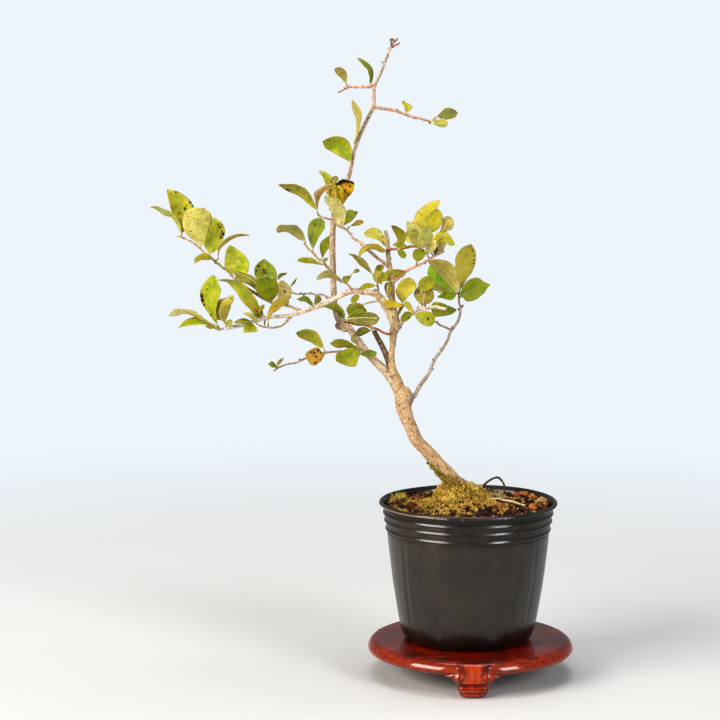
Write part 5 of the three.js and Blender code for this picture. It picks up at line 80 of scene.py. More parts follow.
    "O": ((-56.339, 1.93, 176.193, 0.69), (-58.46, 0.019, 174.291, 0.67), (-62.687, -2.687, 174.36, 0.641), (-67.943, -6.064, 174.779, 0.605), (-73.173, -9.186, 174.902, 0.57), (-76.299, -10.961, 174.594, 0.548), (-78.378, -12.164, 174.216, 0.534), (-83.557, -15.256, 172.758, 0.502), (-86.138, -16.685, 172.412, 0.487), (-88.713, -18.224, 171.293, 0.47), (-91.282, -19.706, 170.433, 0.455), (-94.869, -21.652, 170.16, 0.435), (-97.934, -23.393, 169.338, 0.416), (-99.971, -24.624, 168.452, 0.404), (-102.002, -26, 167.064, 0.389)),
    "F1r": ((-7.946, 7.813, 103.452, 2.694), (-4.728, 7.552, 102.681, 2.555), (-0.971, 7.231, 101.103, 2.325), (2.787, 6.891, 98.984, 1.873), (7.081, 6.424, 96.07, 1.435), (10.304, 6, 92.874, 1.079)),
    "rootA": ((1.924, 10, 89.908, 4.2), (11.924, 5, 83.908, 3.4), (26, -10, 76, 2.2), (32, -14, 60, 1)),
    "rootB": ((1.924, 10, 89.908, 4.4), (-9.076, 14, 83.908, 3.2), (-24, 17, 72, 2), (-27, 15, 56, 1)),
    "rootC": ((1.924, 10, 89.908, 4.2), (-3.076, -2, 81.908, 3), (-11, -24, 68, 1.8), (-10, -27, 52, 1)),
    "rootD": ((1.924, 10, 89.908, 3.6), (6.924, 22, 81.908, 2.4), (14, 30, 68, 1.2), (13, 29, 54, 0.9)),
    "rootLoop": ((1.924, 10, 89.908, 2.2), (4.924, 20, 86.408, 1.4), (7.6, 25.5, 91.205, 0.9), (8.2, 27, 95.205, 0.62), (8.739, 27, 96.426, 0.62), (10.372, 27, 97.315, 0.62), (12.545, 27, 99.09, 0.62), (14.69, 26.5, 100.569, 0.62), (16.836, 26, 101.492, 0.62), (18.476, 26, 101.215, 0.62), (20.095, 25.5, 99.644, 0.62), (21.171, 25, 97.521, 0.62), (21.434, 24.5, 94.843, 0.62), (21.834, 23.5, 86.843, 0.55), (22.434, 21.5, 76.843, 0.5)),
}
KNOTS = [  # x, y, z, radius, darkness, swelling
    (-69.06, 1.73, 187.7, 1.8, 0.75, 0.35),
    (-67.47, 1.84, 189.55, 1.06, 0.6, 0.2),
    (-69.59, 2.07, 190.06, 0.85, 0.5, 0.2),
    (-42.65, -0.2, 227.4, 1.06, 0.55, 0.2),
    (-41.6, -0.04, 228.7, 0.74, 0.5, 0.1),
    (-43.7, -0.36, 225.83, 0.64, 0.4, 0.1),
    (-42.65, -1.19, 219.66, 0.8, 0.7, -0.1),
    (-49.53, -7.32, 207.98, 0.95, 0.95, 0.25),
    (-30.27, 1.02, 147.9, 1.91, 0.35, 0.5),
    (-29.47, 1.6, 149.43, 0.85, 0.6, 0.1),
    (-32.28, 2.74, 214.98, 0.64, 0.6, 0.1),
    (-28.8, 4.96, 217.44, 0.64, 0.5, 0.25),
    (-60.01, -4.29, 284.16, 0.85, 0.5, 0.3),
    (-71.63, 2.46, 246.72, 1.06, 0.35, 0.3),
    (-72.24, 3.5, 201.09, 0.8, 0.35, 0.1),
    (-71.18, 2.7, 194.78, 0.95, 0.4, 0.1),
    (-56.35, 5.6, 314.41, 0.53, 0.5, 0.15),
    (-46.98, -3.01, 302.8, 0.95, 0.4, 0.2),
    (-49.57, 1.34, 316.75, 0.85, 0.4, 0.2),
    (-37.38, -3.41, 199.67, 0.74, 0.3, 0.2),
    (-40.52, -4.05, 184.36, 0.85, 0.35, 0.15),
    (-43.02, 5.72, 172.51, 1.06, 0.4, 0.1),
    (-36.66, -0.34, 137.35, 1.17, 0.2, 0.1),
    (-27.01, 1.2, 127.94, 1.27, 0.25, 0.15),
    (-31.34, -0.21, 138.41, 0.85, 0.3, 0.1),
    (-23.23, 2.02, 121.32, 0.95, 0.3, 0.1),
    (-35.09, -1.27, 143.95, 0.95, 0.3, 0.1),
    (-54.22, 0.04, 168.41, 0.8, 0.25, 0.1),
    (-61.64, 0.63, 179.02, 0.95, 0.3, 0.2),
    (-83.61, -9.93, 197.7, 0.74, 0.5, 0.2),
    (-77.34, -8.29, 200.7, 0.64, 0.3, 0.15),
    (-103.37, -14.56, 191.36, 0.53, 0.4, 0.15),
    (-88.82, -11.38, 194.17, 0.53, 0.3, 0.1),
    (-111.64, -16.53, 190.53, 0.64, 0.5, 0.15),
    (-120.4, -18.51, 189.7, 0.64, 0.4, 0.1),
    (-129.16, -20.22, 188.33, 0.74, 0.6, 0.15),
    (-12.98, 11.92, 177.13, 0.64, 0.5, 0.2),
    (-8.07, 15.14, 184.84, 0.64, 0.5, 0.25),
    (-17.31, 9.68, 170.94, 0.64, 0.5, 0.2),
    (-23.27, 5.85, 160.67, 0.64, 0.4, 0.2),
    (-4.28, 16.84, 191.13, 0.64, 0.4, 0.2),
    (-134.37, 0.05, 221.57, 0.53, 0.4, 0.15),
    (-131.7, -0.95, 219.01, 0.53, 0.5, 0.15),
    (-126.88, -2.88, 213.9, 0.64, 0.4, 0.15),
    (-140.28, 2.31, 227.2, 0.48, 0.5, 0.1),
    (-147.28, 4.68, 232.31, 0.53, 0.6, 0.1),
    (-58.97, -6.02, 233.62, 0.53, 0.5, 0.2),
    (-62.64, -5.7, 237.27, 0.53, 0.5, 0.2),
    (-65.24, -6.96, 240.5, 0.53, 0.5, 0.15),
    (-53.73, -6.68, 227.9, 0.53, 0.4, 0.15),
    (-49, -4.66, 224.06, 0.53, 0.3, 0.1),
    (-85.62, 12.74, 229.59, 0.53, 0.4, 0.1),
    (-80.78, 9.33, 223.99, 0.53, 0.4, 0.15),
    (-75.96, 6.79, 218.88, 0.53, 0.4, 0.1),
    (-15.87, -20.63, 200.91, 0.53, 0.5, 0.2),
    (-26.07, -14.07, 197.61, 0.64, 0.5, 0.2),
    (-91.78, -20.26, 172.08, 0.53, 0.5, 0.1),
    (-83.55, -15.45, 173.57, 0.53, 0.5, 0.1),
    (-73.17, -9.64, 174.96, 0.53, 0.4, 0.1),
    (-36.62, -7.26, 300.27, 0.53, 0.4, 0.1),
    (-28.92, -10.91, 297.76, 0.53, 0.4, 0.1),
    (-24.32, -13.35, 296.26, 0.53, 0.4, 0.1),
]
BUDS = [  # base, tip, radius
    (-39.33, -5.52, 300.89, -36.61, -5.82, 303.04, 0.55),
    (-32.8, -8.38, 298.74, -32.75, -8.65, 296.37, 0.51),
    (-22.05, -14.05, 295.94, -21.59, -14.27, 292.42, 0.64),
    (-27.42, -11.17, 297.22, -26.35, -11.41, 299.31, 0.38),
    (-39.58, 7.6, 336.5, -40.9, 7.39, 338.78, 0.55),
    (-39.58, 7.6, 336.5, -37.34, 7.39, 338.57, 0.59),
    (-39.95, 6.58, 334.24, -36.62, 6.38, 335.86, 0.51),
    (-41.09, 6.8, 333.67, -43, 6.56, 332.7, 0.51),
    (-55.65, 5.66, 313.11, -55.67, 5.39, 315.35, 0.47),
    (-59.5, 8.25, 313.1, -59.82, 8.01, 311.27, 0.47),
    (-64.78, 11.45, 312.3, -66.36, 11.25, 314.5, 0.42),
    (-62.66, 10.22, 313.09, -62.51, 10.01, 314.97, 0.38),
    (-59.23, -3.43, 283.35, -61.68, -3.83, 284.56, 0.55),
    (-58.64, -3.56, 284.93, -57.4, -3.95, 286.23, 0.42),
    (-54.79, -2.63, 293.98, -53.85, -3.04, 294.82, 0.42),
    (-50.11, -0.26, 307.01, -52.91, -0.64, 307.85, 0.47),
    (-48.38, 2.09, 316.49, -47.79, 1.78, 317.58, 0.47),
    (-44.6, 4.52, 325.37, -46.73, 4.23, 326.61, 0.42),
    (-43.44, 5.37, 328.52, -42.33, 5.09, 329.42, 0.42),
    (-61.77, -1.65, 272.86, -64.46, -2.06, 273.99, 0.47),
    (-65.44, 0.52, 260.78, -66.11, 0.05, 262.29, 0.47),
    (-40.21, -1.72, 176.64, -36.41, -2.36, 176.61, 0.72),
    (-29.72, 5.18, 218.02, -28.64, 4.9, 218.72, 0.51),
    (-34.89, 2.48, 215.23, -34.67, 2.16, 214.82, 0.42),
    (-23.55, 8.14, 220.56, -22.57, 7.88, 218.58, 0.47),
    (-17.14, 11.05, 224.03, -17.72, 10.82, 224.94, 0.42),
    (-13.03, 12.83, 225.92, -11.81, 12.63, 226.18, 0.59),
    (-17.84, 9.48, 167.73, -20.21, 9.12, 168.96, 0.55),
    (-19.9, 7.93, 162.98, -16.28, 7.55, 162.27, 0.55),
    (-4.8, 16.91, 188.42, -5.18, 16.61, 187.05, 0.55),
    (-3.43, 18.36, 195.28, 0.36, 18.08, 196.07, 0.59),
    (-3.56, 18.02, 193.64, -6.78, 17.73, 194.59, 0.59),
    (-9.98, 13.82, 179.87, -8.97, 13.49, 179.42, 0.51),
    (-7.78, 15.64, 184.07, -9.68, 15.33, 185.14, 0.47),
    (-13.81, 11.48, 173.23, -16.32, 11.14, 174.53, 0.47),
    (-21.99, 6.65, 159.48, -21.11, 6.25, 159.22, 0.47),
    (-25.3, 4.91, 155.2, -27.02, 4.48, 156.23, 0.42),
    (-4.22, 19.48, 200.66, -1.23, 19.21, 201.35, 0.55),
    (-88.5, 3.37, 204.3, -88.64, 3.18, 206.13, 0.51),
    (-83.12, 0.59, 204.72, -83.18, 0.39, 206.5, 0.47),
    (-86.69, 2.43, 204.48, -86.73, 2.24, 201.97, 0.42),
    (-79.43, -1.28, 204.49, -79.03, -1.49, 202.13, 0.42),
    (-73.89, -4.23, 203.31, -75.3, -4.46, 200.84, 0.42),
    (-94.05, -11.55, 194.45, -92.69, -12, 191.5, 0.47),
    (-98.04, -12.47, 194.15, -98.4, -12.9, 193.91, 0.42),
    (-106.91, -14.47, 193.35, -107.34, -14.89, 189.09, 0.47),
    (-117.23, -16.89, 190.44, -117.33, -17.33, 191.35, 0.42),
    (-123.65, -18.36, 189.24, -123.74, -18.81, 187.33, 0.42),
    (-82.45, -8.67, 197.97, -83.93, -9.16, 199.84, 0.47),
    (-73.82, -6.48, 201.24, -73.37, -6.99, 200.56, 0.47),
    (-66.41, -6.04, 204.92, -67.27, -6.6, 206.96, 0.51),
    (-57.25, -6.74, 206.68, -56.67, -7.36, 205.14, 0.51),
    (-132.7, 0.15, 221.03, -134.91, -0.12, 219.68, 0.47),
    (-129.42, -0.94, 218.54, -128.52, -1.23, 218.29, 0.47),
    (-137.52, 1.82, 225.05, -139.1, 1.58, 224.19, 0.42),
    (-121.81, -3.45, 211.57, -123.92, -3.75, 208.91, 0.42),
    (-143.65, 3.91, 229.94, -142.47, 3.7, 229.95, 0.42),
    (-150.23, 5.9, 233.59, -152, 5.72, 233.61, 0.51),
    (-62.12, -5.13, 236.01, -60.02, -5.39, 237.15, 0.47),
    (-65.7, -6.46, 239.64, -67.34, -6.71, 239.23, 0.42),
    (-55.83, -5.78, 231.07, -57.82, -6.07, 229.54, 0.47),
    (-51.57, -5.48, 227.02, -50.58, -5.79, 227.1, 0.47),
    (-46.95, -3.21, 222.99, -48.25, -3.54, 221.66, 0.42),
    (-84.01, 11.78, 227, -85.39, 11.57, 226.16, 0.42),
    (-78.25, 8.65, 221.72, -77.15, 8.39, 222.15, 0.42),
    (-37.43, -2.87, 228.75, -37.75, -3.14, 228.57, 0.47),
    (-32.77, -6.15, 229.7, -32.26, -6.4, 232.08, 0.42),
    (-43.87, 1.95, 237.38, -43.39, 1.53, 241.51, 0.51),
    (-43.05, 1.39, 232.5, -40.43, 0.94, 233.33, 0.51),
    (-42.29, 0.21, 222.19, -38.75, -0.32, 223.18, 0.51),
    (-40.76, -1.09, 210.67, -41.27, -1.73, 211.15, 0.55),
    (-48.84, -5.95, 206.42, -51.21, -6.64, 208.86, 0.55),
    (-39.06, -2.51, 190.03, -36.52, -3.57, 190.89, 0.55),
    (-88.07, -17.84, 171.57, -89.23, -18.03, 174.32, 0.42),
    (-94.87, -21.65, 170.16, -94.66, -21.83, 169.55, 0.42),
    (-99.97, -24.62, 168.45, -102.46, -24.79, 167.64, 0.55),
    (-78.72, -12.37, 174.12, -77.85, -12.58, 172.68, 0.42),
    (-22.98, -15.48, 198.72, -24.57, -15.85, 203.67, 0.51),
    (-18.56, -18.29, 199.57, -17.88, -18.66, 200.5, 0.47),
    (-27.07, -12.61, 197.72, -28.97, -12.97, 200.65, 0.51),
    (-13.53, -21.53, 199.07, -11.77, -21.9, 201.15, 0.55),
    (-6.97, 16.02, 185.1, -9.12, 15.71, 184.45, 0.42),
    (-15.7, 6.96, 188, -15.69, 6.76, 191.25, 0.42),
]
STRAW = ((16.5, 9.5, 0.55), (21, 8, 0.6), (25, 4.5, 0.55), (28, 0.6, 0.45))  # x, y, radius
# leaves: name, face seen (1 upper), colour class, where the stalk starts, upper side, and stations of midrib point and half-width vector
LEAVES = [
    {"n": "A1", "f": -1, "col": "kh", "a": (-152.16, 6.44, 234.3), "up": (0.535, 0.337, 0.774), "st": ((-151.8, 5.43, 235.44, 0, 0, 0), (-152.23, 4.75, 237.86, -0.7, 1.43, -0.48), (-153.45, 3.79, 241.42, -1.17, 3.49, -1.11), (-156.14, 2.6, 245.62, -0.78, 5.57, -1.35), (-160.54, 1.51, 247.83, -0.61, 5.6, -1.73), (-164.04, 0.66, 250.03, -0.14, 3.94, -1.31), (-166.5, 0.11, 250.53, 0.07, 1.77, -0.5), (-167.75, -0.16, 249.77, 0, 0, 0))},
    {"n": "A2", "f": 1, "col": "yg", "a": (-152.16, 6.44, 234.3), "up": (0.31, -0.86, 0.406), "st": ((-151.69, 7.45, 235.82, 0, 0, 0), (-151.32, 7.78, 238.36, 1.52, 0.81, 0.18), (-150.87, 8.4, 242.22, 3.69, 1.43, 0.58), (-151.12, 9.48, 247.71, 5.74, 0.5, 1.69), (-153.3, 10.82, 252.84, 4.39, 3.92, 1.66), (-156.43, 12.17, 256.38, 2.63, 3.17, 1.29), (-158.87, 13.24, 258.19, 1.02, 1.55, 0.46), (-159.93, 13.81, 259.04, 0, 0, 0))},
    {"n": "A3", "f": -1, "col": "kh", "a": (-142.13, 3.39, 228.71), "up": (0.062, 0.972, 0.226), "st": ((-141.29, 1.92, 229.61, 0, 0, 0), (-141.69, 1.83, 231.53, 1.97, -0.06, -0.44), (-143.01, 1.52, 234.69, 4.68, -0.03, -0.26), (-143.81, 0.74, 239.77, 7.18, -0.1, -0.8), (-142.66, -0.44, 245.43, 7.35, -0.23, -1.81), (-140.65, -1.76, 248.72, 4.72, -0.16, -1.25), (-139.61, -2.87, 249.78, 1.61, 0.39, -0.46), (-139.14, -3.48, 250.23, 0, 0, 0))},
    {"n": "A4", "f": 1, "col": "ol", "a": (-137.2, 1.72, 224.82), "up": (0.023, -0.926, 0.377), "st": ((-136.65, 3.02, 225.56, 0, 0, 0), (-136.24, 3.21, 226.98, 1.86, -0.04, -0.3), (-135.71, 3.75, 229.71, 3.97, -0.06, -0.43), (-134.7, 4.97, 234.03, 5.39, -0.05, -0.43), (-134.03, 6.75, 238.59, 5.16, -0.02, -0.15), (-134.55, 8.72, 242.15, 3.52, -0.01, -0.11), (-134.74, 10.35, 243.77, 1.3, 0.76, -0.02), (-134.92, 11.24, 244.32, 0, 0, 0))},
    {"n": "A5", "f": 1, "col": "ol", "a": (-134.88, 0.92, 222.89), "up": (0.136, -0.324, 0.936), "st": ((-134.79, -1.4, 223.01, 0, 0, 0), (-135.74, -2.05, 223.56, 0, -1.09, -0.49), (-137.23, -3.19, 224.3, 0.08, -2.52, -1.14), (-139.51, -5.03, 224.71, 0.5, -3.89, -1.4), (-141.76, -7.22, 224.25, 0.95, -3.96, -1.16), (-143.23, -9.37, 223.26, 0.96, -2.75, -0.65), (-143.59, -11.04, 222.27, 0.32, -1.27, -0.17), (-143.76, -11.92, 221.78, 0, 0, 0))},
    {"n": "A6", "f": 1, "col": "ta", "a": (-133.68, 0.49, 221.84), "up": (0.537, -0.216, -0.815), "st": ((-132.11, 2.02, 223.52, 0, 0, 0), (-132.1, 2.1, 225.91, 0.2, 1.38, -0.25), (-131.3, 2.41, 229.3, 0.43, 3.18, -0.62), (-128, 3.18, 232.66, 0.3, 4.83, -0.89), (-123.78, 4.37, 234.66, 0.2, 4.9, -1), (-119.86, 5.69, 235.32, 0.09, 3.43, -0.86), (-117.07, 6.81, 235.19, 0.03, 1.51, -0.39), (-115.67, 7.42, 235.03, 0, 0, 0))},
    {"n": "A7", "f": 1, "col": "lg", "a": (-123.19, -3.01, 212.85), "up": (0.132, -0.895, -0.425), "st": ((-121.53, -4.39, 214.56, 0, 0, 0), (-121.22, -4.89, 215.34, 2.14, -0.03, -0.2), (-121.23, -5.85, 217, 4.88, 0, -0.01), (-122.06, -7.51, 221.26, 6.32, 0.09, 0.72), (-122.95, -9.58, 225.6, 5, 0.39, 0.75), (-124.05, -11.69, 228.79, 3.04, 1.88, 0.13), (-124.66, -13.36, 230.65, 1.19, 1.04, -0.06), (-124.77, -14.25, 231.36, 0, 0, 0))},
    {"n": "A8", "f": -1, "col": "br", "a": (-111.55, -6.3, 205.07), "up": (-0.677, 0.44, -0.59), "st": ((-110.35, -8.29, 207.02, 0, 0, 0), (-111.36, -8.61, 208.36, -0.67, -1.15, -0.55), (-112.67, -9.31, 210.74, -1.5, -2.79, -1.04), (-115.39, -10.64, 213.22, -1.79, -4.46, -1.4), (-118.77, -12.43, 214.92, -1.53, -4.67, -1.35), (-121.39, -14.31, 216.54, -0.92, -3.39, -0.77), (-123.1, -15.83, 217.69, -0.31, -1.55, -0.21), (-123.94, -16.66, 218.27, 0, 0, 0))},
    {"n": "C1", "f": 1, "col": "gr", "a": (-109.12, -6.96, 203.63), "up": (0.061, -0.845, 0.531), "st": ((-106.82, -5.16, 207.25, 0, 0, 0), (-106.64, -4.8, 208.64, 1.61, -0.02, -0.13), (-106.39, -3.97, 210.72, 4.03, -0.04, -0.33), (-106.87, -2.35, 214.19, 5.8, -0.03, -0.2), (-107.45, -0.13, 218.21, 5.45, -0.02, -0.15), (-107.88, 2.23, 220.88, 3.26, 0.79, -0.34), (-107.95, 4.16, 222.19, 1.14, 0.94, -0.23), (-107.96, 5.2, 222.73, 0, 0, 0))},
    {"n": "C2", "f": 1, "col": "dg", "a": (-104.12, -7.6, 201.15), "up": (0.104, -0.815, -0.569), "st": ((-104.08, -8.59, 201.25, 0, 0, 0), (-104.31, -9.96, 202.5, 1.68, 0.03, 0.27), (-104.71, -11.94, 204.62, 3.97, 0.08, 0.66), (-105.7, -14.42, 208.31, 5.75, 0.13, 1.03), (-106.38, -16.74, 212.4, 5.68, 0.1, 0.81), (-106.85, -18.57, 214.8, 3.65, 0.04, 0.3), (-106.71, -19.79, 215.25, 1.22, 0.85, -0.01), (-106.64, -20.38, 215.47, 0, 0, 0))},
    {"n": "A10", "f": 1, "col": "gr", "a": (-106.23, -7.35, 202.18), "up": (0.779, -0.377, -0.502), "st": ((-100.96, -6.36, 212.63, 0, 0, 0), (-100.57, -5.71, 213.04, 0.25, 0.58, -0.38), (-100.09, -4.68, 213.81, 0.51, 1.42, -0.78), (-99.24, -3.21, 214.79, 0.52, 2.28, -1.02), (-97.99, -1.61, 215.22, 0.37, 2.41, -0.88), (-96.87, -0.16, 215.45, 0.19, 1.74, -0.55), (-96.09, 0.92, 215.57, 0.06, 0.78, -0.21), (-95.7, 1.48, 215.63, 0, 0, 0))},
    {"n": "A11", "f": 1, "col": "dg", "a": (-96.48, -8.33, 199.44), "up": (0.889, -0.171, -0.425), "st": ((-94.14, -6.76, 208.72, 0, 0, 0), (-93.78, -6.22, 209.16, 0.06, 0.73, -0.14), (-93.25, -5.33, 209.83, 0.16, 1.69, -0.33), (-92.52, -3.98, 210.69, 0.24, 2.54, -0.49), (-91.79, -2.44, 211.54, 0.27, 2.58, -0.51), (-91.21, -0.97, 212.26, 0.21, 1.81, -0.37), (-90.85, 0.14, 212.78, 0.07, 0.81, -0.15), (-90.67, 0.73, 213.04, 0, 0, 0))},
    {"n": "D", "f": -1, "col": "kh", "a": (-99.01, -8.09, 200.06), "up": (-0.505, 0.646, 0.572), "st": ((-98.8, -9.66, 200.84, 0, 0, 0), (-98.49, -10.32, 201.94, 1.1, 0.76, -0.15), (-97.83, -11.55, 203.68, 2.56, 1.71, -0.42), (-96.82, -13.62, 206.55, 3.64, 2.86, -0.59), (-96.8, -16.2, 209.67, 3.11, 3.55, -0.46), (-97.48, -18.78, 212.14, 2.07, 2.61, -0.39), (-97.71, -20.82, 213.5, 0.8, 1.24, -0.16), (-97.78, -21.91, 214.05, 0, 0, 0))},
    {"n": "E1", "f": 1, "col": "or", "a": (-105.48, -14.41, 188.72), "up": (0.46, -0.455, -0.762), "st": ((-105.14, -15.94, 191.51, 0, 0, 0), (-105.03, -16.4, 193.55, 0.39, 1.35, -0.33), (-104.38, -17.29, 196.49, 0.8, 3.11, -0.88), (-101.8, -18.84, 199.58, 1.42, 4.39, -1.94), (-98.66, -20.79, 202.34, 1.24, 4.47, -2.11), (-95.77, -22.77, 204.32, 0.67, 3.22, -1.46), (-93.63, -24.35, 205.34, 0.22, 1.47, -0.57), (-92.54, -25.19, 205.79, 0, 0, 0))},
    {"n": "E2", "f": 1, "col": "dg", "a": (-96.66, -8.31, 199.49), "up": (0.29, -0.455, -0.842), "st": ((-96.73, -9.08, 199.2, 0, 0, 0), (-96.53, -9.43, 199.55, 0.19, 0.45, -0.18), (-96.22, -10.05, 200.08, 0.48, 1.02, -0.44), (-95.76, -11.01, 200.86, 0.67, 1.58, -0.62), (-95.18, -12.15, 201.62, 0.67, 1.61, -0.65), (-94.86, -13.26, 202.3, 0.38, 1.17, -0.44), (-94.58, -14.11, 202.71, 0.13, 0.54, -0.17), (-94.44, -14.56, 202.91, 0, 0, 0))},
    {"n": "B1", "f": -1, "col": "kh", "a": (-130.74, -20, 187.78), "up": (0.16, 0.332, 0.929), "st": ((-132.22, -20.86, 190.49, 0, 0, 0), (-134.71, -21.22, 191.53, 0.1, 1.9, -0.35), (-138.23, -21.87, 193.47, 0.05, 4.3, -1.19), (-142.75, -22.97, 196.34, -0.02, 5.79, -2.02), (-147.83, -24.34, 197.95, 0.31, 5.81, -1.84), (-152.04, -25.71, 197.84, 0.47, 4.26, -2.21), (-154.79, -26.79, 196.65, 0.26, 1.83, -1.07), (-156.02, -27.37, 196.16, 0, 0, 0))},
    {"n": "B2", "f": 1, "col": "ol", "a": (-130.74, -20, 187.78), "up": (0.1, -0.213, 0.972), "st": ((-131.13, -21.86, 188.51, 0, 0, 0), (-132.93, -22.41, 189.95, -0.07, -1.53, -0.23), (-136, -23.3, 191.48, 0.13, -3.57, -0.22), (-140.12, -24.62, 193.12, 0.09, -5.22, -1.32), (-144.6, -26.1, 192.9, 0.43, -5.31, -1.31), (-148.18, -27.48, 191.84, 0.54, -3.71, -0.96), (-150.29, -28.52, 190.55, 0.22, -1.67, -0.3), (-151.3, -29.06, 189.85, 0, 0, 0))},
    {"n": "B3", "f": 1, "col": "or", "a": (-130.74, -20, 187.78), "up": (0.382, -0.461, -0.801), "st": ((-133.25, -21.26, 188.97, 0, 0, 0), (-133.66, -21.78, 189.1, -0.03, 0.49, -0.31), (-134.29, -22.59, 189.31, -0.07, 1.11, -0.75), (-135.15, -23.78, 189.7, -0.09, 1.71, -1.06), (-136.06, -25.07, 190.1, -0.07, 1.75, -1.08), (-136.75, -26.25, 190.29, -0.04, 1.31, -0.63), (-137.23, -27.13, 190.41, -0.01, 0.6, -0.23), (-137.47, -27.59, 190.47, 0, 0, 0))},
    {"n": "B4", "f": 1, "col": "yg", "a": (-130.43, -19.93, 187.87), "up": (-0.661, -0.723, -0.199), "st": ((-131.17, -21.01, 190.51, 0, 0, 0), (-132.46, -21.37, 193.07, 0.96, -1.52, 0.43), (-134.15, -22.05, 197.07, 2.31, -3.48, 0.9), (-135.24, -23.2, 202.67, 4.38, -4.6, 0.95), (-134.38, -24.63, 208.54, 5.45, -3.61, 0.22), (-133.76, -26.07, 213.28, 3.47, -3.04, -0.08), (-132.95, -27.21, 216.29, 1.53, -1.35, -0.18), (-132.58, -27.82, 217.17, 0, 0, 0))},
    {"n": "B5", "f": -1, "col": "br", "a": (-126.97, -19.12, 188.66), "up": (0.541, 0.807, 0.238), "st": ((-127.35, -19.78, 190.89, 0, 0, 0), (-128.15, -20.53, 192.68, 1.07, -1.05, 0), (-129.45, -21.83, 194.59, 3.26, -1.06, 0.47), (-129.59, -23.87, 198.59, 4.76, -2.09, -0.28), (-127.75, -26.27, 202.62, 3.79, -3.6, -0.84), (-124.79, -28.6, 204.64, 2.28, -2.94, -0.41), (-123.17, -30.4, 206.37, 0.91, -1.35, -0.3), (-122.41, -31.34, 206.92, 0, 0, 0))},
    {"n": "B6", "f": 1, "col": "ye", "a": (-126.87, -19.1, 188.67), "up": (-0.68, -0.64, -0.359), "st": ((-127.07, -20.16, 190.15, 0, 0, 0), (-126.76, -20.71, 190.47, 0.35, -0.29, -0.23), (-126.3, -21.54, 190.96, 0.88, -0.5, -0.6), (-125.51, -22.67, 191.77, 1.32, -0.92, -0.76), (-124.72, -23.83, 192.67, 1.29, -1.04, -0.72), (-124.26, -24.83, 193.4, 0.88, -0.88, -0.29), (-124.16, -25.55, 193.75, 0.29, -0.48, -0.07), (-124.11, -25.91, 193.92, 0, 0, 0))},
    {"n": "B7", "f": 1, "col": "br", "a": (-113.74, -16.06, 191.53), "up": (0.334, -0.224, 0.916), "st": ((-113.67, -17.6, 191.7, 0, 0, 0), (-114.5, -18.45, 191.87, 0.01, -1.08, -0.39), (-115.84, -19.79, 192.24, 0, -2.54, -0.72), (-117.7, -21.71, 192.54, 0.06, -3.85, -0.97), (-119.6, -23.77, 192.74, 0.15, -3.93, -0.93), (-121.14, -25.64, 192.71, 0.19, -2.77, -0.67), (-122.04, -27.01, 192.63, 0.07, -1.25, -0.2), (-122.46, -27.72, 192.56, 0, 0, 0))},
    {"n": "B8", "f": 1, "col": "ol", "a": (-113.82, -16.08, 191.5), "up": (0.241, -0.562, 0.791), "st": ((-113.69, -17.21, 191.39, 0, 0, 0), (-113.64, -17.73, 190.87, 0.84, -0.05, -0.38), (-113.57, -18.62, 190.09, 2.09, -0.12, -0.96), (-113.9, -20.03, 188.84, 3.21, -0.21, -1.64), (-115.54, -21.67, 188.21, 2.4, -0.69, -1.18), (-116.62, -23.26, 187.6, 1.38, -1.27, -0.53), (-117.19, -24.48, 187.23, 0.46, -0.71, -0.15), (-117.47, -25.13, 187.06, 0, 0, 0))},
    {"n": "F1", "f": 1, "col": "ol", "a": (-110.42, -15.29, 192.45), "up": (-0.646, -0.52, -0.559), "st": ((-110.21, -13.56, 191.25, 0, 0, 0), (-110.48, -13.38, 194.39, -1.5, 1.53, -0.64), (-112.51, -12.85, 198.91, -2.59, 4.09, -1.8), (-116.72, -11.66, 204.32, -2.96, 5.67, -2.92), (-121.06, -9.92, 209.56, -1.77, 5.71, -2.66), (-126.2, -8, 211.96, -0.55, 5.4, -1.26), (-130.35, -6.4, 212.5, -0.16, 2.4, -0.57), (-132.51, -5.53, 212.4, 0, 0, 0))},
    {"n": "F2", "f": -1, "col": "kh", "a": (-111.23, -15.48, 192.23), "up": (-0.72, 0.218, -0.659), "st": ((-111.09, -17.01, 192.16, 0, 0, 0), (-111.66, -17.66, 192.88, -0.16, -0.96, -0.15), (-112.51, -18.77, 193.96, -0.39, -2.2, -0.39), (-113.8, -20.46, 195.3, -0.54, -3.3, -0.65), (-115.34, -22.41, 196.28, -0.4, -3.39, -0.63), (-116.7, -24.26, 196.78, -0.19, -2.41, -0.36), (-117.64, -25.68, 196.99, -0.06, -1.08, -0.09), (-118.11, -26.42, 197.09, 0, 0, 0))},
    {"n": "F3", "f": 1, "col": "or", "a": (-108.86, -14.92, 192.89), "up": (0.073, -0.556, -0.828), "st": ((-110.07, -15.85, 197.28, 0, 0, 0), (-109.72, -16.3, 197.57, 0.21, 0.4, -0.3), (-109.2, -17.04, 198.01, 0.52, 0.87, -0.74), (-108.65, -18.15, 198.95, 0.72, 1.46, -0.95), (-107.94, -19.39, 199.87, 0.65, 1.58, -0.88), (-107.5, -20.56, 200.69, 0.39, 1.14, -0.63), (-107.11, -21.45, 201.1, 0.13, 0.54, -0.23), (-106.92, -21.91, 201.3, 0, 0, 0))},
    {"n": "H1", "f": 1, "col": "ol", "a": (-79.23, -13, 247.15), "up": (-0.571, -0.452, -0.686), "st": ((-79.25, -12.14, 247.61, 0, 0, 0), (-80.3, -11.63, 250.17, -0.08, 1.62, -0.44), (-82.52, -10.81, 253.5, -0.85, 3.47, -1.54), (-86, -9.58, 257.67, -1.35, 5.03, -2.66), (-90.97, -8.2, 259.99, -1.06, 5.23, -2.64), (-95.46, -6.91, 261.36, -0.52, 3.81, -1.7), (-98.63, -5.94, 262.23, -0.16, 1.67, -0.8), (-100.24, -5.43, 262.35, 0, 0, 0))},
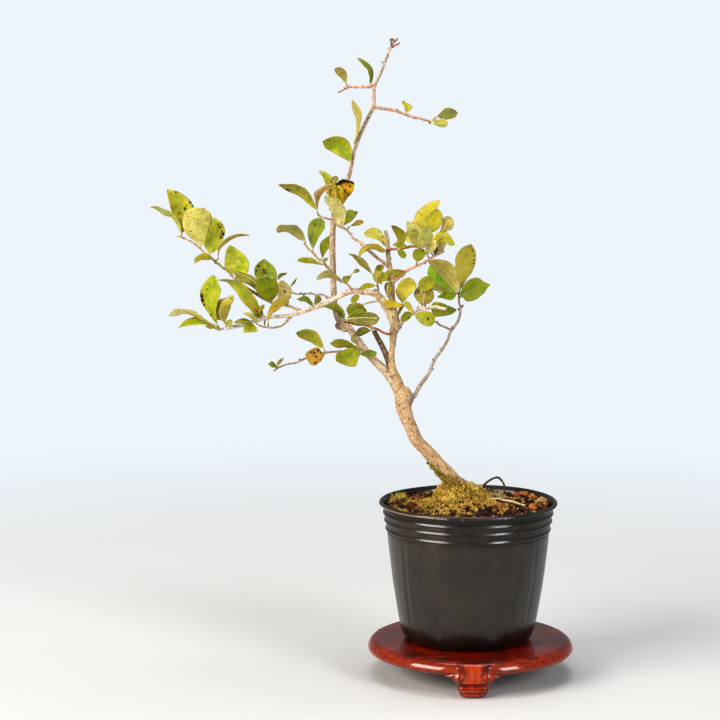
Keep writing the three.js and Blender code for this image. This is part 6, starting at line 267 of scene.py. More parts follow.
    {"n": "H2", "f": -1, "col": "br", "a": (-79.23, -13, 247.15), "up": (0.811, 0.336, -0.479), "st": ((-79.46, -14.46, 249.31, 0, 0, 0), (-79.78, -14.85, 251.32, 0.47, -1.37, 0.01), (-79.88, -15.56, 254.38, 1.08, -3.17, -0.12), (-79.19, -16.77, 258.24, 2.06, -4.57, -0.49), (-76.02, -18.29, 260.84, 1.48, -4.88, -0.47), (-72.96, -19.82, 262.57, 0.88, -3.49, -0.4), (-70.83, -21.03, 263.64, 0.3, -1.57, -0.1), (-69.76, -21.67, 264.16, 0, 0, 0))},
    {"n": "H3", "f": 1, "col": "yo", "a": (-73.02, -10.7, 249.61), "up": (0.458, -0.374, 0.807), "st": ((-70.95, -9.02, 258.88, 0, 0, 0), (-71.15, -8.5, 260.14, 0.89, 1.17, 0.25), (-71.47, -7.39, 262.03, 2.23, 2.53, 0.68), (-73.27, -5.33, 264.19, 2.44, 4.49, 0.81), (-75, -2.6, 266.64, 1.46, 5.03, 0.63), (-76.88, 0.24, 268.43, 0.89, 3.54, 0.73), (-78.46, 2.55, 269.09, 0.31, 1.58, 0.32), (-79.24, 3.79, 269.26, 0, 0, 0))},
    {"n": "H3b", "f": 1, "col": "br", "a": (-73.02, -10.7, 249.61), "up": (-0.199, -0.474, 0.858), "st": ((-71.99, -8.62, 261.98, 0, 0, 0), (-71.74, -8.03, 262.48, 0.4, -0.49, -0.15), (-71.38, -7.06, 263.23, 1.01, -1.04, -0.4), (-70.86, -5.59, 264.4, 1.43, -1.68, -0.53), (-70.22, -3.92, 265.65, 1.52, -1.62, -0.62), (-69.76, -2.34, 266.36, 1.06, -1.17, -0.41), (-69.56, -1.15, 266.67, 0.35, -0.62, -0.11), (-69.46, -0.52, 266.82, 0, 0, 0))},
    {"n": "H4", "f": 1, "col": "or", "a": (-68.42, 2.48, 251.55), "up": (0.361, -0.751, -0.553), "st": ((-66.86, 0.19, 251.06, 0, 0, 0), (-67.08, -0.76, 252.47, 0.64, -0.74, 0.81), (-67.41, -2.25, 254.57, 1.61, -1.46, 1.97), (-68.73, -4.38, 257.36, 2, -1.91, 3.43), (-71.23, -6.67, 259.27, 1.19, -1.81, 3.93), (-73.43, -8.73, 259.18, 0.32, -1.91, 2.5), (-74.67, -10.26, 258.79, -0.03, -1.01, 0.97), (-75.08, -11.04, 258.46, 0, 0, 0))},
    {"n": "H4b", "f": 1, "col": "or", "a": (-68.17, 2.34, 252.19), "up": (-0.168, -0.8, -0.576), "st": ((-66.34, 0.46, 251.57, 0, 0, 0), (-66.48, -0.93, 253.3, 0.75, 0.84, -0.57), (-66.57, -2.91, 255.83, 1.94, 1.65, -1.45), (-66.33, -5.39, 259.18, 3.39, 1.15, -2.56), (-64.61, -7.67, 262.07, 3.2, 0.37, -3.11), (-62.27, -9.46, 263.23, 1.67, 1.5, -2.22), (-60.84, -10.63, 263.67, 0.49, 0.9, -0.95), (-60.26, -11.19, 263.66, 0, 0, 0))},
    {"n": "H5", "f": -1, "col": "kh", "a": (-68.37, -7.72, 241.07), "up": (-0.591, 0.805, -0.053), "st": ((-68.36, -9.02, 241.16, 0, 0, 0), (-67.95, -9.41, 242.27, 1.68, -0.01, -0.06), (-67.81, -10.13, 245.17, 3.11, 0.62, 0.34), (-68.58, -11.34, 249.2, 3.67, 3.02, 0.62), (-70.58, -12.84, 252.97, 3.11, 3.63, 0.96), (-73.3, -14.33, 255.17, 2.06, 2.68, 0.66), (-74.9, -15.51, 256.65, 0.8, 1.28, 0.17), (-75.52, -16.14, 257.43, 0, 0, 0))},
    {"n": "H6", "f": 1, "col": "gr", "a": (-66.71, -6.94, 240.18), "up": (-0.081, -0.478, 0.875), "st": ((-66.3, -6.02, 240.96, 0, 0, 0), (-65.59, -5.03, 241.86, 0.29, -1.05, -0.34), (-64.64, -3.49, 243.24, 0.83, -2.33, -0.92), (-63.62, -1.33, 245.2, 1.68, -3.15, -1.74), (-61.93, 0.93, 246.78, 1.6, -3.16, -1.93), (-60.09, 2.95, 247.27, 0.9, -2.48, -1.09), (-58.97, 4.42, 247.54, 0.3, -1.16, -0.38), (-58.46, 5.17, 247.61, 0, 0, 0))},
    {"n": "H7", "f": 1, "col": "or", "a": (-64.21, -5.77, 238.85), "up": (-0.23, -0.457, -0.859), "st": ((-62.63, -6.69, 241, 0, 0, 0), (-61.89, -7.27, 241.36, 0.04, 0.8, -0.32), (-60.77, -8.26, 241.89, 0.1, 1.83, -0.78), (-59.24, -9.8, 242.48, 0.16, 2.67, -1.37), (-57.71, -11.6, 243.14, 0.15, 2.59, -1.62), (-56.47, -13.32, 243.58, 0.06, 1.78, -1.21), (-55.7, -14.65, 243.63, 0.02, 0.85, -0.44), (-55.32, -15.35, 243.66, 0, 0, 0))},
    {"n": "H8", "f": -1, "col": "br", "a": (-87.12, 13.9, 230.4), "up": (-0.066, 0.622, 0.78), "st": ((-86.15, 12.66, 231.19, 0, 0, 0), (-87.22, 12.18, 232.77, -0.52, 1.04, -0.87), (-89.09, 11.23, 234.85, -1.19, 2.17, -2.26), (-92.16, 9.55, 237.53, -0.89, 4.01, -2.92), (-95.9, 7.4, 238.77, -0.09, 4.55, -2.36), (-99.16, 5.2, 238.98, 0.23, 2.79, -2.29), (-101.04, 3.45, 237.95, 0.21, 0.97, -1.25), (-101.44, 2.51, 237.75, 0, 0, 0))},
    {"n": "H9", "f": 1, "col": "gr", "a": (-83.2, 11.27, 226.24), "up": (-0.45, -0.798, 0.401), "st": ((-82.43, 12.35, 226.95, 0, 0, 0), (-82.46, 12.43, 228.89, 0.8, -1.04, 0.11), (-82.34, 12.78, 231.71, 2.16, -2.15, 0.14), (-81.79, 13.67, 235.48, 3.73, -2.68, -0.06), (-80.52, 15.05, 239.3, 4.36, -1.6, -0.45), (-79.56, 16.6, 242.3, 3.2, -0.71, -0.32), (-79.33, 17.9, 243.58, 1.21, -0.81, 0.03), (-79.31, 18.62, 243.86, 0, 0, 0))},
    {"n": "H10", "f": 1, "col": "gr", "a": (-78, 8.56, 221.61), "up": (0.866, -0.488, 0.111), "st": ((-77.35, 10.68, 222.82, 0, 0, 0), (-77.24, 11.56, 224.04, 0.7, 1.03, -0.3), (-77.2, 13.05, 226.01, 1.49, 2.47, -0.65), (-76.38, 15.34, 228.47, 2.37, 3.56, -1.26), (-74.75, 17.98, 230.72, 2.15, 3.75, -1.35), (-73.52, 20.49, 232.59, 1.51, 2.61, -1.05), (-72.8, 22.42, 233.64, 0.5, 1.26, -0.4), (-72.44, 23.43, 234.16, 0, 0, 0))},
    {"n": "H11", "f": 1, "col": "ol", "a": (-76.05, 7.67, 219.97), "up": (0.377, -0.194, 0.906), "st": ((-76.48, 6.14, 219.73, 0, 0, 0), (-77.91, 4.73, 220.13, 0, -1.32, -0.29), (-80.04, 2.66, 220.93, 0.01, -3.08, -0.53), (-82.83, 0.02, 222.16, -0.01, -4.63, -0.87), (-85.77, -2.51, 222.92, 0.12, -4.68, -1.03), (-88.27, -4.56, 223.02, 0.22, -3.22, -0.99), (-89.78, -5.95, 222.8, 0.12, -1.43, -0.42), (-90.42, -6.64, 222.65, 0, 0, 0))},
    {"n": "H12", "f": -1, "col": "kh", "a": (-77.36, 8.32, 221.31), "up": (0.104, 0.466, 0.879), "st": ((-77.56, 7.4, 220.96, 0, 0, 0), (-77.23, 7.03, 221.17, 0.08, 0.48, -0.25), (-76.73, 6.41, 221.5, 0.19, 1.09, -0.6), (-76.09, 5.45, 222.1, 0.3, 1.66, -0.86), (-75.32, 4.33, 222.57, 0.26, 1.69, -0.89), (-74.76, 3.27, 223.09, 0.13, 1.14, -0.73), (-74.45, 2.46, 223.21, 0.04, 0.54, -0.27), (-74.3, 2.03, 223.26, 0, 0, 0))},
    {"n": "K1", "f": 1, "col": "yo", "a": (-65.53, -9.86, 211.74), "up": (0.214, -0.451, -0.867), "st": ((-65.77, -10.9, 211.47, 0, 0, 0), (-67.05, -11.88, 212.39, -0.12, 1.23, -0.81), (-69.02, -13.47, 214.12, -0.24, 3.02, -1.58), (-71.83, -15.86, 216.24, -0.13, 4.66, -2.16), (-75.12, -18.54, 216.89, 0.14, 4.73, -2.23), (-77.7, -21.06, 215.94, 0.23, 3.32, -1.6), (-79.26, -22.96, 214.91, 0.14, 1.32, -0.95), (-79.88, -23.95, 214.76, 0, 0, 0))},
    {"n": "K2", "f": 1, "col": "br", "a": (-65.05, -9.58, 211.39), "up": (-0.115, -0.62, -0.776), "st": ((-65.25, -10.43, 211.16, 0, 0, 0), (-65.21, -10.99, 211.59, 0.53, -0.03, -0.24), (-65.16, -11.86, 212.36, 1.23, -0.04, -0.52), (-64.91, -13.09, 213.63, 1.74, 0.52, -0.85), (-63.95, -14.4, 214.67, 1.39, 1.2, -0.89), (-63.07, -15.58, 215.31, 0.95, 0.96, -0.5), (-62.74, -16.44, 215.73, 0.34, 0.51, -0.19), (-62.6, -16.89, 215.94, 0, 0, 0))},
    {"n": "K3", "f": 1, "col": "br", "a": (-64.81, -9.44, 211.21), "up": (0.781, -0.386, -0.49), "st": ((-61.59, -8.59, 215.99, 0, 0, 0), (-61.2, -8.08, 216.25, 0.07, 0.57, -0.21), (-60.61, -7.28, 216.64, 0.17, 1.3, -0.5), (-59.82, -6.13, 217.15, 0.3, 1.9, -0.85), (-58.92, -4.9, 217.47, 0.37, 1.8, -1.1), (-58.19, -3.79, 217.49, 0.32, 1.21, -0.85), (-57.84, -2.97, 217.54, 0.11, 0.59, -0.31), (-57.66, -2.54, 217.56, 0, 0, 0))},
    {"n": "N1", "f": 1, "col": "dg", "a": (-77.91, -7.52, 199.59), "up": (-0.229, -0.479, -0.847), "st": ((-77.39, -5.69, 198.05, 0, 0, 0), (-75.89, -5.15, 198.58, -0.14, 1.34, -0.59), (-73.64, -4.03, 198.82, -0.48, 2.92, -1.65), (-70.61, -1.97, 197.85, -1.08, 4.4, -2.33), (-68.21, 0.75, 195.34, -1.32, 4.68, -1.81), (-66.8, 3.58, 192.61, -1.44, 3.16, -1.17), (-66.47, 5.86, 190.68, -0.61, 1.44, -0.42), (-66.45, 7.09, 189.77, 0, 0, 0))},
    {"n": "N2", "f": 1, "col": "gr", "a": (-81.75, -8.49, 198.19), "up": (0.641, -0.303, 0.705), "st": ((-82.02, -10.11, 199.3, 0, 0, 0), (-82.5, -10.72, 200.08, -0.42, -0.9, -0.38), (-83.48, -11.79, 201.38, -0.61, -2.29, -0.66), (-85.07, -13.53, 202.91, -0.61, -3.52, -0.95), (-87.05, -15.62, 203.73, -0.32, -3.64, -0.9), (-88.76, -17.67, 203.83, -0.1, -2.58, -0.61), (-89.84, -19.27, 203.75, -0.04, -1.16, -0.17), (-90.37, -20.12, 203.73, 0, 0, 0))},
    {"n": "N3", "f": 1, "col": "br", "a": (-80.63, -0.68, 204.43), "up": (0.199, -0.569, -0.798), "st": ((-81.41, -1.73, 198.97, 0, 0, 0), (-81.11, -2.43, 199.52, 0.38, 0.56, -0.29), (-80.67, -3.47, 200.38, 0.92, 1.26, -0.66), (-79.92, -4.85, 201.58, 1.38, 1.89, -1.02), (-79.1, -6.24, 202.85, 1.41, 1.94, -1), (-78.63, -7.42, 203.85, 0.95, 1.35, -0.79), (-78.46, -8.26, 204.26, 0.32, 0.67, -0.32), (-78.37, -8.68, 204.42, 0, 0, 0))},
    {"n": "P1", "f": 1, "col": "kg", "a": (-63.82, 10.89, 312.66), "up": (0.048, -0.629, -0.776), "st": ((-64.77, 10.04, 315.18, 0, 0, 0), (-64.91, 8.98, 316.12, 0.58, -0.61, 0.43), (-65.33, 7.43, 317.6, 1.11, -1.53, 1.07), (-66.12, 5.41, 319.64, 1.28, -2.46, 1.74), (-67.84, 3.46, 321.09, 0.98, -2.46, 2.02), (-69.5, 1.84, 321.84, 0.48, -1.62, 1.64), (-70.37, 0.73, 322.03, 0.08, -0.76, 0.71), (-70.7, 0.19, 321.93, 0, 0, 0))},
    {"n": "P2", "f": 1, "col": "gr", "a": (-51.96, 3.12, 313.53), "up": (0.721, -0.333, 0.607), "st": ((-52.16, 4.51, 314.15, 0, 0, 0), (-51.75, 5.3, 315.77, 0.57, 1.05, -0.11), (-51.49, 6.57, 318.36, 1.08, 2.56, -0.1), (-52.06, 8.38, 321.75, 1.53, 3.89, 0.13), (-54.16, 10.34, 324.6, 1.31, 4.03, 0.36), (-56.29, 12.12, 326.73, 0.87, 2.83, 0.48), (-58.01, 13.44, 327.78, 0.47, 1.2, 0.33), (-58.72, 14.12, 328.25, 0, 0, 0))},
    {"n": "P3", "f": -1, "col": "kh", "a": (-59.12, -3.49, 283.67), "up": (0.947, 0.286, 0.15), "st": ((-60.53, -4.78, 284.17, 0, 0, 0), (-59.59, -5.09, 286.36, 0.3, -1.6, 0.17), (-58.58, -5.67, 289.75, 0.78, -3.68, 0.44), (-58.1, -6.66, 294.45, 1.39, -5.47, 0.8), (-58.38, -7.89, 299.14, 1.6, -5.48, 0.99), (-60.05, -9.12, 302.78, 1.17, -3.85, 0.73), (-60.95, -10.1, 305.43, 0.79, -1.57, 0.44), (-61.28, -10.62, 306.5, 0, 0, 0))},
    {"n": "R2", "f": 1, "col": "or", "a": (-33.75, -7.92, 299.07), "up": (0.554, -0.444, 0.704), "st": ((-33.5, -6.97, 299.75, 0, 0, 0), (-33.18, -6.54, 300.43, 0.56, 0.65, -0.12), (-32.7, -5.74, 301.44, 1.41, 1.41, -0.26), (-32.21, -4.41, 302.9, 2.39, 1.82, -0.26), (-33.24, -2.76, 304.33, 2.08, 2.25, -0.17), (-34.21, -1.11, 305.16, 1.29, 1.67, -0.48), (-34.37, 0.19, 305.82, 0.46, 0.81, -0.21), (-34.4, 0.88, 306.12, 0, 0, 0))},
    {"n": "R3", "f": 1, "col": "gr", "a": (-20.24, -15, 295.77), "up": (0.629, -0.573, -0.526), "st": ((-17.63, -13.94, 298.06, 0, 0, 0), (-16.62, -12.89, 298.26, 0.13, 0.82, -0.9), (-14.99, -11.27, 298.63, 0.32, 1.95, -2.02), (-12.58, -9.04, 299.14, 0.44, 3.05, -2.92), (-10.04, -6.71, 299.45, 0.4, 3.19, -2.9), (-7.99, -4.66, 299.53, 0.27, 2.34, -1.94), (-6.85, -3.18, 299.63, 0.09, 1.16, -0.69), (-6.28, -2.42, 299.68, 0, 0, 0))},
    {"n": "R4", "f": -1, "col": "ol", "a": (-20.74, -14.74, 295.82), "up": (0.686, 0.526, 0.502), "st": ((-20.78, -15.8, 295.79, 0, 0, 0), (-19.87, -16.56, 295.62, -0.1, 0.78, -0.51), (-18.52, -17.78, 295.36, -0.25, 1.74, -1.25), (-16.62, -19.59, 294.96, -0.38, 2.66, -1.82), (-14.76, -21.6, 295.08, -0.4, 2.18, -2.44), (-13.38, -23.48, 294.58, -0.22, 1.56, -1.72), (-12.69, -24.88, 294.51, -0.1, 0.81, -0.63), (-12.39, -25.62, 294.45, 0, 0, 0))},
    {"n": "S1", "f": 1, "col": "lg", "a": (-61.51, -1.85, 274.08), "up": (0.257, -0.914, -0.315), "st": ((-62.1, -3.76, 274.26, 0, 0, 0), (-62.79, -4.08, 275.92, 1.06, 0.12, 0.97), (-63.97, -4.72, 278.55, 2.34, 0.28, 2.19), (-66.76, -5.88, 281.74, 2.92, 0.47, 3.69), (-70.55, -7.38, 283.91, 2.03, -1.97, 3.81), (-74.12, -8.94, 284.49, 1.26, -1.2, 2.86), (-76.07, -10.19, 284.89, 0.33, -0.8, 1.2), (-76.85, -10.87, 284.87, 0, 0, 0))},
    {"n": "Z1", "f": 1, "col": "ye", "a": (-42.83, 1.04, 229.48), "up": (-0.006, -0.54, 0.842), "st": ((-43.67, 2.64, 229.29, 0, 0, 0), (-44.24, 3.48, 230.68, -0.58, -0.96, -0.46), (-45.36, 4.82, 232.76, -1.1, -2.34, -1.06), (-47.44, 6.77, 235.26, -1.28, -3.58, -1.79), (-50.55, 8.9, 236.44, -0.89, -3.52, -2.27), (-53.43, 10.85, 236.14, -0.45, -2.3, -1.9), (-54.93, 12.3, 235.89, -0.1, -1.13, -0.71), (-55.54, 13.05, 235.7, 0, 0, 0))},
    {"n": "Z2", "f": 1, "col": "yo", "a": (-42.72, 0.86, 227.91), "up": (0.536, -0.499, -0.681), "st": ((-43.72, -1.74, 228.05, 0, 0, 0), (-45.02, -2.67, 227.95, 0.34, 0.15, -1.29), (-47.38, -4.21, 229.24, 0.42, 2.35, -1.99), (-50.9, -6.5, 230.17, 0.78, 4.24, -1.8), (-54.41, -9.08, 229.65, 0.99, 4.28, -1.82), (-56.66, -11.5, 227.83, 0.76, 3.09, -1.09), (-57.7, -13.33, 226.16, 0.36, 1.36, -0.47), (-58.18, -14.29, 225.37, 0, 0, 0))},
    {"n": "Z3", "f": -1, "col": "kh", "a": (-46.85, -1.07, 210.56), "up": (-0.718, 0.32, -0.618), "st": ((-51.09, -3.06, 215.5, 0, 0, 0), (-51.98, -3.81, 216.88, -0.53, -1.03, -0.34), (-53.52, -4.92, 219.03, -0.9, -2.58, -0.57), (-55.86, -6.39, 221.61, -1.25, -3.9, -0.91), (-58.57, -7.84, 223.85, -0.89, -4.13, -0.64), (-60.97, -9.06, 225.57, -0.49, -2.94, -0.43), (-62.76, -9.91, 226.51, -0.18, -1.31, -0.17), (-63.67, -10.34, 226.88, 0, 0, 0))},
    {"n": "Z4", "f": 1, "col": "dg", "a": (-45.8, -1.12, 210.04), "up": (0.816, -0.571, 0.088), "st": ((-48.95, 0.68, 214.64, 0, 0, 0), (-48.8, 1.41, 215.18, 0.5, 0.51, -0.34), (-48.57, 2.54, 215.99, 1.26, 1.05, -0.83), (-47.7, 4.08, 217.16, 1.53, 1.9, -1.29), (-46.56, 5.67, 218.2, 1.33, 2.06, -1.37), (-45.52, 7.07, 218.83, 0.85, 1.51, -0.97), (-44.94, 8.08, 219.12, 0.28, 0.75, -0.35), (-44.65, 8.59, 219.26, 0, 0, 0))},
    {"n": "Z5", "f": -1, "col": "kg", "a": (-48.36, -7.83, 210.69), "up": (0.641, 0.664, 0.385), "st": ((-48.49, -8.68, 210.74, 0, 0, 0), (-48.53, -9.07, 211.5, 0.68, -0.4, -0.17), (-48.57, -9.86, 212.72, 1.58, -0.86, -0.42), (-48.38, -11.26, 214.69, 2.25, -1.42, -0.81), (-47.41, -13.07, 216.53, 2.02, -1.7, -1.02), (-46.23, -14.94, 217.55, 1.29, -1.37, -0.67), (-45.71, -16.43, 218.06, 0.43, -0.75, -0.18), (-45.45, -17.24, 218.32, 0, 0, 0))},
    {"n": "Z6", "f": 1, "col": "gr", "a": (-48.46, -7.96, 211.07), "up": (0.5, -0.605, -0.619), "st": ((-47.95, -6.31, 211.05, 0, 0, 0), (-46.68, -5.35, 212.08, 0.32, 1.17, -0.69), (-44.7, -3.94, 213.39, 0.83, 2.49, -1.87), (-41.6, -2.11, 214.67, 1.09, 3.71, -2.92), (-38.08, -0.34, 215.31, 0.88, 3.89, -2.91), (-35.14, 1.12, 215.67, 0.6, 2.68, -2.14), (-33.38, 2.12, 215.95, 0.21, 1.28, -0.83), (-32.55, 2.62, 216.06, 0, 0, 0))},
    {"n": "Z8", "f": 1, "col": "yo", "a": (-48.14, -7.52, 209.8), "up": (0.141, -0.261, 0.955), "st": ((-49.02, -9.2, 209.74, 0, 0, 0), (-49.89, -9.95, 210.03, -0.07, -1.02, -0.45), (-51.36, -11.19, 210.18, 0.01, -2.44, -0.82), (-53.41, -13.06, 210.1, 0.17, -3.74, -0.97), (-55.41, -15.18, 209.68, 0.31, -3.8, -1.01), (-56.97, -17.17, 209.29, 0.27, -2.69, -0.66), (-57.95, -18.68, 209.01, 0.09, -1.21, -0.18), (-58.44, -19.46, 208.88, 0, 0, 0))},
    {"n": "Z9", "f": -1, "col": "br", "a": (-40.83, -0.99, 211.66), "up": (0.706, 0.435, -0.559), "st": ((-41.61, -3.38, 211.83, 0, 0, 0), (-41.82, -4.13, 211.19, 0.76, -0.67, -0.05), (-42.27, -5.35, 210.19, 1.77, -1.52, -0.19), (-42.62, -7.18, 208.35, 2.15, -2.79, 0.01), (-42.51, -9.23, 206.57, 1.43, -3.29, 0.12), (-42.65, -11.14, 205.09, 0.77, -2.41, 0.15), (-42.75, -12.59, 204.07, 0.27, -1.08, 0.09), (-42.78, -13.34, 203.57, 0, 0, 0))},
    {"n": "Z10", "f": 1, "col": "yg", "a": (-38.93, -2.49, 192.15), "up": (-0.38, -0.791, -0.48), "st": ((-35.3, -5.02, 199.84, 0, 0, 0), (-35.08, -5.99, 201.42, 1.07, -0.79, -0.07), (-35.05, -7.52, 203.79, 2.72, -1.43, -0.03), (-34.26, -9.7, 207.21, 4.19, -1.94, -0.29), (-32.49, -12.02, 210.55, 4.56, -0.99, -0.62), (-32.07, -14.12, 213.24, 2.91, -1.58, -0.28), (-31.94, -15.66, 214.43, 1.04, -1.04, -0.01), (-31.91, -16.46, 214.86, 0, 0, 0))},
    {"n": "Z11", "f": 1, "col": "ye", "a": (-38.4, -2.49, 192.15), "up": (0.521, -0.331, 0.786), "st": ((-34.25, -5.42, 199.35, 0, 0, 0), (-35.36, -6.14, 199.31, 0.06, -1.09, -0.45), (-37.11, -7.39, 199.45, 0.07, -2.56, -0.94), (-39.53, -9.37, 199.94, -0.01, -3.85, -1.43), (-41.97, -11.7, 200.6, -0.04, -3.8, -1.74), (-43.99, -13.97, 201.15, 0.04, -2.56, -1.47), (-44.84, -15.72, 201.49, 0.08, -1.19, -0.53), (-45.16, -16.64, 201.55, 0, 0, 0))},
    {"n": "Z12", "f": 1, "col": "or", "a": (-37.87, -2.49, 192.15), "up": (-0.119, -0.505, 0.855), "st": ((-34.77, -4.82, 199.82, 0, 0, 0), (-34.23, -5.64, 199.88, -0.17, -0.52, -0.51), (-33.41, -6.84, 199.98, -0.43, -1.06, -1.3), (-32.21, -8.4, 199.33, -0.71, -2.09, -1.36), (-31.21, -9.92, 198.28, -0.76, -2.27, -1.12), (-30.38, -11.18, 197.6, -0.53, -1.68, -0.61), (-29.91, -12.05, 197.15, -0.18, -0.79, -0.17), (-29.68, -12.48, 196.92, 0, 0, 0))},
    {"n": "CC1", "f": 1, "col": "gr", "a": (-29.75, -10.26, 195.54), "up": (0.8, -0.587, -0.126), "st": ((-29.66, -11.72, 195.52, 0, 0, 0), (-30.32, -12.31, 195.44, 0.27, 0.49, -0.68), (-31.31, -13.31, 195.27, 0.69, 1.02, -1.61), (-32.94, -14.84, 194.7, 1.08, 1.89, -2.13), (-34.4, -16.6, 193.73, 1.09, 2.21, -1.88), (-35.46, -18.26, 192.88, 0.84, 1.56, -1.28), (-35.98, -19.54, 192.63, 0.38, 0.76, -0.46), (-36.09, -20.21, 192.51, 0, 0, 0))},
    {"n": "CC2", "f": 1, "col": "yg", "a": (-29.42, -10.55, 195.81), "up": (-0.706, -0.706, 0.058), "st": ((-28.62, -12.21, 194.79, 0, 0, 0), (-27.88, -12.91, 194.73, -0.32, -0.15, -1.21), (-26.29, -14.14, 194.38, -0.76, -0.02, -2.49), (-23.79, -16.09, 193.71, -1.19, 1.1, -3.55), (-21.2, -18.39, 192.94, -1.29, 1.28, -3.54), (-19.4, -20.63, 192.34, -0.9, 1.19, -2.38), (-18.94, -22.37, 192.23, -0.34, 0.76, -0.92), (-19.04, -23.28, 192.33, 0, 0, 0))},
    {"n": "CC3", "f": 1, "col": "ol", "a": (-20.45, -17.09, 199.28), "up": (0.474, -0.712, -0.517), "st": ((-20.36, -15.03, 198.76, 0, 0, 0), (-19.9, -13.94, 198.6, 0.12, -0.22, -1.73), (-18.7, -12.3, 197.86, -0.24, -0.49, -3.83), (-15.53, -10.09, 197.32, -0.37, 2.68, -3.82), (-12, -7.86, 196.73, -0.13, 3.59, -3.14), (-9.02, -5.94, 196.49, 0.02, 2.56, -2.18), (-7.2, -4.57, 196.52, 0.01, 1.27, -0.78), (-6.29, -3.89, 196.54, 0, 0, 0))},
    {"n": "CC4", "f": -1, "col": "br", "a": (-24.79, -14.26, 198.29), "up": (-0.033, 0.717, -0.696), "st": ((-25, -13.2, 199.62, 0, 0, 0), (-24.73, -12.45, 200.4, 1.37, -0.03, -0.25), (-24.28, -11.18, 201.56, 3.4, -0.08, -0.63), (-23.83, -9.22, 204.2, 4.98, -0.08, -0.66), (-23.7, -6.94, 207.09, 4.7, -0.05, -0.43), (-23.6, -4.75, 208.86, 2.94, -1.05, 0.08), (-23.65, -3.07, 209.01, 0.98, -0.97, 0.1), (-23.68, -2.19, 209.08, 0, 0, 0))},
    {"n": "CC5", "f": 1, "col": "yg", "a": (-25.04, -14.32, 200.26), "up": (0.558, -0.694, 0.455), "st": ((-25.54, -12.66, 206.92, 0, 0, 0), (-25.17, -11.82, 207.56, 0.96, 0.34, -0.52), (-24.64, -10.48, 208.61, 2.37, 0.21, -1.14), (-23.24, -8.55, 210.41, 3.31, 1.08, -1.9), (-21.53, -6.44, 212.14, 3.09, 1.74, -1.93), (-20.55, -4.52, 213.48, 1.95, 1.63, -1.29), (-20.19, -3.09, 213.9, 0.65, 0.97, -0.48), (-20.01, -2.35, 214.11, 0, 0, 0))},
    {"n": "DD1", "f": 1, "col": "bg", "a": (-4.21, 19.89, 202.69), "up": (-0.37, -0.929, 0.017), "st": ((-5.77, 21.01, 202.58, 0, 0, 0), (-7.41, 21.22, 203.3, 0.98, 0.17, 1.36), (-9.83, 21.67, 205.02, 2.43, 0.35, 2.76), (-13.35, 22.52, 208.12, 3.6, -1.05, 3.56), (-16.51, 23.64, 211.72, 3.56, -2.37, 3.07), (-18.48, 24.82, 214.97, 2.5, -1.98, 1.91), (-19.37, 25.78, 216.95, 1, -1.08, 0.73), (-19.65, 26.29, 217.77, 0, 0, 0))},
    {"n": "DD2", "f": -1, "col": "kh", "a": (-4.21, 20, 203.21), "up": (0.279, 0.778, 0.562), "st": ((-4.82, 18.48, 203.9, 0, 0, 0), (-5.47, 18.23, 206.02, 1.26, -0.7, 0.9), (-6.96, 17.72, 209.29, 2.51, -2.05, 2.2), (-9.76, 16.79, 213.72, 3.07, -3.56, 3.57), (-13.59, 15.57, 217.35, 2.25, -4.19, 3.67), (-17.3, 14.3, 219.62, 1.12, -3.04, 2.74), (-19.94, 13.28, 220.42, 0.31, -1.43, 1.17), (-21.16, 12.73, 220.51, 0, 0, 0))},
    {"n": "DD3", "f": 1, "col": "ol", "a": (-4.21, 20, 203.21), "up": (0.476, -0.824, -0.307), "st": ((-3.72, 19.08, 204.92, 0, 0, 0), (-3.19, 18.56, 207.51, 0.86, 1.42, -0.59), (-2.68, 17.73, 211.6, 2.35, 3.13, -1.1), (-1.82, 16.53, 216.79, 4.88, 3.27, -1.7), (-0.6, 15.22, 222.38, 5.42, 2.48, -1.77), (0.76, 14.02, 226.74, 3.66, 2.1, -1.22), (1.52, 13.13, 229.14, 1.4, 1.28, -0.42), (1.7, 12.67, 230.13, 0, 0, 0))},
    {"n": "DD4", "f": 1, "col": "gr", "a": (-4.22, 19.68, 201.63), "up": (-0.494, -0.866, 0.084), "st": ((-4.29, 17.95, 201.8, 0, 0, 0), (-2.94, 17.35, 202.46, 0.55, -0.2, -1.54), (-1.08, 16.31, 203.15, 0.99, -0.52, -4.05), (2.47, 14.64, 205.41, 1.56, -0.68, -5.33), (6.28, 12.66, 207.44, 1.13, -0.6, -4.69), (9.03, 10.74, 208.12, 0.6, -2.5, -2.11), (10.98, 9.24, 208.6, 0.21, -1.33, -0.6), (11.99, 8.45, 208.88, 0, 0, 0))},
    {"n": "DD5", "f": 1, "col": "yg", "a": (-4.21, 19.89, 202.69), "up": (0.38, -0.436, 0.816), "st": ((-5.34, 18.57, 202.81, 0, 0, 0), (-6.23, 17.68, 202.75, 0.14, -0.72, -0.8), (-7.6, 16.26, 202.57, 0.4, -1.54, -1.96), (-10.01, 14.19, 202.66, 0.5, -3.02, -2.24), (-12.45, 11.93, 202.5, 0.36, -3.55, -1.45), (-14.43, 9.85, 202.4, 0.2, -2.62, -0.72), (-15.78, 8.31, 202.33, 0.07, -1.19, -0.2), (-16.46, 7.51, 202.29, 0, 0, 0))},
    {"n": "DD6", "f": -1, "col": "br", "a": (-4.21, 20, 203.21), "up": (-0.113, 0.421, 0.9), "st": ((-8.06, 17.88, 203.96, 0, 0, 0), (-9.38, 16.75, 204.47, -0.07, 1.24, -0.56), (-11.35, 15.03, 205.25, -0.17, 2.83, -1.34), (-13.97, 12.69, 206.53, -0.22, 4.3, -1.94), (-16.73, 10.29, 207.26, -0.18, 4.3, -2.14), (-19.03, 8.22, 207.61, -0.08, 3.04, -1.5), (-20.55, 6.73, 207.72, -0.03, 1.4, -0.55), (-21.31, 5.98, 207.78, 0, 0, 0))},
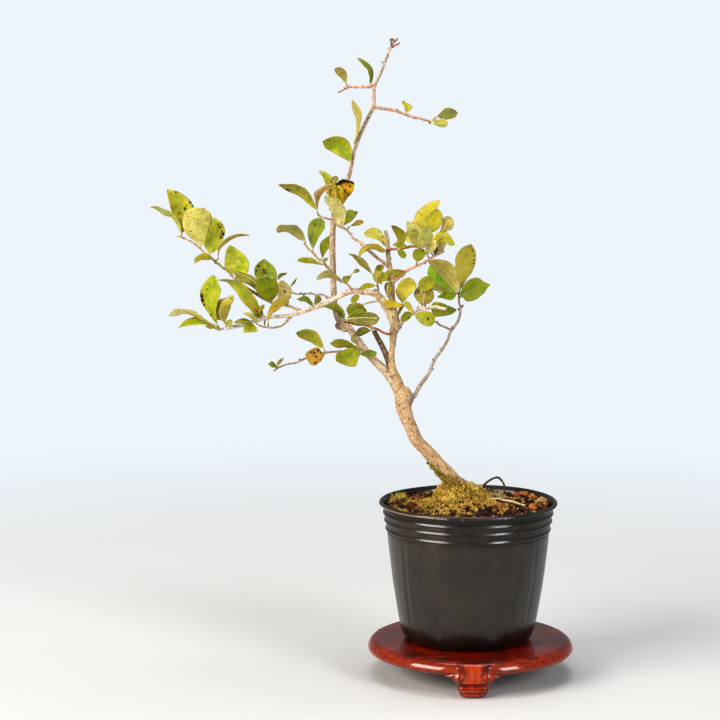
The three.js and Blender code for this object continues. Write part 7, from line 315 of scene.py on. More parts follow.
    {"n": "EE1", "f": 1, "col": "ye", "a": (-23.4, 9.78, 228.22), "up": (-0.505, -0.579, 0.641), "st": ((-23.67, 11.07, 237.69, 0, 0, 0), (-24.39, 11.34, 239.29, 1.36, -0.35, 0.14), (-25.29, 11.87, 241.92, 3.14, -0.88, 0.12), (-23.58, 12.85, 245.86, 3.1, -3.79, -0.29), (-20.45, 14.11, 248.85, 2.45, -4.3, -0.62), (-17.86, 15.41, 251.37, 1.4, -3.16, -0.67), (-15.75, 16.45, 252.64, 0.56, -1.39, -0.43), (-14.76, 17.01, 253.02, 0, 0, 0))},
    {"n": "EE2", "f": 1, "col": "ye", "a": (-21.26, 10.28, 227.11), "up": (-0.724, -0.592, -0.352), "st": ((-20.26, 9.39, 236.22, 0, 0, 0), (-19.89, 8.03, 237.26, 1.19, -0.92, -0.3), (-19.52, 6, 239.04, 2.8, -2.1, -0.54), (-18.52, 3.35, 242.17, 3.32, -4.15, -0.28), (-17.49, 0.75, 245.33, 3.26, -4.33, -0.11), (-17.12, -1.42, 247.9, 2.24, -3.1, 0.03), (-17.05, -2.93, 249.25, 0.87, -1.45, 0.05), (-17.06, -3.68, 249.71, 0, 0, 0))},
    {"n": "EE3", "f": -1, "col": "ta", "a": (-18.04, 11.08, 225.98), "up": (0.306, 0.491, -0.816), "st": ((-14.85, 12.16, 235.49, 0, 0, 0), (-14.03, 13.06, 236.29, 0.54, -1.13, -0.27), (-12.8, 14.5, 237.47, 1.36, -2.52, -0.72), (-11.32, 16.58, 239.17, 2.39, -3.5, -1.33), (-10.1, 18.84, 241.43, 2.57, -3.48, -1.32), (-9.16, 20.9, 243.12, 1.76, -2.47, -1), (-8.78, 22.44, 243.62, 0.59, -1.25, -0.3), (-8.59, 23.23, 243.84, 0, 0, 0))},
    {"n": "EE4", "f": 1, "col": "ye", "a": (-22.34, 9.49, 225.04), "up": (-0.217, -0.492, 0.843), "st": ((-19.24, 7.59, 232.63, 0, 0, 0), (-18.11, 6.8, 233.4, 0.12, -1.14, -0.7), (-16.34, 5.44, 234.42, 0.19, -2.57, -1.74), (-13.51, 3.34, 234.73, -0.28, -3.94, -2.5), (-10.81, 0.9, 233.63, -0.7, -4.19, -2.15), (-9.07, -1.45, 232, -0.59, -2.97, -1.46), (-8.01, -3.25, 231.24, -0.24, -1.39, -0.46), (-7.55, -4.2, 230.86, 0, 0, 0))},
    {"n": "EE5", "f": -1, "col": "kh", "a": (-30.44, -7.73, 230.29), "up": (-0.068, 0.667, -0.742), "st": ((-30.7, -6.82, 231.59, 0, 0, 0), (-30.29, -5.99, 232.4, 1.45, 0.01, 0.04), (-29.89, -4.58, 233.87, 3.4, 0.05, 0.36), (-29.09, -2.4, 236.84, 4.4, 0.11, 0.84), (-29.45, 0.12, 239.6, 3.4, 2.65, 0.87), (-30.95, 2.53, 241.48, 2.02, 2.25, 0.74), (-32.12, 4.38, 242.23, 0.77, 1.13, 0.19), (-32.57, 5.35, 242.58, 0, 0, 0))},
    {"n": "EE6", "f": -1, "col": "kh", "a": (-25.16, -11.21, 229.09), "up": (-0.321, 0.656, 0.684), "st": ((-25.11, -13.09, 229.45, 0, 0, 0), (-25.05, -13.65, 230.58, 1.12, 0.77, -0.24), (-25, -14.78, 232.33, 2.76, 1.51, -0.52), (-24.17, -16.83, 235.25, 3.73, 2.82, -1.09), (-23.2, -19.5, 238.32, 3.61, 3.09, -1.14), (-22.72, -22.25, 240.65, 2.28, 2.47, -0.77), (-22.47, -24.46, 241.83, 0.86, 1.23, -0.3), (-22.42, -25.64, 242.27, 0, 0, 0))},
    {"n": "EE6b", "f": -1, "col": "kg", "a": (-26.18, -10.5, 229.56), "up": (0.33, 0.598, 0.73), "st": ((-26.12, -11.78, 229.87, 0, 0, 0), (-26.52, -12.32, 230.76, 0.88, -0.78, 0.46), (-27.15, -13.38, 232.24, 2, -1.84, 1.03), (-28.22, -15.24, 234.7, 2.66, -3.15, 1.44), (-29.3, -17.61, 237.25, 2.53, -3.41, 1.33), (-30.15, -20.04, 239.33, 1.95, -2.3, 0.87), (-30.51, -21.97, 240.18, 0.73, -1.15, 0.3), (-30.58, -23.01, 240.54, 0, 0, 0))},
    {"n": "EE6c", "f": -1, "col": "ol", "a": (-18.06, 10.64, 223.56), "up": (-0.241, 0.569, 0.786), "st": ((-20.23, 9.16, 227.2, 0, 0, 0), (-19.69, 8.28, 228.23, 0.57, 0.91, -0.51), (-18.88, 6.83, 229.79, 1.43, 2, -1.23), (-17.5, 4.65, 232.04, 1.84, 3.26, -1.76), (-16.04, 2.2, 234.29, 1.75, 3.39, -1.77), (-14.92, -0.09, 236.14, 1.21, 2.36, -1.34), (-14.19, -1.83, 237.11, 0.4, 1.15, -0.49), (-13.82, -2.74, 237.59, 0, 0, 0))},
    {"n": "EE7", "f": 1, "col": "ol", "a": (-35.11, -4.49, 229.1), "up": (-0.893, -0.449, -0.04), "st": ((-35.34, -3.16, 230.26, 0, 0, 0), (-35.39, -2.47, 231.33, 0.9, -1.04, 0.41), (-35.62, -1.22, 232.98, 2.07, -2.37, 1.06), (-35.76, 0.88, 235.65, 2.15, -4.22, 1.58), (-37.25, 3.48, 237.83, 1.54, -4.56, 1.61), (-39.1, 6.06, 239.1, 0.96, -3.25, 1.18), (-40.37, 8.1, 239.86, 0.36, -1.46, 0.49), (-40.96, 9.19, 240.21, 0, 0, 0))},
    {"n": "EE8", "f": 1, "col": "ol", "a": (-32.18, -6.55, 229.85), "up": (0.493, -0.33, 0.805), "st": ((-32.29, -8.06, 230.37, 0, 0, 0), (-33.11, -8.8, 230.6, -0.04, -0.87, -0.35), (-34.36, -9.99, 230.95, -0.09, -1.99, -0.86), (-36.09, -11.72, 231.42, -0.11, -2.93, -1.43), (-37.89, -13.63, 231.83, -0.04, -3.12, -1.15), (-39.35, -15.38, 231.88, 0, -2.26, -0.62), (-40.32, -16.69, 231.86, 0, -1.02, -0.17), (-40.8, -17.37, 231.86, 0, 0, 0))},
    {"n": "EE9", "f": 1, "col": "ol", "a": (-37.44, -2.86, 228.75), "up": (-0.681, -0.6, 0.421), "st": ((-37.45, -3.8, 228.73, 0, 0, 0), (-37.18, -4.52, 228.48, 0.59, 0.04, 0.31), (-36.56, -5.6, 228.07, 1.24, -0.37, 0.81), (-35.75, -7.04, 226.89, 1.54, -1.43, 0.92), (-34.87, -8.49, 225.75, 1.58, -1.54, 0.74), (-34.39, -9.73, 224.91, 1.2, -1.04, 0.44), (-34.42, -10.6, 224.52, 0.4, -0.58, 0.18), (-34.43, -11.04, 224.32, 0, 0, 0))},
    {"n": "EE10", "f": 1, "col": "yg", "a": (-27.71, 6.18, 218.93), "up": (-0.017, -0.738, -0.675), "st": ((-27.22, 5.04, 221.15, 0, 0, 0), (-27.05, 4.31, 221.84, 0.89, -0.01, -0.08), (-26.78, 3.18, 222.95, 2.15, -0.02, -0.19), (-26.28, 1.61, 224.83, 3.28, -0.04, -0.34), (-25.97, -0.02, 227.07, 3.27, -0.01, -0.11), (-26.16, -1.45, 228.27, 1.96, 1.01, -0.06), (-26.32, -2.49, 228.54, 0.65, 0.72, -0.07), (-26.4, -3.02, 228.67, 0, 0, 0))},
    {"n": "EE11", "f": -1, "col": "kh", "a": (-20.19, 9.67, 222.37), "up": (0.772, 0.596, 0.222), "st": ((-21.85, 7.97, 225.17, 0, 0, 0), (-21.54, 7.39, 225.75, 0.73, -0.41, -0.49), (-21.07, 6.35, 226.97, 1.59, -1.3, -0.89), (-20.26, 4.69, 228.94, 2.26, -2.16, -1.22), (-19.03, 2.7, 230.8, 2.04, -2.52, -1.08), (-18.22, 0.75, 232.11, 1.18, -2.02, -0.6), (-17.7, -0.77, 232.9, 0.39, -0.98, -0.16), (-17.44, -1.58, 233.3, 0, 0, 0))},
    {"n": "EE12", "f": 1, "col": "dg", "a": (-17.5, 10.89, 223.87), "up": (0.801, -0.417, 0.43), "st": ((-17.47, 11.77, 223.8, 0, 0, 0), (-17.35, 12.36, 224.33, 0.42, 0.58, -0.13), (-17.17, 13.31, 225.13, 1.05, 1.28, -0.3), (-17.02, 14.71, 226.39, 1.34, 2.11, -0.41), (-16.83, 16.26, 227.73, 1.34, 2.17, -0.38), (-16.81, 17.71, 228.68, 0.76, 1.63, -0.28), (-16.74, 18.79, 229.31, 0.25, 0.75, -0.12), (-16.71, 19.36, 229.63, 0, 0, 0))},
    {"n": "EE13", "f": -1, "col": "kh", "a": (-15.35, 11.83, 224.86), "up": (0.783, 0.526, 0.33), "st": ((-15.38, 10.76, 224.94, 0, 0, 0), (-15.13, 10.19, 225.68, 0.45, -0.63, -0.12), (-14.8, 9.21, 226.81, 1.09, -1.41, -0.3), (-14.31, 7.71, 228.52, 1.59, -2.17, -0.4), (-13.83, 5.97, 230.28, 1.69, -2.14, -0.47), (-13.37, 4.31, 231.68, 1.24, -1.44, -0.45), (-13.18, 3.04, 232.22, 0.41, -0.75, -0.12), (-13.08, 2.37, 232.48, 0, 0, 0))},
    {"n": "O1", "f": 1, "col": "ol", "a": (-55.83, -14, 200.23), "up": (-0.689, -0.639, -0.342), "st": ((-61.05, -14.8, 200.84, 0, 0, 0), (-61, -15.25, 201.35, 0.58, -0.4, -0.11), (-60.92, -16.02, 202.13, 1.44, -0.71, -0.31), (-60.33, -17.23, 203.59, 1.66, -1.77, -0.4), (-59.48, -18.64, 204.92, 1.55, -1.92, -0.41), (-58.65, -20.01, 205.87, 1.24, -1.23, -0.25), (-58.49, -21.07, 206.11, 0.43, -0.65, -0.05), (-58.44, -21.63, 206.22, 0, 0, 0))},
    {"n": "O2", "f": 1, "col": "dg", "a": (-63.27, -14.67, 190.99), "up": (0.464, -0.697, 0.547), "st": ((-62.63, -13.23, 193.85, 0, 0, 0), (-62.51, -12.38, 194.39, 1.1, -0.1, -0.76), (-62.04, -11.05, 195.33, 2.46, -0.25, -1.94), (-60.06, -9.17, 196.67, 2.89, -0.4, -3.15), (-57.37, -7.15, 197.49, 2.37, -0.39, -3.08), (-55.4, -5.34, 197.86, 1.54, -0.89, -1.87), (-54.89, -4.01, 197.7, 0.54, -0.81, -0.6), (-54.76, -3.32, 197.54, 0, 0, 0))},
    {"n": "O3", "f": -1, "col": "br", "a": (-65.04, -15.46, 191.46), "up": (0.283, 0.622, -0.73), "st": ((-64.7, -16.69, 193.17, 0, 0, 0), (-63.33, -17.01, 193.22, -0.03, -0.18, -1.39), (-60.53, -17.66, 193.3, 0.11, -2.48, -2.04), (-56.56, -18.8, 193.39, 0.19, -4.14, -2.48), (-52.6, -20.26, 193.53, 0.27, -3.71, -3.21), (-49.36, -21.76, 193.85, 0.31, -2.46, -2.43), (-47.79, -22.96, 194.28, 0.08, -1.32, -0.79), (-47.04, -23.61, 194.45, 0, 0, 0))},
    {"n": "O4", "f": 1, "col": "ol", "a": (-51.13, -8.84, 187.89), "up": (-0.749, -0.48, 0.456), "st": ((-51.62, -7.54, 186.09, 0, 0, 0), (-52.45, -6.74, 186.07, 0.1, -0.76, -0.47), (-53.72, -5.5, 186.03, 0.25, -1.69, -1.2), (-55.53, -3.74, 185.57, 0.54, -2.54, -1.76), (-57.34, -1.89, 184.61, 0.73, -2.6, -1.7), (-58.59, -0.24, 183.51, 0.52, -1.87, -1.14), (-59.21, 0.97, 182.93, 0.17, -0.92, -0.34), (-59.52, 1.59, 182.64, 0, 0, 0))},
    {"n": "O5", "f": 1, "col": "dg", "a": (-58.58, 2.17, 179.75), "up": (0.516, -0.543, -0.662), "st": ((-60.58, 0.37, 178.52, 0, 0, 0), (-60.72, -0.06, 179.01, 0.48, 0.44, -0.04), (-60.95, -0.81, 179.76, 1.19, 0.93, -0.07), (-60.73, -2, 181.2, 1.25, 1.86, -0.38), (-60.37, -3.42, 182.61, 1.1, 1.96, -0.54), (-60.11, -4.79, 183.81, 0.73, 1.36, -0.55), (-59.71, -5.86, 184.36, 0.24, 0.65, -0.21), (-59.51, -6.42, 184.64, 0, 0, 0))},
    {"n": "O6", "f": 1, "col": "gr", "a": (-59.48, -0.63, 174.31), "up": (0.167, -0.518, -0.839), "st": ((-59.52, -2.16, 175.09, 0, 0, 0), (-60.52, -3.45, 176.16, -0.45, 1.07, -0.86), (-62.4, -5.33, 177.66, -0.66, 2.77, -1.73), (-65.23, -7.73, 179.23, -0.63, 4.34, -2.43), (-68.32, -10, 179.65, -0.43, 4.24, -2.8), (-70.89, -11.84, 179.7, -0.27, 2.91, -2.11), (-72.39, -13.09, 179.91, -0.06, 1.38, -0.8), (-73.1, -13.7, 179.95, 0, 0, 0))},
    {"n": "O7", "f": 1, "col": "yg", "a": (-57.93, 0.5, 174.77), "up": (0.586, -0.78, 0.218), "st": ((-57.93, -0.84, 174.93, 0, 0, 0), (-57.84, -1.91, 174.98, 0.86, -0.23, -1.8), (-59.74, -3.58, 174.25, 1.36, -0.46, -3.58), (-61.9, -5.97, 171.62, 2.26, -0.58, -4.51), (-65.42, -8.52, 170.96, 2.12, 1.43, -4.14), (-68.3, -10.82, 171.1, 1.7, 1.38, -2.65), (-69.56, -12.52, 170.83, 0.71, 0.94, -0.96), (-69.98, -13.39, 170.67, 0, 0, 0))},
    {"n": "O8", "f": 1, "col": "gr", "a": (-58.46, 0.02, 174.29), "up": (-0.541, -0.596, -0.593), "st": ((-57.4, -1.32, 173.39, 0, 0, 0), (-56.69, -2.01, 173.18, -0.22, 0.57, -0.76), (-55.28, -3.16, 173.23, -0.21, 1.6, -1.58), (-53.3, -4.91, 173.44, -0.13, 2.47, -2.32), (-51.28, -6.91, 173.68, -0.04, 2.54, -2.34), (-49.59, -8.81, 173.94, 0.03, 1.73, -1.72), (-48.84, -10.26, 174.21, 0.01, 0.88, -0.63), (-48.48, -11.02, 174.34, 0, 0, 0))},
    {"n": "GG1", "f": 1, "col": "ol", "a": (-75.96, -10.77, 174.63), "up": (-0.619, -0.663, -0.422), "st": ((-76.32, -9.49, 176.53, 0, 0, 0), (-77.36, -8.65, 177.79, -0.64, 0.89, -0.89), (-79.03, -7.29, 179.77, -1.34, 2.18, -2), (-81.68, -5.27, 182.17, -1.57, 3.55, -2.97), (-85.45, -3.01, 183.12, -1.27, 3.57, -3.22), (-88.67, -0.92, 183.56, -0.8, 2.39, -2.44), (-90.56, 0.66, 183.75, -0.26, 1.12, -1.05), (-91.32, 1.48, 183.72, 0, 0, 0))},
    {"n": "GG2", "f": 1, "col": "or", "a": (-76.79, -11.24, 174.5), "up": (0.439, -0.727, 0.528), "st": ((-76.8, -12.52, 174.79, 0, 0, 0), (-77.02, -13.56, 175.1, 0.95, -0.14, -1.12), (-78.27, -15.09, 175.26, 1.61, -0.34, -2.64), (-80.56, -17.08, 174.03, 2.63, -0.39, -3.08), (-82.78, -19.01, 172.48, 3.15, -0.36, -2.8), (-83.27, -20.6, 171.02, 1.81, -1.22, -1.61), (-83.36, -21.69, 170.5, 0.61, -0.92, -0.47), (-83.41, -22.23, 170.24, 0, 0, 0))},
    {"n": "GG3", "f": 1, "col": "or", "a": (-99.87, -24.56, 168.5), "up": (0.341, -0.554, -0.759), "st": ((-99.94, -25.37, 168.81, 0, 0, 0), (-100.38, -25.96, 169.15, -0.12, 0.53, -0.43), (-101.04, -26.9, 169.65, -0.3, 1.16, -1.05), (-102.09, -28.22, 170.38, -0.35, 1.88, -1.46), (-103.18, -29.64, 171.11, -0.31, 1.78, -1.65), (-103.98, -30.91, 171.32, -0.16, 1.46, -0.92), (-104.55, -31.85, 171.47, -0.05, 0.69, -0.33), (-104.83, -32.33, 171.55, 0, 0, 0))},
    {"n": "GG4", "f": 1, "col": "or", "a": (-99.56, -24.38, 168.63), "up": (0.385, -0.423, -0.82), "st": ((-99.95, -24.98, 169.55, 0, 0, 0), (-99.84, -25.6, 170.12, 0.29, 0.55, -0.19), (-99.68, -26.56, 170.98, 0.73, 1.23, -0.47), (-98.99, -27.86, 172.12, 0.69, 2.05, -0.69), (-98.2, -29.21, 173.17, 0.53, 2.13, -0.71), (-97.46, -30.4, 174, 0.31, 1.5, -0.56), (-96.88, -31.25, 174.4, 0.11, 0.68, -0.22), (-96.59, -31.69, 174.58, 0, 0, 0))},
]
SPOTS = {  # along, across, radius, kind
    "A2": ((23.68, 2.59, 0.48, 'b'), (24.51, -0.41, 0.42, 'b'), (15.41, 5.47, 0.64, 'k'), (13.3, 5.77, 0.58, 'k'), (13.3, 1.42, 0.69, 'k'), (11.95, -2.33, 0.53, 'b'), (14.7, 2.63, 0.32, 'k')),
    "A3": ((13.28, 0.97, 0.26, 'b'), (8.48, -2.81, 0.37, 'b'), (15.46, -4.88, 0.32, 'b'), (18.36, -3.96, 0.26, 'b'), (20.59, -2.16, 0.26, 'b'), (19.35, 1.74, 0.32, 'b'), (16.71, 4.4, 0.26, 'b'), (16.71, -6.51, 0.32, 'b'), (14.03, -3.39, 0.21, 'b')),
    "A4": ((11.14, 4.49, 1.01, 'k'), (9.34, 3.7, 0.74, 'k'), (15.09, 2.59, 0.64, 'b'), (12.93, 3.62, 0.48, 'k'), (16.62, 1.65, 0.42, 'b'), (17.09, 3.83, 0.37, 'b')),
    "A7": ((13.12, -2.81, 0.64, 'p'), (14.13, -3.82, 0.53, 'p'), (12.6, -1.95, 0.53, 'p'), (8.55, 0.79, 1.16, 'p'), (5, -2.56, 0.85, 'p')),
    "A8": ((16.91, -2.16, 0.69, 'k'), (15, -2.28, 0.58, 'b')),
    "C1": ((13.73, -3.22, 0.53, 'k'), (14.17, 2.18, 0.48, 'b'), (10.76, -4.72, 0.58, 'k'), (10.19, -0.39, 1.06, 'b'), (11.84, -0.7, 0.64, 'k')),
    "C2": ((17.57, -3.13, 0.64, 'p'), (16.57, -0.54, 0.53, 'p'), (16.87, 3.25, 0.95, 'p'), (8.07, -1.58, 0.37, 'r'), (1.49, 0.8, 0.64, 'r'), (5.33, -3.92, 0.26, 'b')),
    "D": ((9.02, -0.33, 0.9, 'b'), (9.51, -0.61, 0.42, 'k')),
    "E1": ((16.84, 2.49, 0.37, 'k'), (20.93, 0.58, 0.53, 'k'), (10.51, 1.48, 0.42, 'b')),
    "B4": ((20.08, -3.11, 0.37, 'k'), (16.59, -5.79, 0.85, 'k'), (14.35, -5.69, 1.01, 'k'), (12.22, -5.08, 0.64, 'k'), (17.33, -6.09, 0.48, 'b'), (6.2, -2.19, 0.64, 'k'), (18.06, -0.45, 0.21, 'b'), (16.59, -3.59, 0.26, 'k')),
    "B5": ((8.57, 1.19, 0.26, 'b'), (12.78, 1.82, 0.32, 'r'), (20.2, 0.8, 0.53, 'b')),
    "F1": ((14.89, -5.73, 0.42, 'k'), (15.73, 7.07, 0.32, 'k'), (12.32, -6.53, 0.26, 'k'), (5.65, 0, 0.53, 'k'), (6.91, -2, 1.16, 'o'), (6.91, 1.07, 1.16, 'o'), (3.95, 0.5, 0.64, 'b'), (3.95, 2.62, 0.53, 'b'), (27.46, 5.8, 0.53, 'r')),
    "H1": ((21.92, 4.09, 0.9, 'k'), (22.97, 3.27, 0.53, 'k'), (13.63, -0.41, 0.32, 'k'), (13.63, 2.34, 0.26, 'k'), (8.89, 0, 0.95, 'g'), (18.35, -2.3, 0.26, 'b'), (11.64, 1.91, 0.53, 'o'), (25.96, 0.77, 0.42, 'b')),
    "H3": ((6.97, 5.14, 0.32, 'b'),),
    "H4": ((11.27, 4.37, 0.85, 'k'), (8.87, 2.64, 0.32, 'k'), (10.81, 2.47, 0.32, 'k')),
    "H4b": ((8.49, -3.16, 0.32, 'k'), (10.47, 1.06, 0.42, 'k'), (9.49, 3.58, 0.42, 'k'), (9.97, 2.18, 0.32, 'k'), (7.46, 0.47, 0.26, 'k'), (10.97, -4.58, 0.85, 'k'), (12.48, -3.56, 0.85, 'k'), (14.65, -2.64, 0.95, 'k'), (16.19, -1.7, 0.85, 'k'), (17.91, -0.3, 0.85, 'k'), (15.05, 1.36, 0.53, 'k'), (14.24, 0, 0.85, 'o')),
    "H5": ((13.7, 2.31, 0.42, 'k'), (20.3, 0.35, 0.42, 'k'), (2.34, 0.8, 0.42, 'r')),
    "H6": ((15.11, 0.34, 0.79, 'k'), (13.65, -0.29, 0.53, 'b')),
    "H7": ((9.86, 1.11, 0.74, 'k'),),
    "H9": ((14.02, -1.27, 0.58, 'b'), (8.57, -1.78, 0.32, 'b')),
    "Z1": ((5.79, -1.98, 0.48, 'k'),),
    "P1": ((13.76, -0.6, 0.53, 'k'),),
    "EE1": ((8.94, -2.37, 0.32, 'k'), (12.19, -4.45, 0.21, 'b')),
    "EE2": ((9.58, -0.99, 0.26, 'b'), (13.05, 0, 0.26, 'b'), (11.63, 4.31, 0.26, 'b')),
    "EE4": ((6.6, -2.96, 0.42, 'k'), (7.04, -0.57, 0.42, 'k'), (8.35, -4.81, 0.21, 'b')),
    "EE7": ((16.05, -0.13, 0.64, 'k'), (13.5, 0, 0.53, 'b'), (8.39, 1.23, 0.64, 'b')),
    "DD3": ((18.35, 5.06, 0.42, 'k'), (16.35, 5.23, 0.37, 'b'), (23.25, 2.23, 0.53, 'b'), (24.65, 0.2, 0.42, 'b'), (20.77, 4.71, 0.32, 'b')),
    "CC2": ((8.32, 0, 0.64, 'k'),),
    "CC1": ((3.96, 2.19, 0.48, 'k'),),
    "GG1": ((16.81, 1.82, 0.85, 'o'), (14.53, 2.29, 0.64, 'o'), (11.97, 2.99, 0.48, 'o'), (19.38, 0.45, 0.42, 'b')),
    "GG2": ((5.89, -1.54, 0.53, 'k'), (3.17, -1.68, 0.64, 'k'), (6.29, 0.51, 0.53, 'k'), (2.33, -0.18, 0.48, 'k'), (7.1, -3.03, 0.48, 'k'), (9.83, 2.85, 0.64, 'k'), (8.36, 2.94, 0.42, 'b'), (7.52, -0.77, 0.42, 'b'), (1.22, -1.58, 0.42, 'b')),
    "GG3": ((5.69, -2.02, 0.37, 'b'),),
    "S1": ((16.9, 1.47, 0.37, 'b'),),
    "R2": ((6.53, -2.68, 0.42, 'b'),),
    "R4": ((3.65, -0.58, 0.42, 'k'),),
}
LEAF_GROUPS = [
    ("leaf_upper_left_tip_pair", ('A1', 'A2')),
    ("leaf_upper_left_broad_pale", ("A3",)),
    ("leaf_upper_left_spur_group", ('A4', 'A5', 'A6')),
    ("leaf_upper_left_light", ("A7",)),
    ("leaf_upper_left_inner_group", ('A8', 'C1', 'A10')),
    ("leaf_upper_left_dark_group", ('C2', 'D', 'A11', 'E2')),
    ("leaf_left_hanging_ochre", ("E1",)),
    ("leaf_left_tip_flat_group", ('B1', 'B2', 'B3')),
    ("leaf_left_tip_upright_group", ('B4', 'B5', 'B6')),
    ("leaf_left_branch_low_pair", ('B7', 'B8')),
    ("leaf_left_branch_long", ("F1",)),
    ("leaf_left_branch_small_pale", ("F2",)),
    ("leaf_left_stub_small", ("F3",)),
    ("leaf_mid_twig_tip_pair", ('H1', 'H2')),
    ("leaf_mid_twig_high_pair", ('H3', 'H3b')),
    ("leaf_leader_spotted_pair", ('H4', 'H4b')),
    ("leaf_mid_twig_pale_group", ('H5', 'H6', 'H7')),
    ("leaf_short_twig_end_pair", ('H8', 'H9')),
    ("leaf_short_twig_side_group", ('H10', 'H11', 'H12')),
    ("leaf_small_shoot_group", ('K1', 'K2', 'K3')),
    ("leaf_behind_leader", ("N1",)),
    ("leaf_left_limb_curled_pair", ('N2', 'N3')),
    ("leaf_top_left_tip", ("P1",)),
    ("leaf_top_left_inner", ("P2",)),
    ("leaf_leader_narrow", ("P3",)),
    ("leaf_top_right_small", ("R2",)),
    ("leaf_top_right_tip_pair", ('R3', 'R4')),
    ("leaf_leader_broad", ("S1",)),
    ("leaf_centre_top_pair", ('Z1', 'Z2')),
    ("leaf_centre_left_pair", ('Z3', 'Z4')),
    ("leaf_centre_spur_group", ('Z5', 'Z6', 'Z8')),
    ("leaf_centre_brown", ("Z9",)),
    ("leaf_centre_yellow_group", ('Z10', 'Z11', 'Z12')),
    ("leaf_low_right_pair", ('CC1', 'CC2')),
    ("leaf_low_right_upper_group", ('CC4', 'CC5', 'CC3')),
    ("leaf_right_green_group", ('DD1', 'DD6', 'DD2')),
    ("leaf_right_upright", ("DD3",)),
    ("leaf_right_end_pair", ('DD4', 'DD5')),
    ("leaf_high_right_yellow_group", ('EE1', 'EE2', 'EE3', 'EE4')),
    ("leaf_high_right_low_group", ('EE6c', 'EE11', 'EE12', 'EE13', 'EE10')),
    ("leaf_high_right_twig_group", ('EE5', 'EE6', 'EE6b', 'EE7', 'EE8', 'EE9')),
    ("leaf_lower_left_dark_group", ('O1', 'O2', 'O3', 'O4')),
    ("leaf_lower_left_limb_group", ('O5', 'O6', 'O7', 'O8')),
    ("leaf_lower_left_spotted_pair", ('GG1', 'GG2')),
    ("leaf_lower_left_tip_pair", ('GG3', 'GG4')),
]

# ---- small helpers ----
stand_lo, stand_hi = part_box("stand_top")
OFF = ((stand_lo[0] + stand_hi[0]) / 2) * 1000 - 2.0  # mm between the tables' X and the frame's X


def metres(P):
    """The tables are in millimetres about the pot's axis; the frame is in metres about the box's centre."""
    P = np.array(P, float)
    P[..., 0] += OFF
    return P / 1000.0


def lin(h, a=1.0):
    h = h.lstrip("#")
    c = [int(h[i:i + 2], 16) / 255 for i in (0, 2, 4)]
    return tuple([x / 12.92 if x <= 0.04045 else ((x + 0.055) / 1.055) ** 2.4 for x in c] + [a])


def unit(v):
    return v / np.maximum(np.linalg.norm(v, axis=-1, keepdims=True), 1e-9)


def catmull(P, n):
    """n points along a Catmull-Rom curve through the rows of P, evenly spaced in the row number."""
    P = np.asarray(P, float)
    Q = np.vstack([2 * P[0] - P[1], P, 2 * P[-1] - P[-2]])
    x = np.linspace(0, len(P) - 1, n)
    i = np.minimum(x.astype(int), len(P) - 2)
    f = (x - i)[:, None]
    a, b, c, d = Q[i], Q[i + 1], Q[i + 2], Q[i + 3]
    return 0.5 * (2 * b + (c - a) * f + (2 * a - 5 * b + 4 * c - d) * f**2 + (3 * b - a - 3 * c + d) * f**3)


def hash01(i, j, k, seed):
    h = (i * 374761393 + j * 668265263 + k * 2147483647 + seed * 974634777) & 0xFFFFFFFF
    h = ((h ^ (h >> 13)) * 1274126177) & 0xFFFFFFFF
    return ((h ^ (h >> 16)) & 0xFFFFFF) / float(0xFFFFFF)


def vnoise(P, seed=0):
    """Smooth value noise in 0..1 at the rows of P."""
    P = np.asarray(P, float)
    I = np.floor(P).astype(np.int64)
    f = P - I
    f = f * f * (3 - 2 * f)
    out = 0
    for a in (0, 1):
        for b in (0, 1):
            for c in (0, 1):
                w = (f[:, 0] if a else 1 - f[:, 0]) * (f[:, 1] if b else 1 - f[:, 1]) * (f[:, 2] if c else 1 - f[:, 2])
                out = out + w * hash01(I[:, 0] + a, I[:, 1] + b, I[:, 2] + c, seed)
    return out


def fbm(P, seed=0, octaves=4):
    out, amp, tot = 0, 1.0, 0.0
    for o in range(octaves):
        out = out + amp * vnoise(np.asarray(P) * 2.03**o + 17.1 * o, seed + o)
        tot += amp
        amp *= 0.5
    return out / tot


def make(name, V, F, mats, attrs=None, midx=None, smooth=True, node=()):
    """A mesh object from points in table millimetres, riding on the body and standing for its CAD nodes."""
    me = bpy.data.meshes.new(name)
    me.from_pydata(metres(V).tolist(), [], [list(map(int, f)) for f in F])
    for m in mats:
        me.materials.append(m)
    if midx is not None:
        me.polygons.foreach_set("material_index", np.asarray(midx, np.int32))
    me.polygons.foreach_set("use_smooth", np.full(len(me.polygons), smooth, bool))
    for k, a in (attrs or {}).items():
        a = np.asarray(a, np.float32)
        if a.ndim == 2 and a.shape[1] == 4:
            me.attributes.new(k, "FLOAT_COLOR", "POINT").data.foreach_set("color", a.ravel())
        elif a.ndim == 2:
            me.attributes.new(k, "FLOAT_VECTOR", "POINT").data.foreach_set("vector", a.ravel())
        else:
            me.attributes.new(k, "FLOAT", "POINT").data.foreach_set("value", a.ravel())
    me.update()
    o = bpy.data.objects.new(name, me)
    bpy.context.scene.collection.objects.link(o)
    if node is not None:
        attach(o, "root")
        if node:
            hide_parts(*node)
    return o


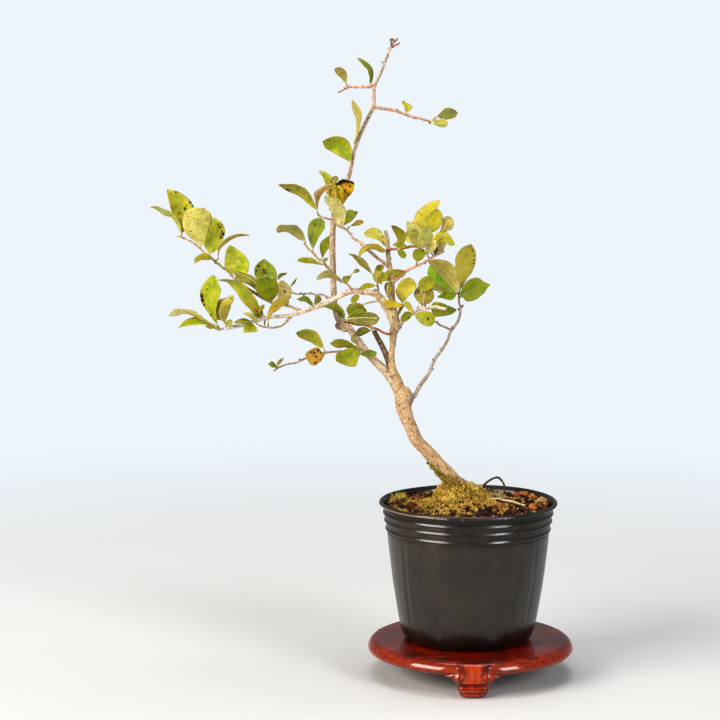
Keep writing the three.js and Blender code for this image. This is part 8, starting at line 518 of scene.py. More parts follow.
class Mat:
    """A node material, with one method for each kind of node it needs."""

    def __init__(self, name, rough=0.6, spec=0.5, coat=0.0, coat_rough=0.1, metallic=0.0, ior=1.5):
        self.m = bpy.data.materials.new(name)
        self.m.use_nodes = True
        self.t = self.m.node_tree
        self.t.nodes.clear()
        self.out = self.t.nodes.new("ShaderNodeOutputMaterial")
        self.b = self.t.nodes.new("ShaderNodeBsdfPrincipled")
        self.t.links.new(self.b.outputs[0], self.out.inputs[0])
        for k, v in (("Roughness", rough), ("Specular IOR Level", spec), ("Coat Weight", coat), ("Coat Roughness", coat_rough), ("Metallic", metallic), ("IOR", ior)):
            self.b.inputs[k].default_value = v

    def put(self, socket, v):
        if isinstance(v, bpy.types.NodeSocket):
            self.t.links.new(v, socket)
        elif v is not None:
            if hasattr(socket.default_value, "__len__") and not hasattr(v, "__len__"):
                v = [v] * len(socket.default_value)
            if hasattr(socket.default_value, "__len__") and len(socket.default_value) == 3 and len(v) == 4:
                v = v[:3]
            socket.default_value = v

    def attr(self, name, what="Vector"):
        n = self.t.nodes.new("ShaderNodeAttribute")
        n.attribute_name = name
        return n.outputs[what]

    def pos(self):
        """Place on the object in millimetres."""
        n = self.t.nodes.new("ShaderNodeTexCoord")
        return self.scale(n.outputs["Object"], 1000.0)

    def scale(self, v, s):
        n = self.t.nodes.new("ShaderNodeVectorMath")
        n.operation = "MULTIPLY"
        self.put(n.inputs[0], v)
        n.inputs[1].default_value = (s, s, s) if not hasattr(s, "__len__") else tuple(s)
        return n.outputs[0]

    def shift(self, v, s):
        n = self.t.nodes.new("ShaderNodeVectorMath")
        n.operation = "ADD"
        self.put(n.inputs[0], v)
        self.put(n.inputs[1], s)
        return n.outputs[0]

    def away(self, v, p):
        n = self.t.nodes.new("ShaderNodeVectorMath")
        n.operation = "DISTANCE"
        self.put(n.inputs[0], v)
        n.inputs[1].default_value = p
        return n.outputs["Value"]

    def xyz(self, v):
        n = self.t.nodes.new("ShaderNodeSeparateXYZ")
        self.put(n.inputs[0], v)
        return n.outputs[0], n.outputs[1], n.outputs[2]

    def join(self, x, y, z):
        n = self.t.nodes.new("ShaderNodeCombineXYZ")
        for k, v in enumerate((x, y, z)):
            self.put(n.inputs[k], v)
        return n.outputs[0]

    def noise(self, v, scale=1.0, detail=4.0, rough=0.55, distort=0.0, colour=False):
        n = self.t.nodes.new("ShaderNodeTexNoise")
        self.put(n.inputs["Vector"], v)
        n.inputs["Scale"].default_value = scale
        n.inputs["Detail"].default_value = detail
        n.inputs["Roughness"].default_value = rough
        n.inputs["Distortion"].default_value = distort
        return n.outputs["Color" if colour else "Fac"]

    def voronoi(self, v, scale=1.0, feature="F1", out="Distance", rand=1.0):
        n = self.t.nodes.new("ShaderNodeTexVoronoi")
        n.feature = feature
        self.put(n.inputs["Vector"], v)
        n.inputs["Scale"].default_value = scale
        n.inputs["Randomness"].default_value = rand
        return n.outputs[out]

    def wave(self, v, scale=1.0, distort=2.0, detail=2.0, kind="BANDS", way="X"):
        n = self.t.nodes.new("ShaderNodeTexWave")
        n.wave_type = kind
        if kind == "BANDS":
            n.bands_direction = way
        self.put(n.inputs["Vector"], v)
        n.inputs["Scale"].default_value = scale
        n.inputs["Distortion"].default_value = distort
        n.inputs["Detail"].default_value = detail
        return n.outputs["Fac"]

    def f(self, op, a, b=None, c=None, clamp=False):
        n = self.t.nodes.new("ShaderNodeMath")
        n.operation = op
        n.use_clamp = clamp
        self.put(n.inputs[0], a)
        if b is not None:
            self.put(n.inputs[1], b)
        if c is not None:
            self.put(n.inputs[2], c)
        return n.outputs[0]

    def step(self, v, a, b, lo=0.0, hi=1.0, smooth=True):
        """v from a..b onto lo..hi, held at both ends."""
        n = self.t.nodes.new("ShaderNodeMapRange")
        n.interpolation_type = "SMOOTHSTEP" if smooth else "LINEAR"
        n.clamp = True
        self.put(n.inputs["Value"], v)
        for k, x in (("From Min", a), ("From Max", b), ("To Min", lo), ("To Max", hi)):
            n.inputs[k].default_value = x
        return n.outputs["Result"]

    def mix(self, fac, a, b, blend="MIX"):
        n = self.t.nodes.new("ShaderNodeMix")
        n.data_type = "RGBA"
        n.blend_type = blend
        n.clamp_factor = True
        self.put(n.inputs[0], fac)
        self.put(n.inputs[6], a)
        self.put(n.inputs[7], b)
        return n.outputs[2]

    def ramp(self, v, stops):
        n = self.t.nodes.new("ShaderNodeValToRGB")
        self.put(n.inputs[0], v)
        e = n.color_ramp.elements
        while len(e) > 1:
            e.remove(e[-1])
        e[0].position, e[0].color = stops[0]
        for p, c in stops[1:]:
            e.new(p).color = c
        return n.outputs[0]

    def bump(self, height, strength=0.5, distance=0.0002, under=None):
        n = self.t.nodes.new("ShaderNodeBump")
        n.inputs["Strength"].default_value = strength
        n.inputs["Distance"].default_value = distance
        self.put(n.inputs["Height"], height)
        if under is not None:
            self.put(n.inputs["Normal"], under)
        return n.outputs[0]

    def done(self, colour=None, rough=None, normal=None):
        if colour is not None:
            self.put(self.b.inputs["Base Color"], colour)
        if rough is not None:
            self.put(self.b.inputs["Roughness"], rough)
        if normal is not None:
            self.put(self.b.inputs["Normal"], normal)
        return self.m


# ---- wood: one surface over trunk and limbs, and finer stems for the twigs ----
def wood_material(name, dark=1.0):
    m = Mat(name, rough=0.72, spec=0.25)
    p = m.attr("stem")  # across, across and along the stem, in millimetres
    w = m.pos()
    tint = m.attr("tint", "Color")
    knot = m.attr("knot", "Fac")
    fine = m.noise(m.scale(p, (1, 1, 0.5)), 1.25, 6, 0.78)
    patch = m.noise(m.scale(w, 1), 0.3, 3, 0.6)
    streak = m.noise(m.scale(p, (1.5, 1.5, 0.13)), 1.5, 4, 0.6, 0.4)
    c = m.mix(m.step(patch, 0.42, 0.62), tint, m.mix(1.0, tint, lin("#dcd6cc"), "MULTIPLY"))
    c = m.mix(m.step(streak, 0.52, 0.72, 0, 0.5), c, m.mix(1.0, tint, lin("#a87a5c"), "MULTIPLY"))
    c = m.mix(m.step(streak, 0.46, 0.3, 0, 0.5), c, m.mix(0.55, tint, lin("#f6e6d0")))
    c = m.mix(m.step(fine, 0.48, 0.38, 0, 0.85), c, m.mix(1.0, tint, lin("#805434"), "MULTIPLY"))
    c = m.mix(m.step(fine, 0.54, 0.64, 0, 0.7), c, m.mix(0.7, tint, lin("#fff0da")))
    speck = m.voronoi(m.scale(w, 1), 1.15)
    few = m.noise(m.scale(w, 1), 0.5, 2)
    c = m.mix(m.f("MULTIPLY", m.step(speck, 0.26, 0.14), m.step(few, 0.5, 0.62, 0, 0.7)), c, lin("#5a3a28"))
    pale = m.voronoi(m.shift(w, (7.0, 3.0, 5.0)), 0.9)
    c = m.mix(m.f("MULTIPLY", m.step(pale, 0.3, 0.16), m.step(few, 0.5, 0.4, 0, 0.7)), c, m.mix(0.7, tint, lin("#fff4e2")))
    # short cross lines, as young bark has
    lines = m.noise(m.scale(p, (0.35, 0.35, 2.3)), 1.0, 3, 0.6, 0.3)
    c = m.mix(m.step(lines, 0.6, 0.68, 0, 0.4), c, m.mix(1.0, tint, lin("#84583f"), "MULTIPLY"))
    c = m.mix(knot, c, m.mix(m.noise(w, 1.2), lin("#22150e"), lin("#4e3424")))
    h = m.f("ADD", m.f("MULTIPLY", fine, 0.5), m.f("MULTIPLY", streak, 0.8))
    h = m.f("ADD", h, m.f("MULTIPLY", lines, 0.5))
    return m.done(c, m.step(fine, 0.3, 0.7, 0.62, 0.85), m.bump(h, 0.8, 0.0003))


WOOD_TINT = {  # bark colour at the start and the end of each stem
    "trunk": ("#caa472", "#d2ae82"), "T1": ("#cbb58e", "#cbb39b"), "L": ("#c6ad91", "#bda491"), "L2": ("#6f625b", "#6f625b"),
    "L3": ("#9d664d", "#9d664d"), "P": ("#c78f6e", "#c08a6c"), "R": ("#b48c6d", "#b48c71"), "S": ("#c6a673", "#c6ae8a"),
    "T2": ("#6b4d33", "#75583a"), "T4": ("#6f5036", "#6f5036"), "KN": ("#dacaaf", "#c7b392"), "Q": ("#ecd3a4", "#ecd3a4"),
    "Q2": ("#c2a69a", "#c2a69a"), "Q3": ("#e7caa2", "#e7caa2"), "M": ("#eecfb1", "#f1ead8"), "M2": ("#f8f0e0", "#e8dccc"),
    "T3": ("#bb9c68", "#b79665"), "G": ("#a7977b", "#a7977b"), "U": ("#cbaf7c", "#c4a474"), "H": ("#cfa88f", "#cfa88f"),
    "I": ("#b69956", "#b9985d"), "K": ("#da967f", "#e3a694"), "V": ("#cd783c", "#bd7035"), "BB": ("#bba889", "#d8c8b1"),
    "W": ("#b2a18d", "#bbac9d"), "W2": ("#c4a990", "#c4a990"), "X": ("#efaf8c", "#fab996"), "Y": ("#ab6e46", "#8b5633"),
    "O": ("#a88d64", "#a88055"), "F1r": ("#a87c58", "#8a6644"), "rootA": ("#8a6a50", "#6a4c38"), "rootB": ("#8a6a50", "#6a4c38"),
    "rootC": ("#8a6a50", "#6a4c38"), "rootD": ("#8a6a50", "#6a4c38"), "rootLoop": ("#32221a", "#3e2a21"),
}
LIMBS = ["trunk", "T1", "L", "S", "M", "T2", "T4", "KN", "Q", "F1r", "BB", "W"]
ALL_POINTS = np.vstack([catmull(np.array(v, float), 8 * len(v)) for v in BR.values()])
BR_POINTS = np.vstack([catmull(np.array(BR[k], float), 6 * len(BR[k]))[:, :3] for k in LIMBS])


def stem(rows, step, sides, lump=0.0, seed=0, flare=0.0, cap=True, spin=0.0):
    """A tube through x, y, z, radius rows. Returns points, faces, stem coordinates, share along and centre rows."""
    rows = np.asarray(rows, float)
    length = np.linalg.norm(np.diff(rows[:, :3], axis=0), axis=1).sum()
    n = max(6, int(length / step))
    C = catmull(rows, max(n, len(rows) * 2))
    d = np.r_[0, np.cumsum(np.linalg.norm(np.diff(C[:, :3], axis=0), axis=1))]
    s = np.linspace(0, d[-1], n)
    C = np.stack([np.interp(s, d, C[:, k]) for k in range(4)], 1)
    T = unit(np.gradient(C[:, :3], axis=0))
    r = np.maximum(C[:, 3], 0.18)
    if flare:
        r = r * (1 + flare * np.exp(-s / max(0.8, 1.3 * rows[0, 3])))
    a = np.array([0.0, 0, 1]) if abs(T[0, 2]) < 0.8 else np.array([0, 1.0, 0])
    e1 = np.zeros_like(T)
    e1[0] = unit(np.cross(T[0], a))
    for i in range(1, n):
        e1[i] = unit(e1[i - 1] - T[i] * np.dot(T[i], e1[i - 1]))
    e2 = np.cross(T, e1)
    th = np.linspace(0, 2 * np.pi, sides, endpoint=False) + spin
    ring = e1[:, None, :] * np.cos(th)[None, :, None] + e2[:, None, :] * np.sin(th)[None, :, None]
    rr = r[:, None] * np.ones((1, sides))
    if lump:
        q = C[:, None, :3] + ring * rr[:, :, None]
        k = fbm(q.reshape(-1, 3) / np.array([2.2, 2.2, 2.2]), seed, 3).reshape(n, sides) - 0.5
        rr = rr * (1 + lump * k)
    P = C[:, None, :3] + ring * rr[:, :, None]
    st = np.stack([rr * np.cos(th), rr * np.sin(th), s[:, None] * np.ones((1, sides))], -1)
    V = P.reshape(-1, 3)
    F = []
    for i in range(n - 1):
        for j in range(sides):
            b = (j + 1) % sides
            F.append((i * sides + j, i * sides + b, (i + 1) * sides + b, (i + 1) * sides + j))
    st = st.reshape(-1, 3)
    share = np.repeat(s / s[-1], sides)
    if cap:
        V = np.vstack([V, C[0, :3] - T[0] * r[0] * 0.5, C[-1, :3] + T[-1] * r[-1] * 0.6])
        st = np.vstack([st, [0, 0, 0], [0, 0, s[-1]]])
        share = np.r_[share, 0, 1]
        z, e = n * sides, n * sides + 1
        for j in range(sides):
            F.append((z, (j + 1) % sides, j))
            F.append((e, (n - 1) * sides + j, (n - 1) * sides + (j + 1) % sides))
    return V, F, st, share, C, T, e1, e2, s


def gather(parts):
    """Several (V, F, attribute...) lists as one."""
    V, F, A, at = [], [], [[] for _ in parts[0][2:]], 0
    for p in parts:
        V.append(p[0])
        F += [tuple(i + at for i in f) for f in p[1]]
        for k, a in enumerate(p[2:]):
            A[k].append(a)
        at += len(p[0])
    return [np.vstack(V), F] + [np.concatenate(a) for a in A]


def tint_of(name, share):
    a, b = (np.array(lin(c)) for c in WOOD_TINT[name])
    t = np.clip(share, 0, 1)[:, None]
    c = a * (1 - t) + b * t
    if name == "M":  # a bleached length near the end of the low left limb
        k = np.exp(-(((share - 0.84) / 0.085) ** 2))[:, None] * 0.75
        c = c * (1 - k) + np.array(lin("#f3ece0")) * k
    return c


def knot_field(V):
    k = np.zeros(len(V))
    out = np.zeros(len(V))
    for x, y, z, r, dark, bump in KNOTS:
        d = np.linalg.norm((V - [x, y, z]) * [1, 0.8, 0.75], axis=1)
        k = np.maximum(k, dark * np.clip(1.25 - d / r, 0, 1) ** 0.7 * (d < 1.25 * r))
        out += bump * np.exp(-((d / (r * 1.1)) ** 2))
    return k, out


def limbs():
    parts = []
    for i, name in enumerate(LIMBS):
        rows = BR[name]
        V, F, st, sh, *_ = stem(rows, 0.9, 14, 0.0, i, flare=0.0 if name == "trunk" else 0.28)
        parts.append((V, F))
    for name in ("rootA", "rootB", "rootC", "rootD"):
        V, F, *_ = stem(BR[name][:3], 1.2, 12, 0.0, 3, flare=0.1)
        parts.append((V, F))
    # the swelling where the right limb leaves, and the stub beside the low left limb's start
    for x, y, z, r, dark, bump in KNOTS:
        if bump >= 0.3 and min(np.linalg.norm(BR_POINTS - [x, y, z], axis=1)) < 2.2 * r + 2:
            bm = bmesh.new()
            bmesh.ops.create_icosphere(bm, subdivisions=2, radius=r * 0.8)
            V = np.array([v.co[:] for v in bm.verts]) * [1, 0.9, 1.15] + [x, y + 0.5 * r, z]
            parts.append((V, [tuple(v.index for v in f.verts) for f in bm.faces]))
            bm.free()
    V, F = gather(parts)
    V, F = fuse(V, F, 0.37)
    n = len(V)
    # nearest stem of every point
    tree, data = [], []
    for name in LIMBS + ["rootA", "rootB", "rootC", "rootD"]:
        *_, C, T, e1, e2, s = stem(BR[name], 0.5, 3)
        for i in range(len(C)):
            tree.append(C[i, :3])
            data.append((name, s[i] / s[-1], s[i], C[i], T[i], e1[i], e2[i]))
    kd = kdtree.KDTree(len(tree))
    for i, p in enumerate(tree):
        kd.insert(p, i)
    kd.balance()
    tree = np.array(tree)
    rad = np.array([d[3][3] for d in data])
    st, tint, nrm, rr = np.zeros((n, 3)), np.zeros((n, 4)), np.zeros((n, 3)), np.zeros(n)
    names = list(WOOD_TINT)
    table = {nm: tint_of(nm, np.linspace(0, 1, 101)) for nm in LIMBS + ["rootA", "rootB", "rootC", "rootD"]}
    for v in range(n):
        best, bi = None, 0
        hits = kd.find_n(V[v], 6)
        tsum, wsum = 0, 0
        for co, i, d in hits:
            q = d / rad[i]
            if best is None or q < best:
                best, bi = q, i
        for co, i, d in hits:
            w = math.exp(-4 * (d / rad[i] - best))
            tsum = tsum + w * table[data[i][0]][int(100 * data[i][1])]
            wsum += w
        nm, sh, s, C, T, e1, e2 = data[bi]
        q = V[v] - C[:3]
        st[v] = (np.dot(q, e1), np.dot(q, e2), s + np.dot(q, T))
        tint[v] = tsum / wsum
        nn = q - T * np.dot(q, T)
        nrm[v] = nn / max(1e-6, np.linalg.norm(nn))
        rr[v] = C[3]
    kn, out = knot_field(V)
    amp = np.clip(rr * 0.11, 0.03, 0.42)
    ridge = fbm(st * np.array([0.55, 0.55, 0.14]) + 3.1, 5, 4) - 0.5
    lump = fbm(V / 6.5, 9, 3) - 0.5
    grain = fbm(V / 0.9, 21, 2) - 0.5
    V = V + nrm * (amp * (1.5 * ridge + 1.3 * lump) + np.clip(0.02 + 0.035 * rr, 0.03, 0.17) * 2 * grain + np.clip(out, -0.3, 0.6) * 0.55)[:, None]
    # the foot of the trunk is darker and greener where the moss climbs
    g = np.clip((108 - V[:, 2]) / 14, 0, 1) * 0.35
    tint[:, :3] = tint[:, :3] * (1 - g[:, None]) + np.array(lin("#6f5a34"))[:3] * g[:, None]
    make("wood_trunk_and_limbs", V, F, [bark], {"stem": st, "tint": tint, "knot": kn}, node=("tree_wood",))
    low = V[:, 2] < 119
    return V[low], normals(V, F)[low]


def twigs():
    parts = []
    for i, name in enumerate(BR):
        if name in LIMBS or name in ("rootA", "rootB", "rootC", "rootD", "rootLoop"):
            continue
        V, F, st, sh, C, T, e1, e2, s = stem(BR[name], 0.42, 10, 0.0, i, flare=0.55)
        rs = np.random.default_rng(100 + i)
        along = st[:, 2]
        r = np.interp(along, s, C[:, 3])
        swell = np.zeros(len(V))
        at = rs.uniform(2, 5)
        while at < s[-1] - 1:
            th = rs.uniform(0, 6.28)
            side = np.cos(np.arctan2(st[:, 1], st[:, 0]) - th)
            swell += 0.24 * np.exp(-(((along - at) / 0.75) ** 2)) * (0.45 + 0.9 * np.clip(side, 0, 1))
            at += rs.uniform(4.5, 8.5)
        wob = fbm(V / 1.4, 50 + i, 3) - 0.5
        ax = np.stack([np.interp(along, s, C[:, k]) for k in range(3)], 1)
        q = unit(V - ax)
        V = V + q * (r * (swell + 0.32 * wob))[:, None]
        parts.append((V, F, st + [0, 0, 40.0 * i], tint_of(name, sh)))
    for i, (x, y, z, tx, ty, tz, r) in enumerate(BUDS):
        if abs(z - 237.38) < 0.02:  # that stem ends in a cut stub
            continue
        a, b = np.array([x, y, z]), np.array([tx, ty, tz])
        L = np.linalg.norm(b - a)
        near = np.argmin(np.linalg.norm(ALL_POINTS[:, :3] - a, axis=1))
        along = unit(ALL_POINTS[min(near + 2, len(ALL_POINTS) - 1), :3] - ALL_POINTS[max(near - 2, 0), :3])
        if z > 318 or L > 4:  # end buds keep their own direction
            k = 1.0
        else:  # side buds lie close to the stem
            k = 0.62
            b = a + unit(unit(b - a) + 0.75 * along) * L
        b = a + (b - a) * k
        r, L = r * (0.8 + 0.2 * k), L * k
        rows = [[*(a + (b - a) * t), r * k] for t, k in ((0, 1.0), (0.45, 1.05), (0.7, 0.95), (0.86, 0.65), (0.97, 0.3))]
        V, F, st, sh, C, T, e1, e2, s = stem(rows, max(0.12, L / 9), 9)
        c = np.array(lin("#7a4f3c")) * (1 - sh[:, None]) + np.array(lin("#b58a68")) * sh[:, None]
        if i % 3 == 0:
            c = c * 0.6
        parts.append((V, F, st + [0, 0, 7.0 * i], c))
    V, F, st, tint = gather(parts)
    kn, out = knot_field(V)
    return make("wood_twigs_and_buds", V, F, [bark], {"stem": st, "tint": tint, "knot": kn * 0.8}, node=("tree_wood",))


def root_loop():
    V, F, st, sh, C, T, e1, e2, s = stem(BR["rootLoop"], 0.45, 12, 0.25, 77)
    c = tint_of("rootLoop", sh)
    o = make("wood_root_loop", V, F, [bark], {"stem": st, "tint": c, "knot": np.zeros(len(V))}, node=("tree_wood",))
    return o


# ---- leaves ----
# the classes xx and ww are brightened to stand for light on leaves that lie in shade (painted light), and dz is
# darkened for a leaf in shade (painted shade)
LEAF_COLOURS = {  # face that is seen, its second colour, its rim, and the other face
    "yg": ("#93a318", "#bcb426", "#b98f1c", "#ada24a"), "lg": ("#b2be22", "#d4cd47", "#bda92c", "#b0a852"), "gr": ("#7a910e", "#9aa016", "#a59824", "#9c9846"),
    "dg": ("#728e12", "#90a31a", "#84821c", "#8e9242"), "bg": ("#73a313", "#97b720", "#a2a224", "#9ea24a"), "ol": ("#878e12", "#a8a020", "#ac9020", "#a49a48"),
    "yo": ("#b0aa2a", "#c5b236", "#b37e20", "#ada04e"), "kh": ("#cfc869", "#bab151", "#9e8e34", "#929422"), "kg": ("#a6a149", "#b4ac52", "#8e7e34", "#8a9024"),
    "br": ("#a19739", "#8e8329", "#7e6422", "#8a8a26"), "ta": ("#cab84d", "#ad9d3f", "#9c7e32", "#909424"), "ye": ("#c3ac1b", "#b3aa2d", "#c48e1c", "#b8a848"),
    "go": ("#e2b220", "#d49c18", "#a8661a", "#b29840"),
    "wh": ("#dccf84", "#c8b868", "#a89a48", "#a0a03c"), "dk": ("#6c6a20", "#5c5a1a", "#5a4a18", "#80803a"), "bn": ("#8c682c", "#765222", "#5c3a18", "#84743a"),
    "dz": ("#34401a", "#444c1e", "#4a4218", "#6c7038"),
    "oy": ("#86820f", "#9c9018", "#9a7c1c", "#8f8840"), "gd": ("#66780c", "#7e8412", "#8a7e1e", "#8a863c"), "xx": ("#fff05a", "#fbe048", "#c89a30", "#c0b050"),
    "g2": ("#aab474", "#9ca868", "#80783e", "#8c9046"), "yl": ("#c6b43c", "#cfc04e", "#b8962c", "#b0a852"), "ww": ("#fff0a4", "#f2dc80", "#b8a050", "#a8a844"),
    "lh": ("#bccc4c", "#ccd26a", "#b8a838", "#b0a852"), "dd": ("#4e6a12", "#647414", "#6c6418", "#8a8e40"), "k2": ("#86782f", "#746624", "#5e4a1c", "#84803a"),
    "gg": ("#8c9a5e", "#808c4c", "#706c38", "#80863a"), "oo": ("#b8842c", "#ac7a26", "#90501a", "#a88c3c"),
    "hi": ("#f2d648", "#e2c436", "#c09028", "#b8a848"),
    "or": ("#cbb837", "#c1a425", "#b0701a", "#b29840"),
}
SPOT_COLOURS = {"k": "#130d08", "b": "#5f3f18", "r": "#80420f", "p": "#d8d492", "o": "#c47c18", "g": "#4c5c16"}
LEAF_TURN_AND_PAINTED_LIGHT = {  # leaves with a class of their own: some turned more or less than the rest of their kind, and some are made brighter or darker for the light and shade on them, which is painted light and painted shade
    "F1": "yg", "H4b": "go", "H4": "xx", "Z10": "yl", "O5": "kh", "Z6": "lg", "DD3": "yl", "Z4": "lg", "E2": "kh", "C2": "gr", "A2": "ol", "H2": "bn", "H12": "k2", "Z5": "br",
    "Z8": "ol", "EE1": "yo", "EE4": "ol", "EE9": "gd", "CC2": "ol", "DD4": "gd", "O3": "dk", "O4": "dk", "EE12": "dz", "H9": "gd", "A7": "lg", "A8": "br", "D": "wh", "E1": "hi",
    "B1": "ww", "B2": "yg", "B8": "yg", "H5": "wh", "H8": "kh", "H10": "yg", "K1": "wh", "K2": "kg", "K3": "kh", "N1": "yg", "N3": "kg", "P3": "kg", "GG2": "oo", "P1": "kh",
    "R3": "kg", "Z1": "yl", "Z2": "hi", "Z11": "hi", "CC1": "ol", "EE6c": "xx", "EE10": "lg", "EE11": "ww", "EE13": "ww", "R4": "kg", "C1": "gd", "A5": "oy", "B6": "ol", "H3": "yg",
    "H3b": "k2", "H11": "oy", "N2": "gd", "P2": "gd", "R2": "yo", "S1": "yg", "Z3": "br", "Z9": "k2", "Z12": "yo", "CC3": "gr", "CC5": "ol", "DD5": "gr", "EE5": "kg", "EE7": "oy",
    "O2": "gd", "O6": "yg", "O8": "gd", "GG4": "kg", "A4": "yg", "DD6": "kg", "GG3": "gr",
}
SPOT_GROW = {"H4b": 1.5}
WIDER = {"EE1": 1.22, "EE2": 1.12}


def leaf_material(name, colours, face, seed, spots, length):
    seen, second, rimc, other = (np.array(lin(c)) for c in colours)
    m = Mat(name, rough=0.42, spec=0.2)
    rs = np.random.default_rng(seed)
    k = rs.uniform(0.9, 1.12) * (1 + rs.uniform(-0.06, 0.06, 3))
    seen, second, other = (tuple(np.append(np.clip(c[:3] * k, 0, 1), 1)) for c in (seen, second, other))
    rimc = tuple(rimc)
    shift = tuple(rs.uniform(-50, 50, 3))
    lc = m.attr("leafmm")  # across and along in millimetres, and the side: 1 upper, -1 lower, 0 stalk
    ls = m.attr("leafshare")  # share across, share along, half width
    t, s, side = m.xyz(lc)
    v, u, hw = m.xyz(ls)
    flat = m.shift(m.join(t, s, 0.0), shift)
    at = m.f("ABSOLUTE", t)
    av = m.f("ABSOLUTE", v)
    up, down = (seen, other) if face > 0 else (other, seen)
    up2, down2 = (second, other) if face > 0 else (other, second)
    patch = m.noise(flat, 0.2, 4, 0.62, 0.5)
    cloud = m.noise(flat, 0.6, 5, 0.66)
    grain = m.noise(flat, 2.4, 4, 0.68)
    blot = m.noise(m.shift(flat, (3.0, 11.0, 2.0)), 0.34, 4, 0.65, 0.4)
    # upper face: green along the veins, turning from the rim inwards
    turn = m.f("ADD", m.f("MULTIPLY", patch, 1.5), m.f("MULTIPLY", m.f("MULTIPLY", av, av), 0.34))
    turn = m.f("ADD", turn, m.f("MULTIPLY", cloud, 0.5))
    a = m.mix(m.step(turn, 0.86, 1.26), up, up2)
    a = m.mix(m.step(blot, 0.52, 0.7, 0, 0.55), a, m.mix(1.0, up, lin("#93a568"), "MULTIPLY"))
    a = m.mix(m.step(m.f("ADD", m.f("MULTIPLY", av, 0.3), blot), 0.78, 0.98, 0, 0.75), a, rimc)
    a = m.mix(m.step(u, 0.3, 0.0, 0, 0.35), a, m.mix(1.0, a, lin("#9aa850"), "MULTIPLY"))
    a = m.mix(m.step(cloud, 0.55, 0.72, 0, 0.4), a, m.mix(1.0, a, lin("#b3a868"), "MULTIPLY"))
    a = m.mix(m.step(cloud, 0.46, 0.3, 0, 0.3), a, m.mix(0.5, a, lin("#d8d060")))
    # lower face: paler, with a rusty bloom
    b = m.mix(m.step(patch, 0.4, 0.62), down, down2)
    b = m.mix(m.step(cloud, 0.5, 0.72, 0, 0.45), b, m.mix(1.0, b, lin("#b08f62"), "MULTIPLY"))
    b = m.mix(m.step(blot, 0.52, 0.68, 0, 0.5), b, m.mix(0.6, b, lin("#9c7c44")))
    b = m.mix(m.step(cloud, 0.45, 0.3, 0, 0.35), b, m.mix(0.5, b, lin("#cfc88a")))
    # veins: a midrib and arched side veins, pale on both faces
    q = m.f("SUBTRACT", s, m.f("ADD", m.f("MULTIPLY", at, 0.62), m.f("MULTIPLY", m.f("MULTIPLY", at, at), 0.055)))
    q = m.f("ADD", q, m.f("MULTIPLY", m.noise(flat, 0.35, 2), 1.6))
    gap = max(1.7, length / 7.5)
    w = m.f("ABSOLUTE", m.f("SUBTRACT", m.f("FRACT", m.f("DIVIDE", q, gap)), 0.5))
    vein = m.f("MULTIPLY", m.step(w, 0.075, 0.015), m.step(av, 0.98, 0.7))
    net = m.voronoi(flat, 1.15, "DISTANCE_TO_EDGE")
    netl = m.step(net, 0.09, 0.02)
    ribw = m.f("MULTIPLY", m.step(u, 1.0, 0.0, 0.1, 0.3, smooth=False), 1.0)
    rib = m.f("MULTIPLY", m.step(m.f("DIVIDE", at, ribw), 1.4, 0.7), m.step(u, 1.0, 0.93))
    a = m.mix(m.f("MULTIPLY", vein, 0.22), a, m.mix(0.6, a, lin("#cfc878")))
    a = m.mix(m.f("MULTIPLY", rib, 0.45), a, m.mix(0.6, a, lin("#d8cf80")))
    a = m.mix(m.f("MULTIPLY", netl, 0.16), a, m.mix(0.6, a, lin("#626c18")))
    b = m.mix(m.f("MULTIPLY", vein, 0.4), b, m.mix(0.6, b, lin("#d8cd94")))
    b = m.mix(m.f("MULTIPLY", rib, 0.7), b, m.mix(0.7, b, lin("#e2d8a2")))
    b = m.mix(m.f("MULTIPLY", netl, 0.25), b, m.mix(0.6, b, lin("#7f7134")))
    c = m.mix(m.step(side, -0.2, 0.2), b, a)
    # fine specks, more of them towards the tip, and a brown thin edge
    sp = m.voronoi(flat, 0.95, out="Distance")
    few = m.f("ADD", m.noise(m.shift(flat, (9.0, 4.0, 1.0)), 0.28, 2), m.step(u, 0.3, 1.0, -0.05, 0.12))
    specks = m.f("MULTIPLY", m.step(sp, 0.24, 0.12), m.step(few, 0.47, 0.62, 0, 0.85))
    c = m.mix(specks, c, lin("#5c3d16"))
    tiny = m.voronoi(m.shift(flat, (2.0, 8.0, 4.0)), 1.9, out="Distance")
    c = m.mix(m.f("MULTIPLY", m.step(tiny, 0.22, 0.12), m.step(few, 0.42, 0.56, 0, 0.4)), c, lin("#7a5a22"))
    c = m.mix(m.f("MULTIPLY", m.step(grain, 0.45, 0.3), 0.35), c, m.mix(1.0, c, lin("#86803e"), "MULTIPLY"))
    rim = m.f("ADD", av, m.f("MULTIPLY", m.f("SUBTRACT", cloud, 0.5), 0.3))
    c = m.mix(m.step(rim, 0.92, 1.0, 0, 0.6), c, lin("#77501e"))
    c = m.mix(m.step(m.f("ADD", u, m.f("MULTIPLY", cloud, 0.06)), 0.955, 1.0, 0, 0.85), c, lin("#553414"))
    grow = SPOT_GROW.get(name[5:], 1.0)
    for x, y, r, kind in spots:
        r = r * grow
        wob = m.noise(m.shift(flat, (x, y, 3.0)), 1.3, 3, 0.6)
        d = m.f("ADD", m.away(m.join(t, s, 0.0), (y, x, 0.0)), m.f("MULTIPLY", m.f("SUBTRACT", wob, 0.5), 1.7 * r))
        if kind in "kb":
            c = m.mix(m.step(d, r * 2.1, r * 0.9, 0, 0.45), c, m.mix(1.0, c, lin("#a87e40"), "MULTIPLY"))
        k = m.step(d, r * 1.25, r * 0.75, 0, {"k": 0.97, "b": 0.85, "r": 0.8, "p": 0.6, "o": 0.8, "g": 0.8}[kind])
        c = m.mix(k, c, lin(SPOT_COLOURS[kind]))
